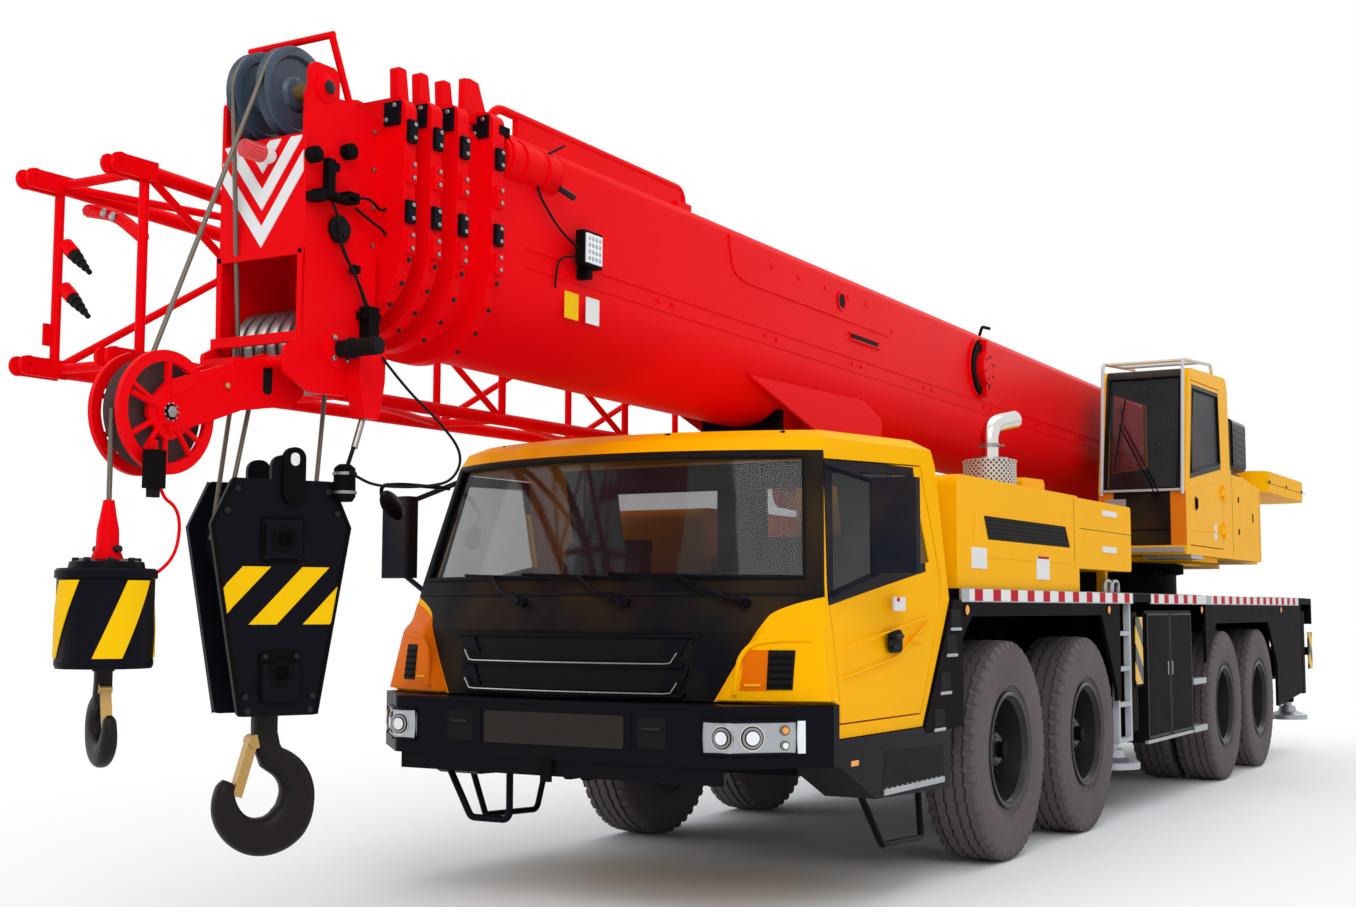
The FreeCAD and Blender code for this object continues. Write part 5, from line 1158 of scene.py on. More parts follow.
@dataclass
class Sheave:
    """Grooved rope wheel on a pin along x.

    Fields:
        x: Distance of its middle to the left.
        station: Station of the pin.
        z: Height of the pin.
        radius: Outer radius.
        width: Width over the lips.
        finish: What it is made of.
        holes: Lightening holes in the web, drawn as dark discs of painted shade.
    """

    x: float
    station: float
    z: float
    radius: float
    width: float
    finish: Finish
    holes: int = 0

    def forms(self) -> list[tuple[Form, Finish]]:
        """Groove, web and hub as one turned profile, with dark discs set in it as painted shade of the lightening
        holes.
        """
        h, r = self.width / 2, self.radius
        bore, groove = 0.03, self.radius - 0.022
        web = min(h * 0.45, 0.010)
        half = [(web, bore), (h * 0.98, bore), (h * 0.98, r * 0.30), (h * 0.85, r * 0.34), (web, r * 0.40),
                (web, r * 0.74), (h * 0.85, r * 0.80), (h * 0.9, r - 0.004), (h * 0.8, r)]
        floor = [(h * 0.30, groove), (h * 0.15, groove - 0.002)]
        rim = np.array(half[1:] + floor)
        profile = np.concatenate([rim, (rim * np.array([-1, 1]))[::-1]])
        place = at(self.x, self.station, self.z)
        out = [(revolved(profile, place, Axis.X, 72, True), self.finish)]
        for turn in range(self.holes):
            angle = 2 * math.pi * turn / self.holes
            spot = place + (0, math.cos(angle) * r * 0.57, math.sin(angle) * r * 0.57)
            # Dark rubber disc in each hole: painted shade of the opening.
            dark = [(-web - 0.001, 0), (-web - 0.001, r * 0.11), (web + 0.001, r * 0.11), (web + 0.001, 0)]
            out.append((revolved(dark, spot, Axis.X, 20), RUBBER))
        return out


@dataclass
class BoomHead:
    """Dress of the boom's head: rope wheels, chevrons, guards, lead ropes and small gear.

    Fields:
        front: Station of the head's front plate.
        half_width: Half the head's width.
        upper_pin: Station and height of the upper wheels' pin.
        upper_x: Distances of the upper wheels.
        upper_radius: Their radius.
        lower_pin: Station and height of the lower wheels' pin.
        lower_pitch: Distance from one lower wheel to the next.
        lower_radius: Their radius.
        chevron_base: Height of the lowest chevron's point.
        chevron_pitch: Rise from one chevron to the next.
        chevron_band: Upright thickness of a band.
        chevron_slope: Rise of an arm over its reach.
        plate_top: Height where the chevrons are cut off.
    """

    front: float = -4.655
    half_width: float = 0.215
    upper_pin: tuple[float, float] = (-4.56, 3.35)
    upper_x: tuple[float, ...] = (-0.095, 0.055)
    upper_radius: float = 0.18
    lower_pin: tuple[float, float] = (-4.46, 2.37)
    lower_pitch: float = 0.058
    lower_radius: float = 0.165
    chevron_base: float = 2.745
    chevron_pitch: float = 0.142
    chevron_band: float = 0.08
    chevron_slope: float = 1.32
    plate_top: float = 3.15

    def sheaves(self) -> None:
        """Rope wheels on their two pins."""
        piece = Piece("head_rope_wheels")
        wheels = [Sheave(x, *self.upper_pin, self.upper_radius, 0.055, SHEAVE) for x in self.upper_x]
        wheels += [Sheave((k - 2.5) * self.lower_pitch, *self.lower_pin, self.lower_radius, 0.05, STEEL)
                   for k in range(6)]
        for wheel in wheels:
            for form, finish in wheel.forms():
                piece.add(form, finish)
        piece.add(bar(at(-0.075, *self.upper_pin), at(0.21, *self.upper_pin), 0.034, 24), BRASS)
        piece.build("boom_section_5", smooth=38, replaces=["head_sheaves"])

    def chevrons(self) -> None:
        """White V bands on the front plate: height over reach rises by the slope, cut off at the plate's top."""
        piece = Piece("head_chevron_plate")
        reach = self.half_width - 0.012
        across = np.linspace(0, reach, 24)
        for k in range(3):
            point = self.chevron_base + k * self.chevron_pitch
            low = np.minimum(point + across * self.chevron_slope, self.plate_top)
            high = np.minimum(low + self.chevron_band, self.plate_top)
            keep = high - low > 0.001
            x, low, high = across[keep], low[keep], high[keep]
            x, low, high = (np.concatenate([-x[:0:-1], x]), np.concatenate([low[:0:-1], low]),
                            np.concatenate([high[:0:-1], high]))
            outline = np.concatenate([np.stack([x, low], -1), np.stack([x, high], -1)[::-1]])
            y = at(0, self.front, 0)[1]
            piece.add(extruded(outline, Axis.Y, y - 0.004, y + 0.001), WHITE)
        piece.build("boom_section_5", smooth=20)

    def ropes(self) -> None:
        """Lead ropes from the upper wheels to the lower wheels and to the auxiliary wheel."""
        piece = Piece("head_lead_ropes")
        s, z = self.upper_pin
        groove = self.upper_radius - 0.014
        wrap = np.radians(np.linspace(60, 180, 14))
        for x, end, angle in ((self.upper_x[0], at(-0.145, self.lower_pin[0] - 0.155, self.lower_pin[1]), wrap),
                              (self.upper_x[1], at(0.0, -5.16 - 0.02, 2.07 + 0.178), np.radians(np.linspace(60, 158, 12)))):
            over = np.stack([np.full(len(angle), x), s + FIRST_AXLE_Y + groove * np.cos(angle),
                             z + groove * np.sin(angle)], -1)
            piece.add(swept(np.concatenate([over, [end]]), 0.009, 10), ROPE)
        piece.build("boom_section_5", smooth=60)

    def gear(self) -> None:
        """Warning lamp, sensor boxes, hose coils and bolts on the head's left cheek."""
        piece = Piece("head_small_gear")
        left, y = self.half_width, self.front
        lamp = at(0.05, y - 0.005, 3.085)
        red = revolved([(-0.15, 0), (-0.155, 0.02), (-0.15, 0.034), (-0.06, 0.036), (-0.06, 0)], lamp, Axis.Y, 28)
        piece.add(red, RED_LENS)
        piece.add(revolved([(-0.06, 0), (-0.06, 0.03), (-0.015, 0.03), (0.0, 0.022), (0.0, 0)], lamp, Axis.Y, 28), WHITE)
        for place, size in (((left, -4.565, 2.93), (0.03, 0.04, 0.15)), ((left, -4.625, 2.925), (0.05, 0.19, 0.025)),
                            ((left, -4.655, 2.90), (0.06, 0.05, 0.035)), ((left, -4.47, 2.93), (0.05, 0.06, 0.04)),
                            ((left, -4.345, 2.40), (0.05, 0.06, 0.15)), ((left, -4.365, 2.50), (0.04, 0.10, 0.03)),
                            ((left, -4.53, 3.04), (0.03, 0.03, 0.03)), ((left, -4.41, 2.67), (0.03, 0.035, 0.03))):
            corner = at(*place)
            piece.add(block(corner, corner + size), BLACK)
        for place in ((left, -4.636, 3.075), (left, -4.445, 3.13)):
            piece.add(revolved([(0, 0), (0, 0.03), (0.04, 0.032), (0.05, 0.02), (0.05, 0)], at(*place), Axis.X, 24), BLACK)
        reel = revolved([(0, 0), (0, 0.05), (0.02, 0.055), (0.03, 0.03), (0.045, 0.03), (0.045, 0)],
                        at(left, -4.481, 2.823), Axis.X, 28)
        piece.add(reel, RUBBER)
        hoses = (((left + 0.02, -4.54, 2.93), (left + 0.05, -4.53, 2.86), (left + 0.04, -4.50, 2.74),
                  (left + 0.03, -4.40, 2.66), (left + 0.03, -4.34, 2.54)),
                 ((left + 0.02, -4.49, 2.79), (left + 0.05, -4.47, 2.70), (left + 0.03, -4.36, 2.60),
                  (left + 0.03, -4.31, 2.50)),
                 ((left + 0.02, -4.45, 2.94), (left + 0.05, -4.36, 2.97), (left + 0.03, -4.26, 2.93),
                  (left + 0.02, -4.20, 2.98)),
                 ((left + 0.02, -4.40, 2.92), (left + 0.04, -4.33, 2.88), (left + 0.03, -4.24, 2.86),
                  (left + 0.02, -4.19, 2.80)))
        for hose in hoses:
            piece.add(swept(rounded_path([at(*point) for point in hose], 0.08), 0.006, 8), RUBBER)
        pin = at(left, *self.lower_pin)
        piece.add(revolved([(0, 0), (0, 0.075), (0.008, 0.075), (0.012, 0.065), (0.012, 0)], pin, Axis.X, 36), RED)
        piece.add(bar(pin, pin + (0.20, 0, 0), 0.034, 24), RUBBER)
        piece.add(bar(pin + (0.06, 0, 0), pin + (0.08, 0, 0), 0.040, 24), RUBBER)
        for turn in range(4):
            angle = math.radians(45 + 90 * turn)
            piece.add(hex_bolt(pin + (0.011, 0.055 * math.cos(angle), 0.055 * math.sin(angle)), Axis.X, 0.011, 0.012), STEEL)
        top = at(left, *self.upper_pin)
        piece.add(revolved([(0, 0), (0, 0.055), (0.008, 0.055), (0.01, 0.05), (0.01, 0)], top, Axis.X, 30), RED)
        piece.add(hex_bolt(top + (0.01, 0, 0), Axis.X, 0.028, 0.02), DARK_STEEL)
        for side in SIDES:
            for z in (2.8, 2.95, 3.1, 3.25):
                bolt = hex_bolt(at(left, -4.28, z), Axis.X, 0.010, 0.010)
                piece.add(bolt.sided(side), STEEL)
        piece.build("boom_section_5", bevel=0.002, smooth=40)

    def guard(self) -> None:
        """Flat red frame round the recess ahead of the lower wheels: a cross bar and two side posts."""
        piece = Piece("head_recess_frame")
        y = self.front
        for low, high in (((-0.215, y - 0.012, 2.700), (0.215, y, 2.722)), ((-0.215, y - 0.012, 2.40), (-0.19, y, 2.722)),
                          ((0.19, y - 0.012, 2.40), (0.215, y, 2.722))):
            piece.add(block(at(*low), at(*high)), RED)
        piece.build("boom_section_5", bevel=0.003)

    def build(self) -> None:
        """Make every piece of the head."""
        self.sheaves()
        self.chevrons()
        self.ropes()
        self.gear()
        self.guard()


@dataclass
class Hook:
    """Forged hook on its yawed block: a tapering rounded section along a round centre line.

    Fields:
        piece_name: Name of the piece.
        body: Frame body.
        node: Frame node that it replaces.
        centre: Middle of the bowl.
        scale: Size over the large hook's.
        yaw: Turn about the upright axis, in degrees.
        top: Height of the shank's end.
        replaces: Whether it takes the node's place alone.
    """

    piece_name: str
    body: str
    node: str
    centre: np.ndarray
    scale: float
    yaw: float
    top: float
    replaces: bool = True

    def centre_line(self) -> tuple[np.ndarray, np.ndarray, np.ndarray]:
        """Line down the shank and round the bowl, with its half thicknesses.

        The bowl is a circle whose angle falls from the top by the back and the bottom to the tip.

        Returns:
            Points as (forward, up), radial half thicknesses, lateral half thicknesses.
        """
        turn = np.radians(np.linspace(78, -208, 60))
        share = np.linspace(0, 1, 60)
        ring = np.interp(share, [0, 0.3, 0.6, 1.0], [0.148, 0.128, 0.136, 0.150])
        bowl = np.stack([np.cos(turn) * ring, np.sin(turn) * ring], -1)
        neck_top = (self.top - self.centre[2]) / self.scale
        rise = np.linspace(neck_top, 0.185, 8)
        neck = np.stack([np.interp(rise, [0.15, 0.24], [0.022, 0.0]), rise], -1)
        radial = np.interp(share, [0, 0.15, 0.42, 0.62, 0.85, 0.97, 1.0],
                           [0.050, 0.060, 0.078, 0.070, 0.050, 0.034, 0.020])
        lateral = np.interp(share, [0, 0.15, 0.5, 0.8, 0.97, 1.0], [0.044, 0.048, 0.050, 0.046, 0.034, 0.018])
        thick = np.full(8, 0.047)
        return (np.concatenate([neck, bowl]), np.concatenate([thick, radial]), np.concatenate([thick, lateral]))

    def form(self) -> Form:
        """Rounded section carried along the centre line: two half thicknesses times a squared-off circle."""
        line, radial, lateral = self.centre_line()
        ahead = np.gradient(line, axis=0)
        ahead /= np.linalg.norm(ahead, axis=1)[:, None]
        normal = np.stack([-ahead[:, 1], ahead[:, 0]], -1)
        angle = np.linspace(0, 2 * math.pi, 24, endpoint=False)
        c, s = np.cos(angle), np.sin(angle)
        power = 0.8
        c, s = np.sign(c) * np.abs(c) ** power, np.sign(s) * np.abs(s) ** power
        forward = line[:, None, 0] + normal[:, None, 0] * radial[:, None] * c[None, :]
        up = line[:, None, 1] + normal[:, None, 1] * radial[:, None] * c[None, :]
        side = lateral[:, None] * s[None, :]
        points = np.stack([side, forward, up], -1) * self.scale
        faces = grid_faces(len(line), 24, False, True)
        faces += [tuple(range(24)), tuple((len(line) - 1) * 24 + k for k in reversed(range(24)))]
        return Form(points.reshape(-1, 3) + self.centre, faces).turned(self.yaw, Axis.Z, self.centre)

    def build(self) -> None:
        """Make hook, collar nut and latch."""
        piece = Piece(self.piece_name)
        k = self.scale
        piece.add(self.form(), FORGED)
        top = self.top - self.centre[2]
        nut = [(top - 0.06 * k, 0), (top - 0.06 * k, 0.058 * k), (top - 0.002, 0.058 * k), (top - 0.002, 0)]
        piece.add(revolved(nut, self.centre, Axis.Z, 32), FORGED)
        latch = [block((-0.026, -0.062, 0.005), (-0.020, -0.030, 0.215)), block((0.020, -0.062, 0.005), (0.026, -0.030, 0.215)),
                 block((-0.026, -0.066, 0.005), (0.026, -0.060, 0.205)),
                 revolved([(-0.034, 0), (-0.034, 0.026), (0.034, 0.026), (0.034, 0)], (0, -0.042, 0.212), Axis.X, 20)]
        for form in latch:
            leaf = Form(form.points * k, form.faces).turned(-16, Axis.X, (0, -0.04 * k, 0.21 * k)).moved(self.centre)
            piece.add(leaf.turned(self.yaw, Axis.Z, self.centre), BRASS)
        piece.build(self.body, bevel=0.0015, smooth=50, replaces=[self.node] if self.replaces else [])


@dataclass
class HookBlock:
    """Main hook block: two black cheeks with stripes, bosses, bolts and a lifting eye.

    Fields:
        station: Station of its middle.
        yaw: Turn about the upright axis, in degrees.
        depth: Half the distance over the cheeks.
        band: Height of the middle of the striped band.
        band_half: Half the height of the band.
    """

    station: float = -4.58
    yaw: float = -26.0
    depth: float = 0.14
    band: float = 1.445
    band_half: float = 0.105

    def face(self, across: float, out: float, z: float) -> np.ndarray:
        """Point on the front cheek before the yaw: across, ahead of the cheek by out, and up."""
        return at(0, self.station, z) + (self.depth + out, across, 0)

    def half_at(self, z: float) -> float:
        """Half width of a cheek at a height."""
        return float(np.interp(z, [1.01, 1.70, 1.87], [0.15, 0.268, 0.19]))

    def stripes(self) -> list[Form]:
        """Slanted parallelograms cut off by the cheek's edges."""
        low, high = self.band - self.band_half, self.band + self.band_half
        forms = []
        x0 = self.face(0, 0, 0)[0]
        middle = self.station + FIRST_AXLE_Y
        for start in (-0.345, -0.12, 0.085):
            z = np.linspace(low, high, 8)
            edge = np.array([self.half_at(value) - 0.004 for value in z])
            first = np.clip(start + (z - low) * 0.95, -edge, edge)
            second = np.clip(start + 0.105 + (z - low) * 0.95, -edge, edge)
            outline = np.concatenate([np.stack([first + middle, z], -1), np.stack([second + middle, z], -1)[::-1]])
            forms.append(extruded(outline, Axis.X, x0 - 0.001, x0 + 0.003))
        return forms

    def turned(self, form: Form) -> list[Form]:
        """The shape on the front cheek and again on the back one."""
        middle = at(0, self.station, 1.4)
        return [form.turned(self.yaw, Axis.Z, middle), form.turned(self.yaw + 180, Axis.Z, middle)]

    def build(self) -> None:
        """Make the dress on both cheeks."""
        piece = Piece("hook_block_dress")
        for form in self.stripes():
            piece.add_all(self.turned(form), DECAL_YELLOW)
        for z, size in ((1.65, 0.082), (1.165, 0.078)):
            place = self.face(0.0, 0, z)
            corner = [(-size, -size), (size, -size), (size, size), (-size, size)]
            y, x = place[1], place[0]
            outline = round_outline(size, size, 0.018, (y, z))
            piece.add_all(self.turned(extruded(outline, Axis.X, x - 0.001, x + 0.010)), BLACK)
            boss = [(0.009, 0), (0.009, 0.052), (0.026, 0.048), (0.028, 0.03), (0.022, 0.026), (0.022, 0)]
            piece.add_all(self.turned(revolved(boss, place, Axis.X, 32)), BLACK)
            for a, b in corner:
                bolt = hex_bolt(place + (0.009, a * 0.76, b * 0.76), Axis.X, 0.011, 0.012)
                piece.add_all(self.turned(bolt), DARK_STEEL)
        rim_z = np.array([1.012, 1.20, 1.45, 1.698, 1.868])
        for sign in SIDES:
            edge = [self.face(sign * (self.half_at(z) - 0.006), 0.002, z) for z in rim_z]
            piece.add_all(self.turned(swept(np.array(edge), 0.007, 8)), BLACK)
        for z in (1.03, 1.08, 1.75, 1.83):
            for sign in SIDES:
                bolt = hex_bolt(self.face(sign * (self.half_at(z) - 0.035), 0, z), Axis.X, 0.013, 0.012)
                piece.add_all(self.turned(bolt), DARK_STEEL)
        middle = at(0, self.station, 1.4)
        y, x = self.face(0.035, 0, 0)[1], self.face(0, 0, 0)[0]
        lug = extruded(round_outline(0.043, 0.105, 0.04, (y, 1.885)), Axis.X, x - 0.002, x + 0.022)
        piece.add(lug.turned(self.yaw, Axis.Z, middle), BLACK)
        hole = extruded(round_outline(0.017, 0.024, 0.016, (y, 1.945)), Axis.X, x + 0.020, x + 0.0235)
        piece.add(hole.turned(self.yaw, Axis.Z, middle), WHITE)
        piece.build("hook_block", bevel=0.0015, smooth=35)


@dataclass
class AuxiliaryWeight:
    """Overhaul weight with stripes, bolted cap and red socket.

    Fields:
        station: Station of the rope.
        low: Bottom of the weight.
        high: Top of the weight.
        radius: Radius of the weight.
    """

    station: float = -5.3373
    low: float = 1.20
    high: float = 1.53
    radius: float = 0.165

    def stripe(self, start: float) -> Form:
        """Slanted band on the round wall: its angle grows with height, from start by the band's width.

        Args:
            start: Angle of its lower edge in degrees.

        Returns:
            The band.
        """
        up = np.linspace(self.low + 0.035, self.high - 0.04, 10)
        across = np.linspace(0, 34, 8)
        angle = np.radians(start + across[None, :] + (up[:, None] - self.low) * 150)
        r = self.radius - 0.006
        layers = [np.stack([r2 * np.cos(angle), r2 * np.sin(angle), np.broadcast_to(up[:, None], angle.shape)], -1)
                  for r2 in (r, r + 0.003)]
        rows, columns = angle.shape
        outer = grid_faces(rows, columns)
        points = np.concatenate([layer.reshape(-1, 3) for layer in layers])
        count = rows * columns
        ring = np.concatenate([np.arange(columns), np.arange(1, rows) * columns + columns - 1,
                               (rows - 1) * columns + np.arange(columns - 2, -1, -1),
                               np.arange(rows - 2, 0, -1) * columns])
        nxt = np.roll(ring, -1)
        wall = np.stack([ring, nxt, nxt + count, ring + count], -1).tolist()
        faces = [tuple(reversed(f)) for f in outer] + [tuple(k + count for k in f) for f in outer]
        return Form(points + np.array([0, self.station + FIRST_AXLE_Y, 0]), faces + [tuple(f) for f in wall])

    def build(self) -> None:
        """Make the weight, its stripes, cap and socket."""
        piece = Piece("auxiliary_weight")
        foot = at(0, self.station, 0)
        r, low, high = self.radius, self.low, self.high
        body = [(low, 0), (low, r * 0.93), (low + 0.012, r * 0.96), (low + 0.026, r * 0.96), (low + 0.03, r - 0.008),
                (high - 0.035, r - 0.008), (high - 0.032, r), (high - 0.008, r), (high, r - 0.008), (high, 0)]
        piece.add(revolved(body, foot, Axis.Z, 72), GLOSS_BLACK)
        for k in range(4):
            piece.add(self.stripe(-150 + 90 * k), DECAL_YELLOW)
        cap = [(high - 0.002, 0), (high - 0.002, 0.125), (high + 0.022, 0.12), (high + 0.03, 0.09), (high + 0.03, 0)]
        piece.add(revolved(cap, foot, Axis.Z, 48), GLOSS_BLACK)
        socket = [(high + 0.01, 0), (high + 0.01, 0.052), (high + 0.03, 0.055), (high + 0.07, 0.038), (high + 0.13, 0.036),
                  (high + 0.17, 0.028), (high + 0.2295, 0.018), (high + 0.2295, 0)]
        piece.add(revolved(socket, foot, Axis.Z, 36), RED)
        piece.add(bar(foot + (-0.06, 0, high + 0.065), foot + (0.06, 0, high + 0.065), 0.012), DARK_STEEL)
        for turn in range(8):
            angle = math.radians(45 * turn + 10)
            place = foot + (0.10 * math.cos(angle), 0.10 * math.sin(angle), high + 0.022)
            piece.add(hex_bolt(place, Axis.Z, 0.012, 0.014), DARK_STEEL)
        piece.build("aux_hook", smooth=35)


@dataclass
class CarrierCab:
    """Dress of the driver's cab: grille, corner panels, wipers, lamps, trim, steering wheel and kerb mirror.

    Fields:
        heights: Heights of the cab's plan sections.
        corner_x: Half width of each section at its front corners.
        corner_y: Station of those corners.
        middle_y: Station of each section's front in the middle.
    """

    heights: tuple[float, ...] = (0.976, 0.982, 1.300, 1.450, 1.523, 2.134, 2.215, 2.262)
    corner_x: tuple[float, ...] = (1.262, 1.260, 1.205, 1.172, 1.158, 1.070, 1.055, 0.985)
    corner_y: tuple[float, ...] = (-2.290, -2.310, -2.262, -2.232, -2.222, -2.035, -1.975, -1.880)
    middle_y: tuple[float, ...] = (-2.388, -2.620, -2.645, -2.600, -2.545, -2.360, -2.270, -2.120)

    def front(self, x: np.ndarray, z: np.ndarray, lift: float = 0.0) -> np.ndarray:
        """Points on the cab's bowed front.

        At each height the front is the circle through its two corners and its middle; lift moves it ahead.

        Args:
            x: Distances to the left.
            z: Heights.
            lift: Distance ahead of the surface.

        Returns:
            The points.
        """
        x, z = np.broadcast_arrays(np.asarray(x, float), np.asarray(z, float))
        cx = np.interp(z, self.heights, self.corner_x)
        cy = np.interp(z, self.heights, self.corner_y)
        my = np.interp(z, self.heights, self.middle_y)
        sag = cy - my
        ring = (cx**2 + sag**2) / (2 * sag)
        y = my + ring - np.sqrt(np.maximum(ring**2 - x**2, 0))
        return np.stack([x, y + FIRST_AXLE_Y - lift, z], -1)

    def patch(self, x: np.ndarray, z: np.ndarray, low: float, high: float) -> Form:
        """Closed sheet over a grid of the front, between two lifts.

        Args:
            x: Grid of distances to the left.
            z: Grid of heights.
            low: Lift of its back.
            high: Lift of its face, or a grid of lifts.

        Returns:
            The sheet.
        """
        rows, columns = x.shape
        layers = [self.front(x, z, low).reshape(-1, 3)]
        face = self.front(x, z, 0.0)
        face[..., 1] -= high
        layers.append(face.reshape(-1, 3))
        inner = grid_faces(rows, columns)
        count = rows * columns
        ring = np.concatenate([np.arange(columns), np.arange(1, rows) * columns + columns - 1,
                               (rows - 1) * columns + np.arange(columns - 2, -1, -1),
                               np.arange(rows - 2, 0, -1) * columns])
        nxt = np.roll(ring, -1)
        wall = [tuple(f) for f in np.stack([ring, nxt, nxt + count, ring + count], -1).tolist()]
        faces = [tuple(reversed(f)) for f in inner] + [tuple(k + count for k in f) for f in inner] + wall
        return Form(np.concatenate(layers), faces)

    def rectangle(self, x0: float, x1: float, z0: float, z1: float, low: float, high: float, taper: float = 0.0,
                  columns: int = 24, rows: int = 3) -> Form:
        """Sheet over a span of the front, narrower at its foot by taper on each side."""
        u, v = np.meshgrid(np.linspace(0, 1, columns), np.linspace(0, 1, rows))
        shift = taper * (1 - v)
        return self.patch(x0 + shift + (x1 - x0 - 2 * shift) * u, z0 + (z1 - z0) * v, low, high)

    def grille(self) -> None:
        """Recessed look of the grille: dark mesh field, frame lips and two bright-edged slats."""
        piece = Piece("cab_grille")
        piece.add(self.rectangle(-0.66, 0.66, 1.00, 1.262, -0.01, 0.004, 0.05), RUBBER)
        for z0, z1 in ((1.145, 1.25), (1.01, 1.105)):
            for z in (z0, z0 + 0.03, z0 + 0.06):
                piece.add(self.rectangle(-0.60, 0.60, z + 0.012, z + 0.020, 0.0, 0.010, 0.02), RUBBER)
            piece.add(self.rectangle(-0.63, 0.63, z0 - 0.012, z0 + 0.006, 0.0, 0.030, 0.012), GLOSS_BLACK)
            share = np.linspace(-1, 1, 40)
            curl = np.clip((np.abs(share) - 0.93) / 0.07, 0, 1) ** 2 * 0.05
            line = self.front(share * 0.60, z0 + 0.004 + curl, 0.031)
            piece.add(swept(line, 0.0045, 6), STEEL)
        for side in SIDES:
            u, v = np.meshgrid(np.linspace(0, 1, 6), np.linspace(0, 1, 4))
            for z0, z1 in ((1.185, 1.262), (1.03, 1.125)):
                x = side * (0.545 + 0.10 * u - 0.04 * (1 - v))
                piece.add(self.patch(x, z0 + (z1 - z0) * v, 0.0, 0.016), GLOSS_BLACK)
        piece.add(self.rectangle(-0.70, 0.70, 1.268, 1.284, 0.0, 0.022, 0.0), GLOSS_BLACK)
        piece.build("carrier", bevel=0.0, smooth=30)

    def corners(self) -> None:
        """Raised panels at the front corners with their air slots; the right panel is given the orange paint as painted
        shade, a darker copy of the left panel's yellow.
        """
        # The right panel's orange is painted shade of the yellow on the left panel.
        for side, colour, name in ((1, YELLOW, "left"), (-1, ORANGE, "right")):
            piece = Piece(f"cab_corner_panel_{name}")
            u, v = np.meshgrid(np.linspace(0, 1, 24), np.linspace(0, 1, 24))
            z = 0.99 + 0.43 * v
            inner = 0.765 + (z - 0.99) * 0.53 + np.maximum(z - 1.33, 0) ** 2 * 20
            outer = np.interp(z, self.heights, self.corner_x) - 0.004
            x = inner + (outer - inner) * u
            bulge = 0.004 + 0.045 * np.clip(np.minimum(u / 0.12, 1), 0, 1) * np.clip((0.80 - v) / 0.12, 0, 1)
            piece.add(self.patch(side * x, z, -0.005, bulge), colour)
            u, v = np.meshgrid(np.linspace(0, 1, 10), np.linspace(0, 1, 8))
            slot_x, slot_z = 0.885 + 0.125 * u + 0.02 * v, 1.035 + 0.18 * v
            piece.add(self.patch(side * slot_x, slot_z, 0.0, 0.052), ORANGE)
            piece.add(self.patch(side * (1.00 + 0.105 * u), 1.04 + 0.175 * v, 0.0, 0.056), RUBBER)
            for k in range(5):
                piece.add(self.patch(side * (1.006 + 0.094 * u), 1.056 + 0.031 * k + 0.008 * v, 0.0, 0.064), BLACK)
            ridge = rounded_path([self.front(side * x, z, 0.052) for x, z in (
                (0.865, 1.015), (0.88, 1.18), (0.93, 1.245), (1.04, 1.262), (1.165, 1.262))], 0.04)
            piece.add(swept(ridge, 0.012, 8), colour)
            piece.add(swept(np.array([self.front(side * x, 1.058, 0.054) for x in (0.905, 0.94, 0.975)]), 0.006, 8), YELLOW)
            piece.build("carrier", smooth=30)

    def windscreen(self) -> None:
        """Thin seal and inner frame line round the windscreen."""
        piece = Piece("windscreen_seal")
        share = np.linspace(0, 1, 30)
        low = np.stack([-1.085 + 2.17 * share, np.full(30, 1.545)], -1)
        high = np.stack([1.0 - 2.0 * share, np.full(30, 2.12)], -1)
        loop = np.concatenate([low, high])
        path = self.front(loop[:, 0], loop[:, 1], 0.004)
        piece.add(swept(path, 0.011, 8, True), RUBBER)
        piece.add(self.rectangle(-1.16, 1.16, 1.462, 1.474, 0.0, 0.006), RUBBER)
        piece.build("carrier", smooth=40)

    def wiper(self, pivot: float, tip_x: float, low_x: float, high_x: float) -> list[tuple[Form, Finish]]:
        """One wiper from its pivot below the windscreen to its blade.

        Args:
            pivot: Distance of the pivot to the left.
            tip_x: Where the arm holds the blade.
            low_x: One end of the blade.
            high_x: Its other end.

        Returns:
            The shapes with finishes.
        """
        base = self.front(pivot, 1.425, 0.0)
        knuckle = self.front(pivot, 1.43, 0.045)
        arm = rounded_path([knuckle, self.front((pivot + tip_x) / 2, 1.475, 0.055), self.front(tip_x, 1.55, 0.03)], 0.06)
        across = np.linspace(low_x, high_x, 12)
        blade = self.front(across, 1.562 - 0.02 * (across - low_x) / (high_x - low_x), 0.016)
        return [(bar(base, knuckle, 0.022, 16), GLOSS_BLACK), (swept(arm, 0.009, 8), GLOSS_BLACK),
                (bar(knuckle, (knuckle * 0.72 + arm[-1] * 0.28), 0.015, 10), GLOSS_BLACK),
                (swept(blade, 0.007, 8), RUBBER), (swept(blade + (0, -0.008, 0.004), 0.004, 6), GLOSS_BLACK)]

    def wipers(self) -> None:
        """Three wipers parked to the right."""
        piece = Piece("windscreen_wipers")
        for pivot, tip, low, high in ((-0.24, -0.50, -0.72, -0.16), (0.33, 0.05, -0.30, 0.30), (0.87, 0.55, 0.20, 0.80)):
            for form, finish in self.wiper(pivot, tip, low, high):
                piece.add(form, finish)
        piece.build("carrier", smooth=45)

    def roof(self) -> None:
        """Roof marker lamps, each with a short bar at its foot."""
        piece = Piece("cab_roof_fittings")
        for x in (-0.82, 0.28, 0.83):
            spot = self.front(x, 2.235, -0.06)
            lamp = revolved([(-0.005, 0), (-0.005, 0.03), (0.012, 0.026), (0.02, 0.012), (0.02, 0)], spot, Axis.Z, 20)
            piece.add(lamp, AMBER if x < 0 else BLACK)
            piece.add(bar(spot, spot + (0.02, -0.03, 0.016), 0.006, 8), BLACK)
        piece.build("carrier", smooth=40)

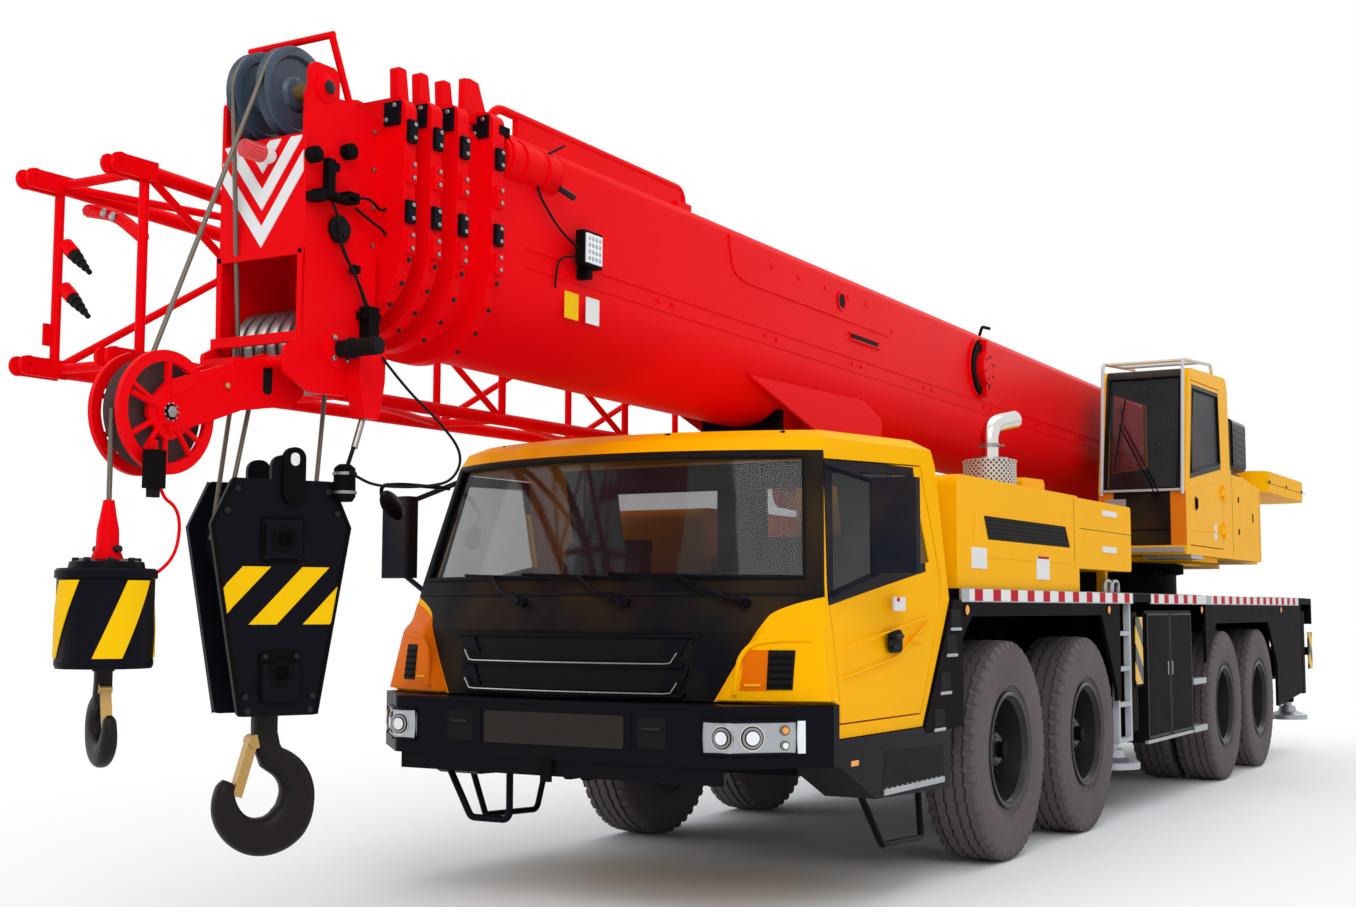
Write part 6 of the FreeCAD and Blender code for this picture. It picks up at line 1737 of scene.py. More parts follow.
    def bumper(self) -> None:
        """Bumper details: number plate recess left blank, tow hatches with bars, upright and long strips and a small
        block.
        """
        piece = Piece("bumper_details")
        y = -2.70 + FIRST_AXLE_Y
        piece.add(extruded(round_outline(0.39, 0.075, 0.015, (0.0, 0.842)), Axis.Y, y - 0.006, y + 0.002), PLATE_BROWN)
        for x in (-0.535, 0.535):
            piece.add(extruded(round_outline(0.075, 0.07, 0.01, (x, 0.842)), Axis.Y, y - 0.003, y + 0.002), RUBBER)
            piece.add(bar((x - 0.05, y - 0.006, 0.862), (x + 0.05, y - 0.006, 0.862), 0.008), DARK_STEEL)
        for x in (-0.42, 0.42):
            piece.add(block((x - 0.006, y - 0.005, 0.755), (x + 0.006, y + 0.001, 0.93)), GLOSS_BLACK)
        piece.add(block((-0.92, y - 0.006, 0.955), (0.92, y + 0.002, 0.972)), GLOSS_BLACK)
        piece.add(block((-0.06, y - 0.014, 0.70), (0.0, y, 0.60)), BLACK)
        piece.build("carrier", bevel=0.002, smooth=30)

    def step_treads(self) -> None:
        """Bright step treads and side marker lamp of the step boxes."""
        piece = Piece("step_details")
        for side in SIDES:
            piece.add(block(at(1.258, -2.18, 0.690), at(1.279, -2.10, 0.715)).sided(side), AMBER)
            pocket = [at(0, *p)[1:] for p in ((-1.83, 0.575), (-1.05, 0.56), (-1.05, 0.72), (-1.80, 0.735))]
            piece.add(extruded(pocket, Axis.X, 1.20, 1.2765).sided(side), RUBBER)
            tread = block(at(1.18, -1.82, 0.528), at(1.285, -1.06, 0.556))
            piece.add(tread.sided(side), GALVANISED)
            for k in range(12):
                piece.add(block(at(1.19, -1.80 + 0.062 * k, 0.556), at(1.283, -1.775 + 0.062 * k, 0.562)).sided(side), STEEL)
            for station, z in ((-0.868, 1.354), (-0.928, 1.22), (-1.02, 1.03), (-1.11, 0.85)):
                piece.add(block(at(1.20, station - 0.06, z - 0.05), at(1.277, station + 0.08, z + 0.045)).sided(side), RUBBER)
                piece.add(block(at(1.20, station - 0.065, z - 0.066), at(1.281, station + 0.085, z - 0.050)).sided(side), GALVANISED)
        piece.build("carrier", bevel=0.003)

    def lamps(self) -> None:
        """Headlamps as bowls under a clear cover on the bumper's slanted ends."""
        for side in SIDES:
            piece = Piece(f"headlamp_set_{'left' if side > 0 else 'right'}")
            start, end = at(0.80, -2.700, 0.836), at(1.24, -2.405, 0.836)
            start, end = at(0.93, -2.702, 0.836), at(1.262, -2.372, 0.836)
            along = unit(end - start)
            out = np.array([along[1], -along[0], 0.0])
            if out[1] > 0:
                out = -out
            first = at(0.80, -2.700, 0.836)

            def spot(distance: float, lift: float, rise: float) -> np.ndarray:
                """Point on the lamp's face: along the bent bumper, ahead of it and up."""
                flat = 0.13
                if distance < flat:
                    return first + (distance, -lift, rise)
                return start + along * (distance - flat) + out * lift + (0, 0, rise)

            cover = np.array([spot(d, 0.006, r) for r in (-0.071, 0.072) for d in np.linspace(0.0, 0.44, 14)])
            back = np.array([spot(d, -0.02, r) for r in (-0.071, 0.072) for d in np.linspace(0.0, 0.44, 14)])
            count = 14
            shell = Form(np.concatenate([cover, back]), [(k, k + 1, k + 1 + count, k + count) for k in range(count - 1)])
            piece.add(shell.sided(side), GALVANISED)
            for distance, radius, finish in ((0.10, 0.055, LENS), (0.235, 0.058, LENS), (0.385, 0.028, AMBER),
                                             (0.385, 0.026, LENS)):
                rise = 0.0 if radius > 0.05 else (0.032 if finish is AMBER else -0.034)
                place = spot(distance, 0.0, rise)
                facing = np.array([0, -1.0, 0]) if distance < 0.13 else out
                for scale, lift, kind in ((1.0, 0.010, CHROME), (0.90, 0.013, DARK_STEEL), (0.80, 0.015, STEEL),
                                          (0.62, 0.017, DARK_STEEL), (0.52, 0.021, finish)):
                    tube = swept([place, place + facing * lift], radius * scale, 28)
                    piece.add(tube.sided(side), kind)
            loop = [spot(d, 0.008, -0.071) for d in np.linspace(0, 0.44, 10)]
            loop += [spot(d, 0.008, 0.072) for d in np.linspace(0.44, 0, 10)]
            piece.add(swept(np.array(loop), 0.007, 8, True).sided(side), GLOSS_BLACK)
            piece.build("carrier", smooth=40)

    def doors(self) -> None:
        """Door handles, seams and panel creases."""
        for side, name in ((1, "left"), (-1, "right")):
            piece = Piece(f"door_details_{name}")
            pocket = extruded(round_outline(0.085, 0.055, 0.03, at(0, -1.626, 1.245)[1:]), Axis.X, 1.256, 1.264)
            piece.add(pocket.sided(side), RUBBER)
            grip = swept(rounded_path([at(1.262, -1.69, 1.262), at(1.280, -1.68, 1.265), at(1.280, -1.58, 1.27),
                                       at(1.262, -1.57, 1.27)], 0.02), 0.012, 10)
            piece.add(grip.sided(side), GLOSS_BLACK)
            piece.add(block(at(1.25, -1.68, 1.205), at(1.272, -1.60, 1.225)).sided(side), GLOSS_BLACK)
            piece.add(block(at(1.25, -1.634, 1.391), at(1.2635, -1.50, 1.458)).sided(side), WHITE)
            piece.add(block(at(1.25, -1.61, 1.435), at(1.264, -1.57, 1.456)).sided(side), TAPE_RED)
            for line in (((-2.20, 1.215), (-1.75, 1.285), (-1.16, 1.365)), ((-2.20, 1.09), (-1.70, 1.155), (-1.60, 1.17),
                                                                          (-1.20, 1.33))):
                path = rounded_path([at(1.2595, *point) for point in line], 0.05)
                piece.add(swept(path, 0.006, 8).sided(side), YELLOW)
            piece.build(f"cab_door_{name}", bevel=0.002)

    def steering(self) -> None:
        """Steering wheel on its column behind the windscreen."""
        piece = Piece("steering_wheel")
        hub = at(0.62, -2.06, 1.50)
        turn = np.linspace(0, 2 * math.pi, 40, endpoint=False)
        ring = np.stack([np.cos(turn) * 0.22, np.sin(turn) * 0.22 * 0.82, np.sin(turn) * 0.22 * 0.57], -1) + hub
        piece.add(swept(ring, 0.014, 10, True), RUBBER)
        for k in (4, 16, 30):
            piece.add(bar(hub, ring[k], 0.011, 8), RUBBER)
        piece.add(bar(hub, hub + (0, -0.15, -0.30), 0.03, 12), RUBBER)
        piece.build("carrier", smooth=50)

    def kerb_mirror(self) -> None:
        """Small round mirror on a bent arm at the right front corner."""
        piece = Piece("kerb_mirror")
        arm = [at(-1.06, -2.13, 2.03), at(-1.22, -2.33, 2.045), at(-1.37, -2.33, 2.045), at(-1.33, -2.35, 1.95)]
        piece.add(swept(rounded_path(arm, 0.05), 0.011, 10), GLOSS_BLACK)
        dish = [(0, 0), (0, 0.082), (0.012, 0.087), (0.024, 0.07), (0.034, 0.03), (0.036, 0)]
        piece.add(revolved(dish, at(-1.27, -2.36, 1.93), Axis.X, 32).turned(-25, Axis.Y, at(-1.27, -2.36, 1.93)), GLOSS_BLACK)
        piece.add(bar(at(-1.33, -2.35, 1.955), at(-1.26, -2.36, 1.935), 0.012, 10), GLOSS_BLACK)
        piece.build("carrier", smooth=45)

    def build(self) -> None:
        """Make every piece of the cab."""
        self.grille()
        self.corners()
        self.windscreen()
        self.wipers()
        self.roof()
        self.bumper()
        self.step_treads()
        self.lamps()
        self.doors()
        self.steering()
        self.kerb_mirror()


def window_ring(outer: Sequence[Point], inner: Sequence[Point], low: float, high: float) -> Form:
    """Flat frame between two outlines with as many corners, from one distance to the left to another.

    Args:
        outer: Corners as (station, height).
        inner: Corners of the opening.
        low: Distance of its back.
        high: Distance of its face.

    Returns:
        The frame.
    """
    n = len(outer)
    points = np.array([at(x, *corner) for x in (low, high) for ring in (outer, inner) for corner in ring])
    faces = []
    for k in range(n):
        m = (k + 1) % n
        faces += [(k, m, n + m, n + k), (2 * n + k, 3 * n + k, 3 * n + m, 2 * n + m), (k, 2 * n + k, 2 * n + m, m),
                  (n + k, n + m, 3 * n + m, 3 * n + k)]
    return Form(points, faces)


@dataclass
class BoomDress:
    """Side strips, bolts, work lamp, blank plates, port reel and collar pads of the telescopic boom.

    Fields:
        pivot: Station and height of the boom's foot pin.
        tilt: Rise of the boom toward its head, in degrees.
        half_width: Half the base section's width.
        mouth: Distance of the mouth ahead of the pin.
        collars: Front, thickness, growth and body of each collar.
        step: How much narrower each section is on a side.
        top: Height of the base section's top over the pin.
    """

    pivot: tuple[float, float] = (7.2, 2.75)
    tilt: float = 0.73
    half_width: float = 0.355
    mouth: float = -10.95
    collars: tuple[tuple[float, float, float, str], ...] = (
        (-10.95, 0.08, 0.036, "boom_base"), (-11.155, 0.07, 0.050, "boom_section_2"),
        (-11.3, 0.07, 0.064, "boom_section_3"), (-11.435, 0.07, 0.078, "boom_section_4"))
    step: float = 0.035
    top: float = 0.527

    def placed(self, form: Form) -> Form:
        """Shape drawn along the level boom, put in its stowed place."""
        return form.moved(at(0, self.pivot[0], self.pivot[1])).turned(-self.tilt, Axis.X,
                                                                    at(0, self.pivot[0], self.pivot[1]))

    def along(self, station: float, height: float) -> tuple[float, float]:
        """Boom distance and height of a place given by station and height."""
        s, z = station - self.pivot[0], height - self.pivot[1]
        a = math.radians(self.tilt)
        return s * math.cos(a) - z * math.sin(a), s * math.sin(a) + z * math.cos(a)

    def strips(self) -> None:
        """Two long weld strips with bolt pairs and the raised panel edge on each side."""
        piece = Piece("boom_side_strips")
        w = self.half_width
        for side in SIDES:
            for z, depth in ((0.045, 0.005), (-0.035, 0.004)):
                strip = block((w - 0.003, self.mouth + 0.3, z - 0.005), (w + depth, 0.2, z + 0.005))
                piece.add(self.placed(strip.sided(side)), RED)
            bolts = np.arange(self.mouth + 1.4, 0.0, 1.12)
            for y in bolts:
                for gap in (0.0, 0.13):
                    bolt = hex_bolt((w, y + gap, 0.005), Axis.X, 0.012, 0.009).sided(side)
                    piece.add(self.placed(bolt), RED)
            edge = rounded_path([(w + 0.001, -8.85, 0.48), (w + 0.001, -8.80, 0.29), (w + 0.001, -8.66, 0.255),
                                 (w + 0.001, -6.75, 0.255), (w + 0.001, -6.70, 0.30)], 0.06)
            piece.add(self.placed(swept(edge, 0.006, 6).sided(side)), RED)
            for y in (-8.35, -8.02, -7.68, -7.36, -7.10):
                dimple = revolved([(0, 0), (0, 0.018), (0.005, 0.016), (0.005, 0)], (w, y, 0.40), Axis.X, 16)
                piece.add(self.placed(dimple.sided(side)), RED)
            for y, z, r in ((-7.46, 0.36, 0.045), (-1.6, 0.37, 0.040)):
                lip = [(0, r), (0.006, r * 1.35), (0.008, r * 1.2), (0.004, r * 0.95)]
                piece.add(self.placed(revolved(lip, (w, y, z), Axis.X, 28, True).sided(side)), RED)
                # Dark rubber disc in each lipped hole: painted shade of the opening.
                hole = revolved([(0, 0), (0.002, r * 0.97), (0.003, 0)], (w, y, z), Axis.X, 24)
                piece.add(self.placed(hole.sided(side)), RUBBER)
            # Dark rubber strip between the two red bars: painted shade of the slot.
            slot = block((w, -7.32, 0.155), (w + 0.010, -6.95, 0.185)).sided(side)
            piece.add(self.placed(slot), RUBBER)
            for z in (0.148, 0.185):
                piece.add(self.placed(block((w, -7.36, z), (w + 0.014, -6.91, z + 0.008)).sided(side)), RED)
        piece.build("boom_base", smooth=40)

    def port(self) -> None:
        """Reel port on each side: a dark ring behind the coiled hose as painted shade of the recess, with rim, cap and
        bolts.
        """
        piece = Piece("boom_port_reels")
        y, z = self.along(2.05, 3.085)
        w = self.half_width
        for side in SIDES:
            # Dark ring behind the coil: painted shade of the reel's recess.
            ring = [(0.004, 0.116), (0.007, 0.116), (0.007, 0.200), (0.004, 0.200)]
            piece.add(self.placed(revolved(ring, (w, y, z), Axis.X, 56, True).sided(side)), RUBBER)
            lip = [(0.002, 0.204), (0.016, 0.206), (0.016, 0.217), (0.002, 0.220)]
            piece.add(self.placed(revolved(lip, (w, y, z), Axis.X, 56, True).sided(side)), RED)
            coil = np.radians(np.linspace(0, 360 * 3, 160))
            radius = np.linspace(0.13, 0.18, 160)
            path = np.stack([np.full(160, w + 0.02), y + radius * np.cos(coil), z + radius * np.sin(coil)], -1)
            piece.add(self.placed(swept(path, 0.009, 7).sided(side)), RUBBER)
            cap = [(0.074, 0), (0.076, 0.105), (0.060, 0.116), (0.050, 0.116)]
            piece.add(self.placed(revolved(cap, (w, y, z), Axis.X, 48).sided(side)), RED)
            arm = block((w + 0.01, y - 0.02, z - 0.20), (w + 0.06, y + 0.02, z + 0.20))
            piece.add(self.placed(arm.sided(side)), RED)
            for turn in range(6):
                angle = math.radians(60 * turn + 20)
                bolt = hex_bolt((w + 0.074, y + 0.08 * math.cos(angle), z + 0.08 * math.sin(angle)), Axis.X, 0.01, 0.008)
                piece.add(self.placed(bolt.sided(side)), DARK_STEEL)
            bracket = rounded_path([(w - 0.06, y + 0.15, z + 0.24), (w - 0.04, y + 0.17, z + 0.33),
                                    (w - 0.04, y + 0.32, z + 0.34)], 0.03)
            piece.add(self.placed(swept(bracket, 0.012, 8).sided(side)), BLACK)
        piece.build("boom_base", bevel=0.002, smooth=40)

    def lamp(self) -> None:
        """Square work lamp on a bracket, its cable and two blank plates."""
        piece = Piece("boom_work_lamp")
        w = self.half_width
        y, z = self.along(-3.04, 2.99)
        piece.add(self.placed(block((w + 0.03, y - 0.075, z - 0.08), (w + 0.075, y + 0.075, z + 0.08))), BLACK)
        piece.add(self.placed(block((w + 0.07, y - 0.063, z - 0.066), (w + 0.083, y + 0.063, z + 0.066))), LENS)
        for row in range(4):
            for column in range(4):
                bulb = revolved([(0, 0), (0, 0.011), (0.004, 0.009), (0.005, 0)],
                                (w + 0.082, y - 0.042 + 0.028 * row, z - 0.045 + 0.03 * column), Axis.X, 10)
                piece.add(self.placed(bulb), GALVANISED)
        piece.add(self.placed(block((w, y - 0.02, z - 0.13), (w + 0.06, y + 0.02, z - 0.075))), BLACK)
        cable = rounded_path([(w + 0.05, y - 0.07, z - 0.01), (w + 0.03, y - 0.2, z + 0.05), (w + 0.012, y - 0.36, z + 0.2),
                              (w + 0.012, y - 0.34, z + 0.34), (w + 0.02, y - 0.16, z + 0.44)], 0.1)
        piece.add(self.placed(swept(cable, 0.006, 7)), RUBBER)
        low = rounded_path([(w + 0.04, y - 0.07, z - 0.04), (w + 0.01, y - 0.18, z - 0.06), (w + 0.01, y - 0.2, z - 0.2)], 0.06)
        piece.add(self.placed(swept(low, 0.005, 7)), RUBBER)
        for station, height, finish in ((-3.10, 2.735, DECAL_YELLOW), (-2.93, 2.735, WHITE)):
            a, b = self.along(station, height)
            piece.add(self.placed(block((w - 0.001, a - 0.055, b - 0.06), (w + 0.002, a + 0.055, b + 0.06))), finish)
        piece.build("boom_base", bevel=0.0015, smooth=40)

    def drum(self) -> None:
        """Flange, straps and bolts of the drum at the mouth's corner."""
        piece = Piece("boom_mouth_drum")
        y0, z = self.along(-3.65, 3.29)
        y1, _ = self.along(-3.255, 3.29)
        x = self.half_width - 0.04
        for y in (y0 + 0.03, y0 + 0.13, y1 - 0.10):
            piece.add(self.placed(revolved([(0, 0.093), (0, 0.103), (0.016, 0.103), (0.016, 0.093)], (x, y, z), Axis.Y, 36,
                                           True)), RED)
        end = [(0, 0), (0, 0.094), (0.006, 0.097), (0.010, 0.09), (0.010, 0)]
        piece.add(self.placed(revolved(end, (x, y1, z), Axis.Y, 36)), RED)
        fin = [(-3.845, 3.40), (-3.84, 3.572), (-3.80, 3.58), (-3.745, 3.575), (-3.70, 3.48), (-3.66, 3.40)]
        for side in SIDES:
            plate = extruded([(at(0, station, 0)[1], height) for station, height in fin], Axis.X, 0.285, 0.315)
            piece.add(plate.sided(side), RED)
        for a, b in ((0.06, 0.09), (0.0, 0.12), (-0.07, 0.09)):
            piece.add(self.placed(block((x + a - 0.02, y0 - 0.05, z + b - 0.02), (x + a + 0.02, y0 + 0.02, z + b + 0.02))), BLACK)
        piece.add(self.placed(bar((x + 0.1, y1 - 0.03, z - 0.07), (x + 0.13, y1 + 0.04, z - 0.10), 0.014, 10)), DARK_STEEL)
        piece.build("boom_base", bevel=0.0015, smooth=40)

    def rails(self) -> None:
        """Tube rail along each top edge behind the mouth, on end brackets."""
        piece = Piece("boom_top_rails")
        for x in (-0.285, 0.285):
            y0, y1 = self.mouth + 0.10, self.mouth + 1.72
            path = rounded_path([(x, y0, self.top + 0.02), (x, y0 + 0.06, self.top + 0.105), (x, y1, self.top + 0.105),
                                 (x, y1 + 0.03, self.top - 0.01)], 0.05)
            piece.add(self.placed(swept(path, 0.02, 10)), RED)
            piece.add(self.placed(block((x - 0.035, y1 - 0.09, self.top - 0.005), (x + 0.035, y1 + 0.05, self.top + 0.03))), RED)
            piece.add(self.placed(hex_bolt((x, y1 - 0.05, self.top + 0.03), Axis.Z, 0.013, 0.012)), STEEL)
        piece.build("boom_base", smooth=40)

    def collar_pads(self) -> None:
        """Black wear-pad holders, bolts and lugs round each collar."""
        for index, (front, thick, growth, body) in enumerate(self.collars):
            piece = Piece(f"collar_pads_{index + 1}")
            half = self.half_width - index * self.step + growth
            top = self.top - index * self.step + growth
            y = front + thick / 2
            for side in SIDES:
                for z in (0.36, 0.20, 0.04, -0.08):
                    pad = block((half - 0.004, y - 0.024, z - 0.045), (half + 0.020, y + 0.024, z + 0.045))
                    piece.add(self.placed(pad.sided(side)), RED if z in (0.20, -0.08) else GLOSS_BLACK)
                    for gap in (-0.026, 0.026):
                        bolt = hex_bolt((half + 0.018, y, z + gap), Axis.X, 0.010, 0.012)
                        piece.add(self.placed(bolt.sided(side)), STEEL)
                holder = block((half - 0.10, front - 0.012, top - 0.115), (half - 0.02, front + 0.004, top - 0.02))
                piece.add(self.placed(holder.sided(side)), GLOSS_BLACK)
                for a, b in ((0.08, 0.095), (0.04, 0.04)):
                    bolt = hex_bolt((half - a, front - 0.012, top - b), Axis.Y, 0.010, -0.012)
                    piece.add(self.placed(bolt.sided(side)), STEEL)
                for angle in np.radians((12, 28, 44, 60)):
                    spot = (math.cos(angle) * half, y, -0.078 - math.sin(angle) * (half + 0.0))
                    base = np.array(spot)
                    out = np.array([math.cos(angle), 0, -math.sin(angle)])
                    piece.add(self.placed(swept([base - out * 0.01, base + out * 0.012], 0.022, 10).sided(side)), RED)
                    piece.add(self.placed(swept([base, base + out * 0.022], 0.010, 6).sided(side)), DARK_STEEL)
            piece.build(body, bevel=0.002, smooth=35)

    def foot(self) -> None:
        """Pin caps at the boom's foot with their bolts."""
        piece = Piece("boom_foot_caps")
        for side in SIDES:
            cap = [(0.0, 0), (0.0, 0.075), (0.008, 0.07), (0.008, 0)]
            piece.add(self.placed(revolved(cap, (0.394, 0, 0), Axis.X, 36).sided(side)), STEEL)
            for turn in range(6):
                angle = math.radians(60 * turn)
                bolt = hex_bolt((0.394, 0.135 * math.cos(angle), 0.135 * math.sin(angle)), Axis.X, 0.014, 0.012)
                piece.add(self.placed(bolt.sided(side)), STEEL)
        piece.build("boom_base", smooth=40)

    def build(self) -> None:
        """Make every piece of the boom's dress."""
        self.strips()
        self.port()
        self.lamp()
        self.drum()
        self.rails()
        self.collar_pads()
        self.foot()


@dataclass
class Cable:
    """Thin free cable that hangs in one smooth line.

    Fields:
        name: Name of the piece.
        body: Frame body that it moves with.
        finish: What it is covered in.
        length: Its real length in metres.
        thickness: Its diameter in metres.
        places: Points that steer its line, each as x, station and height.
        far_end: What its far end is.
    """

    name: str
    body: str
    finish: Finish
    length: float
    thickness: float
    places: tuple[tuple[float, float, float], ...]
    far_end: str = "object"

    def build(self, *fittings: bpy.types.Object) -> None:
        """Make the cable as a round spline of order three through its end places.

        Args:
            fittings: Separate pieces at its far end; not used.
        """
        curve = bpy.data.curves.new(self.name, "CURVE")
        curve.dimensions = "3D"
        line = curve.splines.new("NURBS")
        line.points.add(len(self.places) - 1)
        corners = np.array([(*at(*place), 1.0) for place in self.places])
        line.points.foreach_set("co", corners.ravel())
        line.order_u = 3
        line.use_endpoint_u = True
        curve.bevel_depth = self.thickness / 2
        curve.bevel_resolution = 3
        curve.use_fill_caps = True
        curve.materials.append(self.finish.material())
        obj = bpy.data.objects.new(self.name, curve)
        bpy.context.scene.collection.objects.link(obj)
        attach(obj, self.body)
        LOG.info("%s: %.2f m on %s", self.name, self.length, self.body)


@dataclass
class AuxiliaryHead:
    """Dress of the small rope wheel ahead of the boom: guard spokes, bolts, arm plates, sensor and its cable.

    Fields:
        pin: Station and height of the wheel's pin.
        radius: Radius of the wheel.
        arm_x: Distance of the arms' outer faces.
    """

    pin: tuple[float, float] = (-5.16, 2.07)
    radius: float = 0.19
    arm_x: float = 0.075

    def build(self) -> None:
        """Make guard, bolts, sensor, arm plates and the switch cable."""
        piece = Piece("auxiliary_head_gear")
        hub = at(0, *self.pin)
        for side in SIDES:
            x = side * (self.arm_x + 0.001)
            centre = hub + (x, 0, 0)
            for turn in range(5):
                angle = math.radians(72 * turn + 18)
                tip = centre + (0, math.cos(angle) * 0.17, math.sin(angle) * 0.17)
                piece.add(bar(centre, tip, 0.010, 8), RED)
            boss = [(0, 0), (0, 0.048), (0.012, 0.045), (0.015, 0.03), (0.015, 0)]
            form = revolved(boss, hub + (self.arm_x, 0, 0), Axis.X, 32)
            piece.add(form.sided(side), RED)
            piece.add(hex_bolt(hub + (self.arm_x + 0.014, 0, 0), Axis.X, 0.022, 0.014).sided(side), STEEL)
        for turn in range(9):
            angle = math.radians(40 * turn)
            place = hub + (self.arm_x + 0.001, 0.03 * math.cos(angle), 0.03 * math.sin(angle))
            piece.add(hex_bolt(place, Axis.X, 0.005, 0.02), STEEL)
        place = at(0.095, -5.285, 1.80)
        piece.add(block(place, place + (0.045, 0.065, 0.13)), BLACK)
        piece.add(block(place + (0.01, 0.01, -0.03), place + (0.035, 0.05, 0)), RUBBER)
        piece.add(block(place + (0, 0.02, 0.13), place + (0.02, 0.05, 0.165)), RED)
        arm = [(-4.989, 2.205), (-4.83, 2.285), (-4.569, 2.344), (-4.50, 2.30), (-4.50, 2.20), (-4.56, 2.150),
               (-4.815, 2.112), (-5.00, 2.045), (-5.16, 2.0), (-5.18, 2.10)]
        for side in SIDES:
            plate = extruded([(at(0, station, 0)[1], z) for station, z in arm], Axis.X, 0.074, 0.086)
            piece.add(plate.sided(side), RED)
            # Dark rubber sheet in the arm's slot: painted shade of the opening.
            slot = extruded(round_outline(0.024, 0.055, 0.02, (at(0, -4.695, 0)[1], 2.235)), Axis.X, 0.085, 0.0875)
            piece.add(slot.sided(side), RUBBER)
            piece.add(hex_bolt(at(0.086, -4.90, 2.19), Axis.X, 0.012, 0.012).sided(side), BRASS)
        piece.build("boom_section_5", bevel=0.0015, smooth=40)
        Cable("switch_cable", "boom_section_5", RED, 0.57, 0.012,
              ((0.088, -5.22, 1.895), (0.09, -5.20, 1.78), (0.11, -5.14, 1.745), (0.11, -5.12, 1.665), (0.11, -5.15, 1.56), (0.09, -5.25, 1.49),
               (0.03, -5.31, 1.485))).build()


@dataclass
class HeadBracket:
    """Tapered red post below the head's left cheek with its limit-switch weight."""

    def build(self) -> None:
        """Make post, cable and weight."""
        piece = Piece("head_limit_bracket")
        middle = at(0, -4.345, 0)[1]
        outline = [(middle - 0.075, 2.40), (middle + 0.08, 2.40), (middle + 0.075, 2.26), (middle + 0.045, 2.115),
                   (middle - 0.035, 2.115), (middle - 0.07, 2.24)]
        piece.add(extruded(outline, Axis.X, 0.215, 0.285), RED)
        piece.add(bar(at(0.25, -4.35, 2.13), at(0.25, -4.40, 2.00), 0.013, 12), STEEL)
        piece.add(bar(at(0.25, -4.36, 2.10), at(0.25, -4.44, 1.92), 0.008, 10), RUBBER)
        foot = at(0.25, -4.45, 1.935)
        weight = [(0, 0), (0, 0.022), (-0.015, 0.04), (-0.12, 0.042), (-0.14, 0.03), (-0.14, 0)]
        piece.add(revolved(weight, foot, Axis.Z, 24), BLACK)
        for z in (-0.03, -0.10):
            piece.add(revolved([(z, 0.040), (z, 0.046), (z - 0.012, 0.046), (z - 0.012, 0.040)], foot, Axis.Z, 24, True), STEEL)
        piece.build("boom_section_5", bevel=0.002, smooth=40)
        gland = Piece("head_cable_gland")
        gland.add(bar(at(0.31, -4.465, 1.895), at(0.27, -4.455, 1.905), 0.011, 12), RUBBER)
        Cable("head_cable", "boom_section_5", RUBBER, 1.14, 0.011,
              ((0.27, -4.30, 2.38), (0.35, -4.23, 2.24), (0.43, -4.12, 2.12), (0.46, -4.00, 2.00), (0.45, -4.05, 1.89),
               (0.43, -4.20, 1.86), (0.41, -4.36, 1.85), (0.38, -4.45, 1.855), (0.34, -4.49, 1.885),
               (0.29, -4.46, 1.90)), "fitting").build(gland.build("boom_section_5", smooth=40))


@dataclass
class JibDress:
    """Fork pins, drawbar cones and lugs of the stowed lattice jib.

    Fields:
        front: Station of the chord ends.
        outer_x: Distance of the outer chords.
        inner_x: Distance of the inner chords.
        top: Height of the top chords in front.
        bottom: Height of the bottom chords.
    """

    front: float = -4.65
    outer_x: float = -1.13
    inner_x: float = -0.64
    top: float = 3.12
    bottom: float = 2.36

    def build(self) -> None:
        """Make pins, cones, lugs and gussets."""
        piece = Piece("jib_forks_and_cones")
        for x in (self.outer_x, self.inner_x):
            for z in (self.top, self.bottom):
                end = at(x, self.front - 0.15, z)
                for low in (-0.040, 0.028):
                    eye = [(low, 0.014), (low, 0.040), (low + 0.012, 0.040), (low + 0.012, 0.014)]
                    piece.add(revolved(eye, end, Axis.X, 24, True), RED)
                piece.add(hex_bolt(at(x, self.front - 0.03, z + 0.036), Axis.Z, 0.012, 0.010), STEEL)
        for z in (2.88, 2.70):
            start = at(self.outer_x + 0.02, self.front + 0.02, z)
            tip = unit(np.array([0.75, 0.0, -0.66]))
            piece.add(swept([start, start + tip * 0.07], 0.030, 16), RED)
            for k in range(4):
                a = start + tip * (0.07 + 0.032 * k)
                piece.add(swept([a, a + tip * 0.034], 0.026 - 0.005 * k, 16), RUBBER)
        plate = at(self.outer_x, self.front, 2.50)
        piece.add(block(plate + (-0.006, -0.06, -0.045), plate + (0.006, 0.0, 0.045)), RED)
        link = rounded_path([at(self.outer_x + 0.03, self.front + 0.12, 3.04), at(-0.85, self.front + 0.05, 2.98),
                             at(self.inner_x - 0.02, self.front + 0.02, 2.86)], 0.1)
        piece.add(swept(link, 0.028, 8), RED)
        for share in (0.35, 0.6):
            place = link[int(len(link) * share)]
            piece.add(hex_bolt(place + (0, -0.028, 0), Axis.Y, 0.02, -0.012), STEEL)
        piece.build("boom_base", bevel=0.002, smooth=40)


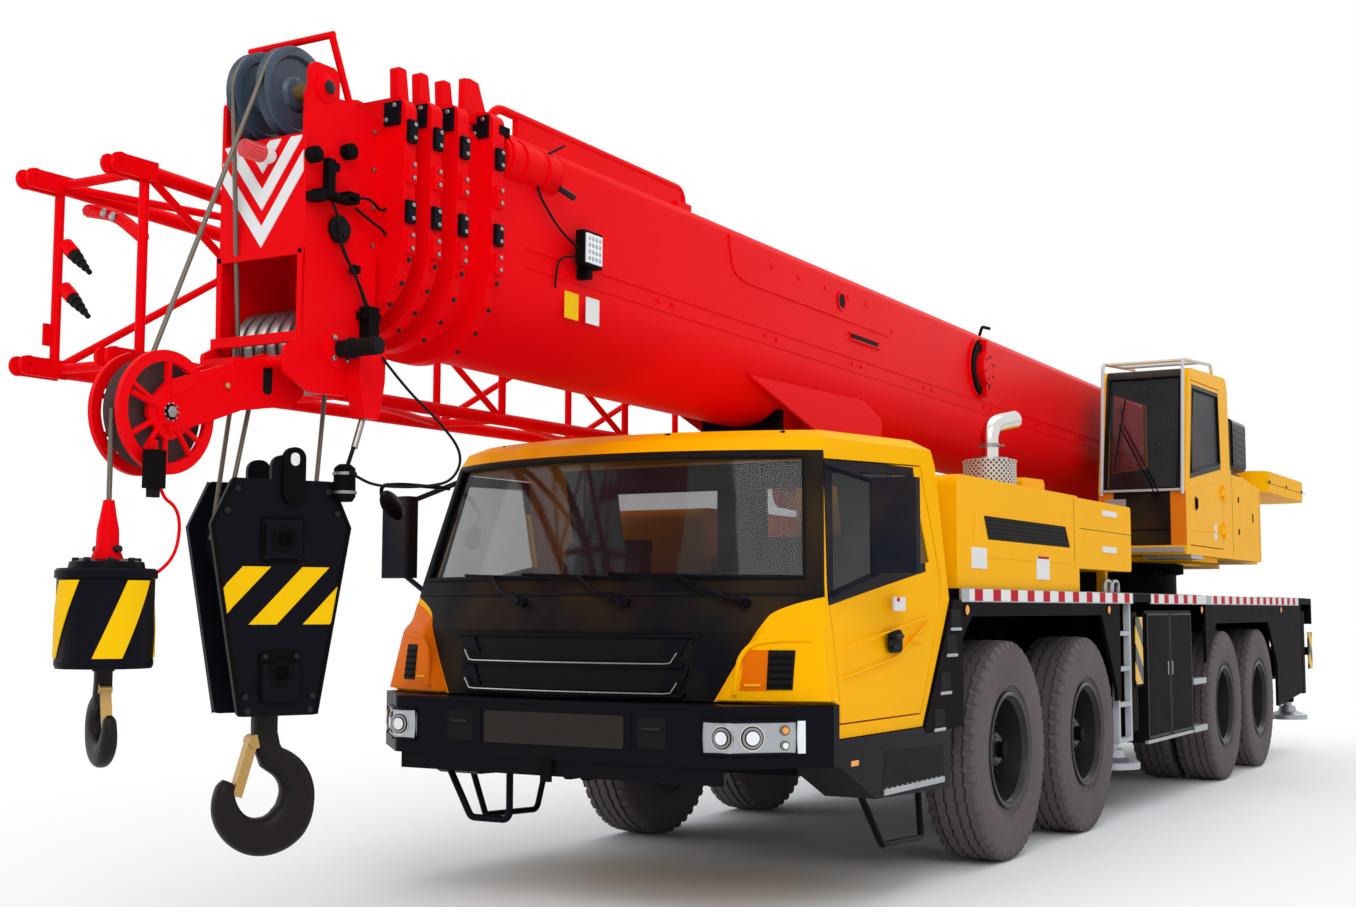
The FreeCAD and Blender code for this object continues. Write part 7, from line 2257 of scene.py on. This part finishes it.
@dataclass
class Carrier:
    """Dress of deck, lockers, housing, outriggers and tail.

    Fields:
        edge_x: Half width of the deck.
        deck_top: Height of the deck.
        deck_front: Station of its front.
        deck_rear: Station of its rear.
        bands: Start, end, first and last red block and their count, for each length of marker tape.
    """

    edge_x: float = 1.275
    deck_top: float = 1.51
    deck_front: float = -0.76
    deck_rear: float = 9.2
    bands: tuple[tuple[float, float, float, float, int], ...] = (
        (-0.74, 2.50, -0.517, 2.364, 11), (3.02, 4.66, 3.131, 4.268, 5), (4.70, 8.50, 4.962, 8.284, 13))

    def edge_band(self) -> None:
        """Bright edge rail with red and white marker blocks along both sides and across the tail."""
        piece = Piece("deck_edge_band")
        z0, z1 = self.deck_top - 0.066, self.deck_top - 0.002
        x = self.edge_x
        for side in SIDES:
            for start, end, first, last, count in self.bands:
                rail = block(at(x - 0.012, start - 0.03, z0 - 0.006), at(x + 0.001, end + 0.02, z1 + 0.002))
                piece.add(rail.sided(side), GALVANISED)
                piece.add(block(at(x, first - 0.14, z0), at(x + 0.0022, end, z1)).sided(side), WHITE)
                for station in np.linspace(first, last, count):
                    red = block(at(x + 0.002, station - 0.062, z0), at(x + 0.003, station + 0.062, z1))
                    piece.add(red.sided(side), TAPE_RED)
        piece.build("carrier")

    def markers(self) -> None:
        """Round amber side markers in black rims."""
        piece = Piece("side_marker_lamps")
        for side in SIDES:
            for station in (-0.70, 1.92, 4.48, 7.62):
                place = at(self.edge_x - 0.001, station, 1.395)
                rim = [(0, 0), (0, 0.034), (0.005, 0.034), (0.006, 0.028), (0.006, 0)]
                piece.add(revolved(rim, place, Axis.X, 24).sided(side), BLACK)
                glow = [(0.005, 0), (0.005, 0.027), (0.010, 0.022), (0.013, 0.010), (0.013, 0)]
                piece.add(revolved(glow, place, Axis.X, 24).sided(side), AMBER)
        piece.build("carrier", smooth=40)

    def lockers(self) -> None:
        """Door leaves, frames and catches on the side lockers."""
        piece = Piece("locker_doors")
        for side in SIDES:
            x = self.edge_x - 0.003
            for start, end in ((2.87, 3.49), (3.51, 4.14)):
                piece.add(block(at(x - 0.002, start, 0.50), at(x + 0.002, end, 1.36)).sided(side), BLACK)
                for a, b, z0, z1 in ((start, start + 0.014, 0.49, 1.37), (end - 0.014, end, 0.49, 1.37),
                                     (start, end, 0.49, 0.504), (start, end, 1.356, 1.37)):
                    piece.add(block(at(x, a, z0), at(x + 0.003, b, z1)).sided(side), DARK_STEEL)
            for z in (0.82, 0.455):
                piece.add(block(at(1.16, 4.155, z), at(1.285, 4.56, z + 0.045)).sided(side), GALVANISED)
            for station in (3.44, 3.56):
                piece.add(block(at(x, station - 0.012, 0.92), at(x + 0.003, station + 0.012, 1.02)).sided(side), STEEL)
            piece.add(block(at(x - 0.02, 2.84, 0.455), at(x + 0.003, 4.17, 0.478)).sided(side), GALVANISED)
        piece.build("carrier", bevel=0.0008)

    def stripes(self) -> None:
        """Yellow and black bands on the outrigger covers and the tail."""
        for front in (True, False):
            for side, name in ((1, "left"), (-1, "right")):
                piece = Piece(f"outrigger_cover_{'front' if front else 'rear'}_{name}")
                station = 2.68 if front else 8.9
                x = 1.155
                panel = block(at(x - 0.002, station - 0.085, 0.60), at(x + 0.003, station + 0.085, 1.34))
                piece.add(panel.sided(side), BLACK)
                if front:
                    piece.add(block(at(x, 2.60, 0.86), at(1.262, 2.76, 1.345)).sided(side), BLACK)
                    face = [at(0, *p)[1:] for p in ((2.585, 0.88), (2.775, 0.88), (2.775, 1.345), (2.60, 1.345))]
                    piece.add(extruded(face, Axis.X, 1.262, 1.268).sided(side), HAZARD)
                else:
                    piece.add(block(at(x, 8.93, 0.94), at(1.279, 9.01, 1.02)).sided(side), BLACK)
                    piece.add(block(at(1.262, 9.00, 0.80), at(1.279, 9.17, 1.17)).sided(side), HAZARD)
                for z in (0.58, 1.36):
                    for dy in (-0.07, 0.07):
                        piece.add(hex_bolt(at(x, station + dy, z), Axis.X, 0.012, 0.010).sided(side), STEEL)
                piece.build(f"outrigger_beam_{'front' if front else 'rear'}_{name}", bevel=0.0)

    def floats(self) -> None:
        """Ribbed float plates: a dished ring with eight ribs on each."""
        for end, station in (("front", 2.68), ("rear", 8.9)):
            for side, name in ((1, "left"), (-1, "right")):
                low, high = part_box(f"jack_{end}_{name}")
                piece = Piece(f"float_{end}_{name}")
                centre = np.array([side * 1.08, (low.y + high.y) / 2, 0.345])
                plate = [(0.001, 0.05), (0.001, 0.165), (0.006, 0.17), (0.010, 0.16), (0.012, 0.06)]
                piece.add(revolved(plate, centre, Axis.Z, 40, True), GALVANISED)
                for turn in range(8):
                    angle = math.radians(45 * turn + 22)
                    out = np.array([math.cos(angle), math.sin(angle), 0])
                    across = np.array([-out[1], out[0], 0]) * 0.005
                    a, b = centre + out * 0.05, centre + out * 0.16
                    points = np.array([a - across, a + across, b + across, b - across,
                                       a - across + (0, 0, 0.045), a + across + (0, 0, 0.045), b + across + (0, 0, 0.012),
                                       b - across + (0, 0, 0.012)])
                    faces = [(0, 1, 2, 3), (4, 7, 6, 5), (0, 4, 5, 1), (1, 5, 6, 2), (2, 6, 7, 3), (3, 7, 4, 0)]
                    piece.add(Form(points, faces), GALVANISED)
                piece.build(f"jack_{end}_{name}", smooth=40)

    def housing(self) -> None:
        """Louvred air slot, seams, catches and blank plates of the engine housing."""
        piece = Piece("housing_details")
        x = 1.245
        outer = [(-0.50, 1.685), (1.24, 1.685), (1.24, 1.93), (-0.50, 1.93)]
        inner = [(-0.282, 1.784), (1.211, 1.784), (1.117, 1.914), (-0.348, 1.914)]
        piece.add(window_ring(outer, inner, x - 0.001, x + 0.004), YELLOW)
        # Dark rubber sheet behind the slats: painted shade inside the air slot.
        piece.add(extruded([at(0, *p)[1:] for p in inner], Axis.X, x - 0.002, x + 0.001), RUBBER)
        for k in range(5):
            z = 1.80 + 0.023 * k
            slat = [(-0.29 - 0.012 * k, z), (1.19 - 0.017 * k, z), (1.19 - 0.017 * k, z + 0.005), (-0.29 - 0.012 * k, z + 0.005)]
            piece.add(extruded([at(0, *p)[1:] for p in slat], Axis.X, x, x + 0.002), BLACK)
        for (s0, z0), (s1, z1) in (((-0.54, 1.62), (-0.31, 1.735)), ((0.546, 1.576), (0.783, 1.715)),
                                   ((1.925, 2.02), (2.252, 2.058)), ((1.908, 1.777), (2.234, 1.817))):
            piece.add(block(at(x - 0.001, s0, z0), at(x + 0.006, s1, z1)), WHITE)
        piece.add(block(at(x - 0.001, 0.56, 1.70), at(x + 0.0068, 0.77, 1.715)), TAPE_RED)
        piece.add(block(at(x - 0.001, 1.42, 1.914), at(x + 0.001, 2.60, 1.918)), RUBBER)
        piece.add(block(at(x - 0.001, 1.30, 1.70), at(x + 0.0012, 1.304, 2.10)), RUBBER)
        box = [(1.19, 2.10), (1.19, 2.215), (1.22, 2.24), (1.60, 2.25), (1.63, 2.225), (1.63, 2.10)]
        piece.add(extruded([at(0, *p)[1:] for p in box], Axis.X, 0.70, 0.95), YELLOW)
        for k in range(12):
            piece.add(block(at(0.36, -0.52 + 0.07 * k, 2.1195), at(0.62, -0.49 + 0.07 * k, 2.1265)), BLACK)
        for k in range(12):
            piece.add(block(at(-1.1, -0.40 + 0.09 * k, 1.9795), at(-0.5, -0.36 + 0.09 * k, 1.987)), BLACK)
        handle = rounded_path([at(0.9, 0.1, 2.12), at(0.9, 0.1, 2.16), at(0.9, 0.32, 2.16), at(0.9, 0.32, 2.12)], 0.02)
        piece.add(swept(handle, 0.008, 8), BLACK)
        piece.build("carrier", bevel=0.001, smooth=35)

    def deck_details(self) -> None:
        """Tread plates, lifting shackles and tail lamps."""
        piece = Piece("deck_and_tail_details")
        for start, end in ((1.5, 4.6), (6.9, 9.1)):
            for side in SIDES:
                piece.add(block(at(0.5, start, self.deck_top - 0.001), at(1.25, end, self.deck_top + 0.004)).sided(side), TREAD)
        for start, end in ((2.10, 2.24), (2.28, 2.42)):
            shackle = [at(1.20, start, 1.51), at(1.20, start, 1.59), at(1.20, end, 1.59), at(1.20, end, 1.51)]
            piece.add(swept(rounded_path(shackle, 0.05), 0.013, 10), GALVANISED)
        y = self.deck_rear
        for side in SIDES:
            cluster = block(at(0.72, y - 0.001, 1.12), at(1.16, y + 0.03, 1.26)).sided(side)
            piece.add(cluster, BLACK)
            for x, finish in ((0.80, RED_LENS), (0.94, AMBER), (1.08, RED_LENS)):
                lens = revolved([(0.028, 0), (0.028, 0.05), (0.036, 0.045), (0.042, 0.02), (0.042, 0)],
                                at(x, y, 1.19), Axis.Y, 28)
                piece.add(lens.sided(side), finish)
        piece.build("carrier", bevel=0.002, smooth=40)

    def build(self) -> None:
        """Make every piece of the carrier's dress."""
        self.edge_band()
        self.markers()
        self.lockers()
        self.stripes()
        self.floats()
        self.housing()
        self.deck_details()


@dataclass
class OperatorCab:
    """Dress of the operator's cab: seal, wiper, grab bar, sills, step, catches and housing fittings.

    Fields:
        low_x: Inner side of the cab.
        high_x: Outer side of the cab.
        front: Station of the front at the foot.
        rear: Station of the rear.
        floor: Height of its floor.
    """

    low_x: float = 0.56
    high_x: float = 1.25
    front: float = 4.18
    rear: float = 5.75
    floor: float = 1.83

    def face(self, x: float, z: float, lift: float) -> np.ndarray:
        """Point on the front: upright to the waist, then leaning back."""
        return at(x, self.front + max(z - 2.33, 0) * 0.182 - lift, z)

    def sheet(self, x0: float, x1: float, z0: float, z1: float, low: float, high: float) -> Form:
        """Flat sheet on the front between two lifts."""
        corners = [(x0, z0), (x1, z0), (x1, z1), (x0, z1)]
        points = np.array([self.face(x, z, low) for x, z in corners] + [self.face(x, z, high) for x, z in corners])
        faces = [(0, 1, 2, 3), (7, 6, 5, 4), (0, 4, 5, 1), (1, 5, 6, 2), (2, 6, 7, 3), (3, 7, 4, 0)]
        return Form(points, faces)

    def front_details(self) -> None:
        """Seal, wiper, grab bar, apron steps and bright sill."""
        piece = Piece("operator_cab_front")
        seal = np.array([self.face(x, z, 0.003) for x, z in ((0.625, 2.352), (1.185, 2.352), (1.185, 3.25), (0.625, 3.25))])
        piece.add(swept(seal, 0.011, 8, True), RUBBER)
        pivot, tip = self.face(1.02, 2.30, 0.03), self.face(0.72, 2.86, 0.035)
        piece.add(bar(self.face(1.02, 2.30, 0.0), pivot, 0.018, 14), BLACK)
        for shift in (0.0, 0.035):
            piece.add(bar(pivot + (shift, 0, 0), tip + (shift, 0, 0.01), 0.006, 8), GLOSS_BLACK)
        piece.add(bar(self.face(0.69, 2.52, 0.02), self.face(0.76, 3.08, 0.02), 0.007, 8), RUBBER)
        piece.add(self.sheet(0.575, 1.235, 1.845, 1.885, 0.0, 0.03), GALVANISED)
        piece.add(self.sheet(0.60, 1.21, 2.325, 2.345, 0.0, 0.028), GALVANISED)
        piece.add(self.sheet(0.66, 1.12, 2.02, 2.028, 0.0, 0.008), GLOSS_BLACK)
        piece.add(self.sheet(0.62, 0.78, 2.17, 2.27, 0.0, 0.006), GALVANISED)
        piece.build("superstructure", bevel=0.001, smooth=40)

    def side_details(self) -> None:
        """Door seams, window surround, handle and blank plate, with catches, seams, a step plate and a louvred case on
        the housing.
        """
        piece = Piece("operator_door_details")
        x = self.high_x
        window = [(x + 0.0005, *at(0, s, z)[1:]) for s, z in ((4.36, 2.48), (5.36, 2.62), (5.32, 3.18), (4.48, 3.16))]
        piece.add(swept(np.array(window), 0.009, 8, True), RUBBER)
        surround = [(4.325, 2.43), (5.385, 2.575), (5.345, 3.215), (4.452, 3.195)]
        inner = [(4.40, 2.50), (5.355, 2.63), (5.315, 3.175), (4.52, 3.155)]
        piece.add(window_ring(surround, inner, x - 0.001, x + 0.0025), GLOSS_BLACK)
        handle = extruded(round_outline(0.028, 0.055, 0.02, at(0, 4.50, 2.24)[1:]), Axis.X, x, x + 0.004)
        piece.add(handle, RUBBER)
        piece.add(bar(at(x + 0.012, 4.50, 2.20), at(x + 0.012, 4.50, 2.28), 0.008, 10), BLACK)
        for z, rise, end in ((2.36, 0.10, 5.25), (2.02, 0.02, 5.25)):
            piece.add(bar(at(x, 4.36, z), at(x, end, z + rise), 0.005, 8), YELLOW)
        piece.add(block(at(x - 0.001, 5.12, 1.97), at(x + 0.002, 5.20, 2.10)), WHITE)
        piece.build("operator_door", smooth=40)
        outer = Piece("operator_housing_details")
        for z in (2.05, 2.33):
            outer.add(block(at(x - 0.001, 6.02, z), at(x + 0.004, 6.06, z + 0.05)), BLACK)
        outer.add(block(at(x - 0.001, 5.80, 1.86), at(x + 0.0012, 5.804, 2.55)), RUBBER)
        outer.add(block(at(x - 0.001, 6.90, 1.86), at(x + 0.0012, 6.904, 2.48)), RUBBER)
        outer.add(block(at(x - 0.001, 6.60, 2.18), at(x + 0.004, 6.63, 2.26)), BLACK)
        outer.add(block(at(0.86, 4.35, 1.80), at(1.24, 4.75, 1.832)), GALVANISED)
        case = extruded(round_outline(0.17, 0.225, 0.05, (1.035, 2.86)), Axis.Y, at(0, 6.10, 0)[1], at(0, 6.62, 0)[1])
        outer.add(case, GLOSS_BLACK)
        for k in range(6):
            outer.add(block(at(1.204, 6.18, 2.70 + 0.055 * k), at(1.209, 6.54, 2.715 + 0.055 * k)), DARK_STEEL)
        outer.build("superstructure", bevel=0.001, smooth=40)

    def build(self) -> None:
        """Make front and side pieces."""
        self.front_details()
        self.side_details()


@dataclass
class Superstructure:
    """Dress of the turntable: rope layers and motors on the winches, counterweight fittings and hoses.

    Fields:
        winches: Stations of the two drums.
        drum_z: Height of their shafts.
        drum_radius: Radius of a bare drum.
    """

    winches: tuple[float, float] = (8.18, 8.64)
    drum_z: float = 2.40
    drum_radius: float = 0.165

    def rope_layers(self) -> None:
        """Rope wound on each drum: radius rises and falls with every turn along the drum."""
        piece = Piece("winch_rope_layers")
        turns = 26
        samples = np.arange(turns * 8 + 1)
        along = -0.285 + 0.57 * samples / (turns * 8)
        radius = self.drum_radius + 0.016 + 0.007 * np.abs(np.sin(math.pi * samples / 8))
        profile = np.concatenate([[(along[0], self.drum_radius - 0.01)], np.stack([along, radius], -1),
                                  [(along[-1], self.drum_radius - 0.01)]])
        for station in self.winches:
            piece.add(revolved(profile, at(0, station, self.drum_z), Axis.X, 40, True), ROPE)
            for side in SIDES:
                motor = [(0.40, 0), (0.40, 0.10), (0.43, 0.10), (0.44, 0.07), (0.47, 0.07), (0.475, 0.05), (0.475, 0)]
                piece.add(revolved(motor, at(0, station, self.drum_z), Axis.X, 32).sided(side), DARK_STEEL)
                for turn in range(8):
                    angle = math.radians(45 * turn)
                    bolt = hex_bolt(at(0.43, station + 0.085 * math.cos(angle), self.drum_z + 0.085 * math.sin(angle)),
                                    Axis.X, 0.011, 0.010)
                    piece.add(bolt.sided(side), STEEL)
        piece.build("superstructure", smooth=50)

    def counterweight(self) -> None:
        """Lifting eyes, seams and bolts on the tail weight."""
        piece = Piece("counterweight_fittings")
        for side in SIDES:
            for station in (7.55, 8.95):
                foot = at(0.95, station, 2.70)
                eye = rounded_path([foot + (0, -0.07, 0), foot + (0, -0.06, 0.085), foot + (0, 0.06, 0.085),
                                    foot + (0, 0.07, 0)], 0.05)
                piece.add(swept(eye, 0.014, 10).sided(side), BLACK)
            for station in (7.4, 8.2, 9.0):
                piece.add(hex_bolt(at(1.25, station, 2.6), Axis.X, 0.016, 0.01).sided(side), DARK_STEEL)
            piece.add(block(at(1.249, 7.27, 2.585), at(1.2512, 9.24, 2.589)).sided(side), RUBBER)
        piece.build("superstructure", bevel=0.0, smooth=40)

    def hoses(self) -> None:
        """Hydraulic hoses from the table to the winches and the boom's foot."""
        piece = Piece("superstructure_hoses")
        for k in range(5):
            x = -0.20 + 0.10 * k
            line = rounded_path([at(x, 6.35, 1.86), at(x, 6.45, 2.05), at(x * 0.9, 7.0, 2.12), at(x * 0.8, 7.6, 2.16)], 0.15)
            piece.add(swept(line, 0.014, 8), RUBBER)
        piece.build("superstructure", smooth=50)

    def build(self) -> None:
        """Make every piece of the turntable's dress."""
        self.rope_layers()
        self.counterweight()
        self.hoses()


@dataclass
class Stage:
    """Floor, backdrop light, lamps and camera.

    Fields:
        camera_place: Where the camera stands, as x, station and height.
        camera_ahead: Direction it looks in.
        roll: Its turn about that direction, in degrees.
        lens: Focal length in mm on a 36 mm wide sensor.
        floor_colour: Colour of the floor.
        bright_from: Distance from the crane where the floor starts to fade to white.
        bright_to: Distance where it is white.
        sky: Strength of the soft light from all round.
    """

    camera_place: tuple[float, float, float] = (4.526, -9.306, 1.405)
    camera_ahead: tuple[float, float, float] = (-0.50206, 0.86014, 0.08996)
    roll: float = 0.13
    lens: float = 45.26
    floor_colour: Colour = (0.95, 0.95, 0.95)
    bright_from: float = 2.6
    bright_to: float = 6.5
    sky: float = 0.67

    def build(self) -> None:
        """Make the stage."""
        self.floor()
        self.world()
        self.lamp("key", (7.5, -14.0, 11.0), 9.0, 860.0)
        self.lamp("fill", (-13.0, -12.0, 7.0), 10.0, 410.0)
        self.lamp("rear", (4.0, 16.0, 10.0), 10.0, 480.0)
        self.lamp("top", (0.0, 0.0, 16.0), 14.0, 640.0)
        self.camera()
        bpy.context.scene.view_settings.view_transform = "Standard"

    def floor(self) -> None:
        """Wide pale floor just under the wheels."""
        mesh = bpy.data.meshes.new("floor")
        half = 60.0
        mesh.from_pydata([(-half, -half, 0), (half, -half, 0), (half, half, 0), (-half, half, 0)], [], [(0, 1, 2, 3)])
        material = bpy.data.materials.new("pale_floor")
        graph = Graph(material)
        speck = graph.noise(0.6, 2.0)
        graph.surface(Base_Color=graph.mix(speck * 0.04, self.floor_colour, (0.85, 0.85, 0.85)), Roughness=0.7,
                      Specular_IOR_Level=0.2)
        x, y, _ = graph.axes()
        away = ((x * x + y * y * 0.35) ** 0.5).ramp(self.bright_from, self.bright_to)
        seen = graph.node("ShaderNodeLightPath", {}, {}, "Is Camera Ray")
        graph.glow_over(away * seen)
        mesh.materials.append(material)
        obj = bpy.data.objects.new("floor", mesh)
        bpy.context.scene.collection.objects.link(obj)

    def world(self) -> None:
        """White where the camera, gloss or glass sees it, soft grey light elsewhere."""
        world = bpy.data.worlds.new("studio")
        bpy.context.scene.world = world
        graph = Graph(world, "ShaderNodeOutputWorld", "ShaderNodeBackground")
        graph.surface(Color=(0.9, 0.95, 1.0), Strength=self.sky)
        camera, gloss, glass = (graph.node("ShaderNodeLightPath", {}, {}, f"Is {kind} Ray")
                                for kind in ("Camera", "Glossy", "Transmission"))
        graph.glow_over((camera + gloss + glass).clamped(), "ShaderNodeBackground")

    def lamp(self, name: str, place: Point, size: float, power: float) -> None:
        """Soft square lamp that points at the crane.

        Args:
            name: Its name.
            place: Where it hangs.
            size: Its width.
            power: Its power in watts.
        """
        data = bpy.data.lights.new(name, "AREA")
        data.size, data.energy = size, power
        obj = bpy.data.objects.new(name, data)
        obj.location = place
        obj.rotation_mode = "QUATERNION"
        obj.rotation_quaternion = (Vector((0, -1.5, 1.5)) - Vector(place)).to_track_quat("-Z", "Y")
        bpy.context.scene.collection.objects.link(obj)

    def camera(self) -> None:
        """Camera at the photograph's angle."""
        data = bpy.data.cameras.new("camera")
        data.lens, data.sensor_width = self.lens, 36.0
        data.clip_start, data.clip_end = 0.1, 200.0
        obj = bpy.data.objects.new("camera", data)
        obj.location = Vector(at(*self.camera_place))
        obj.rotation_mode = "QUATERNION"
        ahead = Vector(self.camera_ahead).normalized()
        turn = Quaternion(ahead, math.radians(-self.roll)) @ ahead.to_track_quat("-Z", "Y")
        obj.rotation_quaternion = turn
        bpy.context.scene.collection.objects.link(obj)
        bpy.context.scene.camera = obj


def main() -> None:
    """Dress the frame, build the pieces and set the stage."""
    logging.basicConfig(level=logging.INFO, format="%(message)s")
    dress_frame_nodes()
    for number in (1, 2, 3, 4):
        for side in SIDES:
            Wheel(number, side).build()
    Exhaust().build()
    BoomHead().build()
    HookBlock().build()
    AuxiliaryWeight().build()
    Hook("main_hook_forging", "main_hook", "main_hook", at(0, -4.58, 0.6997), 1.0, -26.0, 1.0647).build()
    Hook("auxiliary_hook_forging", "aux_hook", "aux_hook", at(0, -5.3373, 1.001), 0.62, 64.0, 1.227).build()
    AuxiliaryHead().build()
    HeadBracket().build()
    BoomDress().build()
    JibDress().build()
    CarrierCab().build()
    Carrier().build()
    OperatorCab().build()
    Superstructure().build()
    Stage().build()


if __name__ == "__main__":
    main()
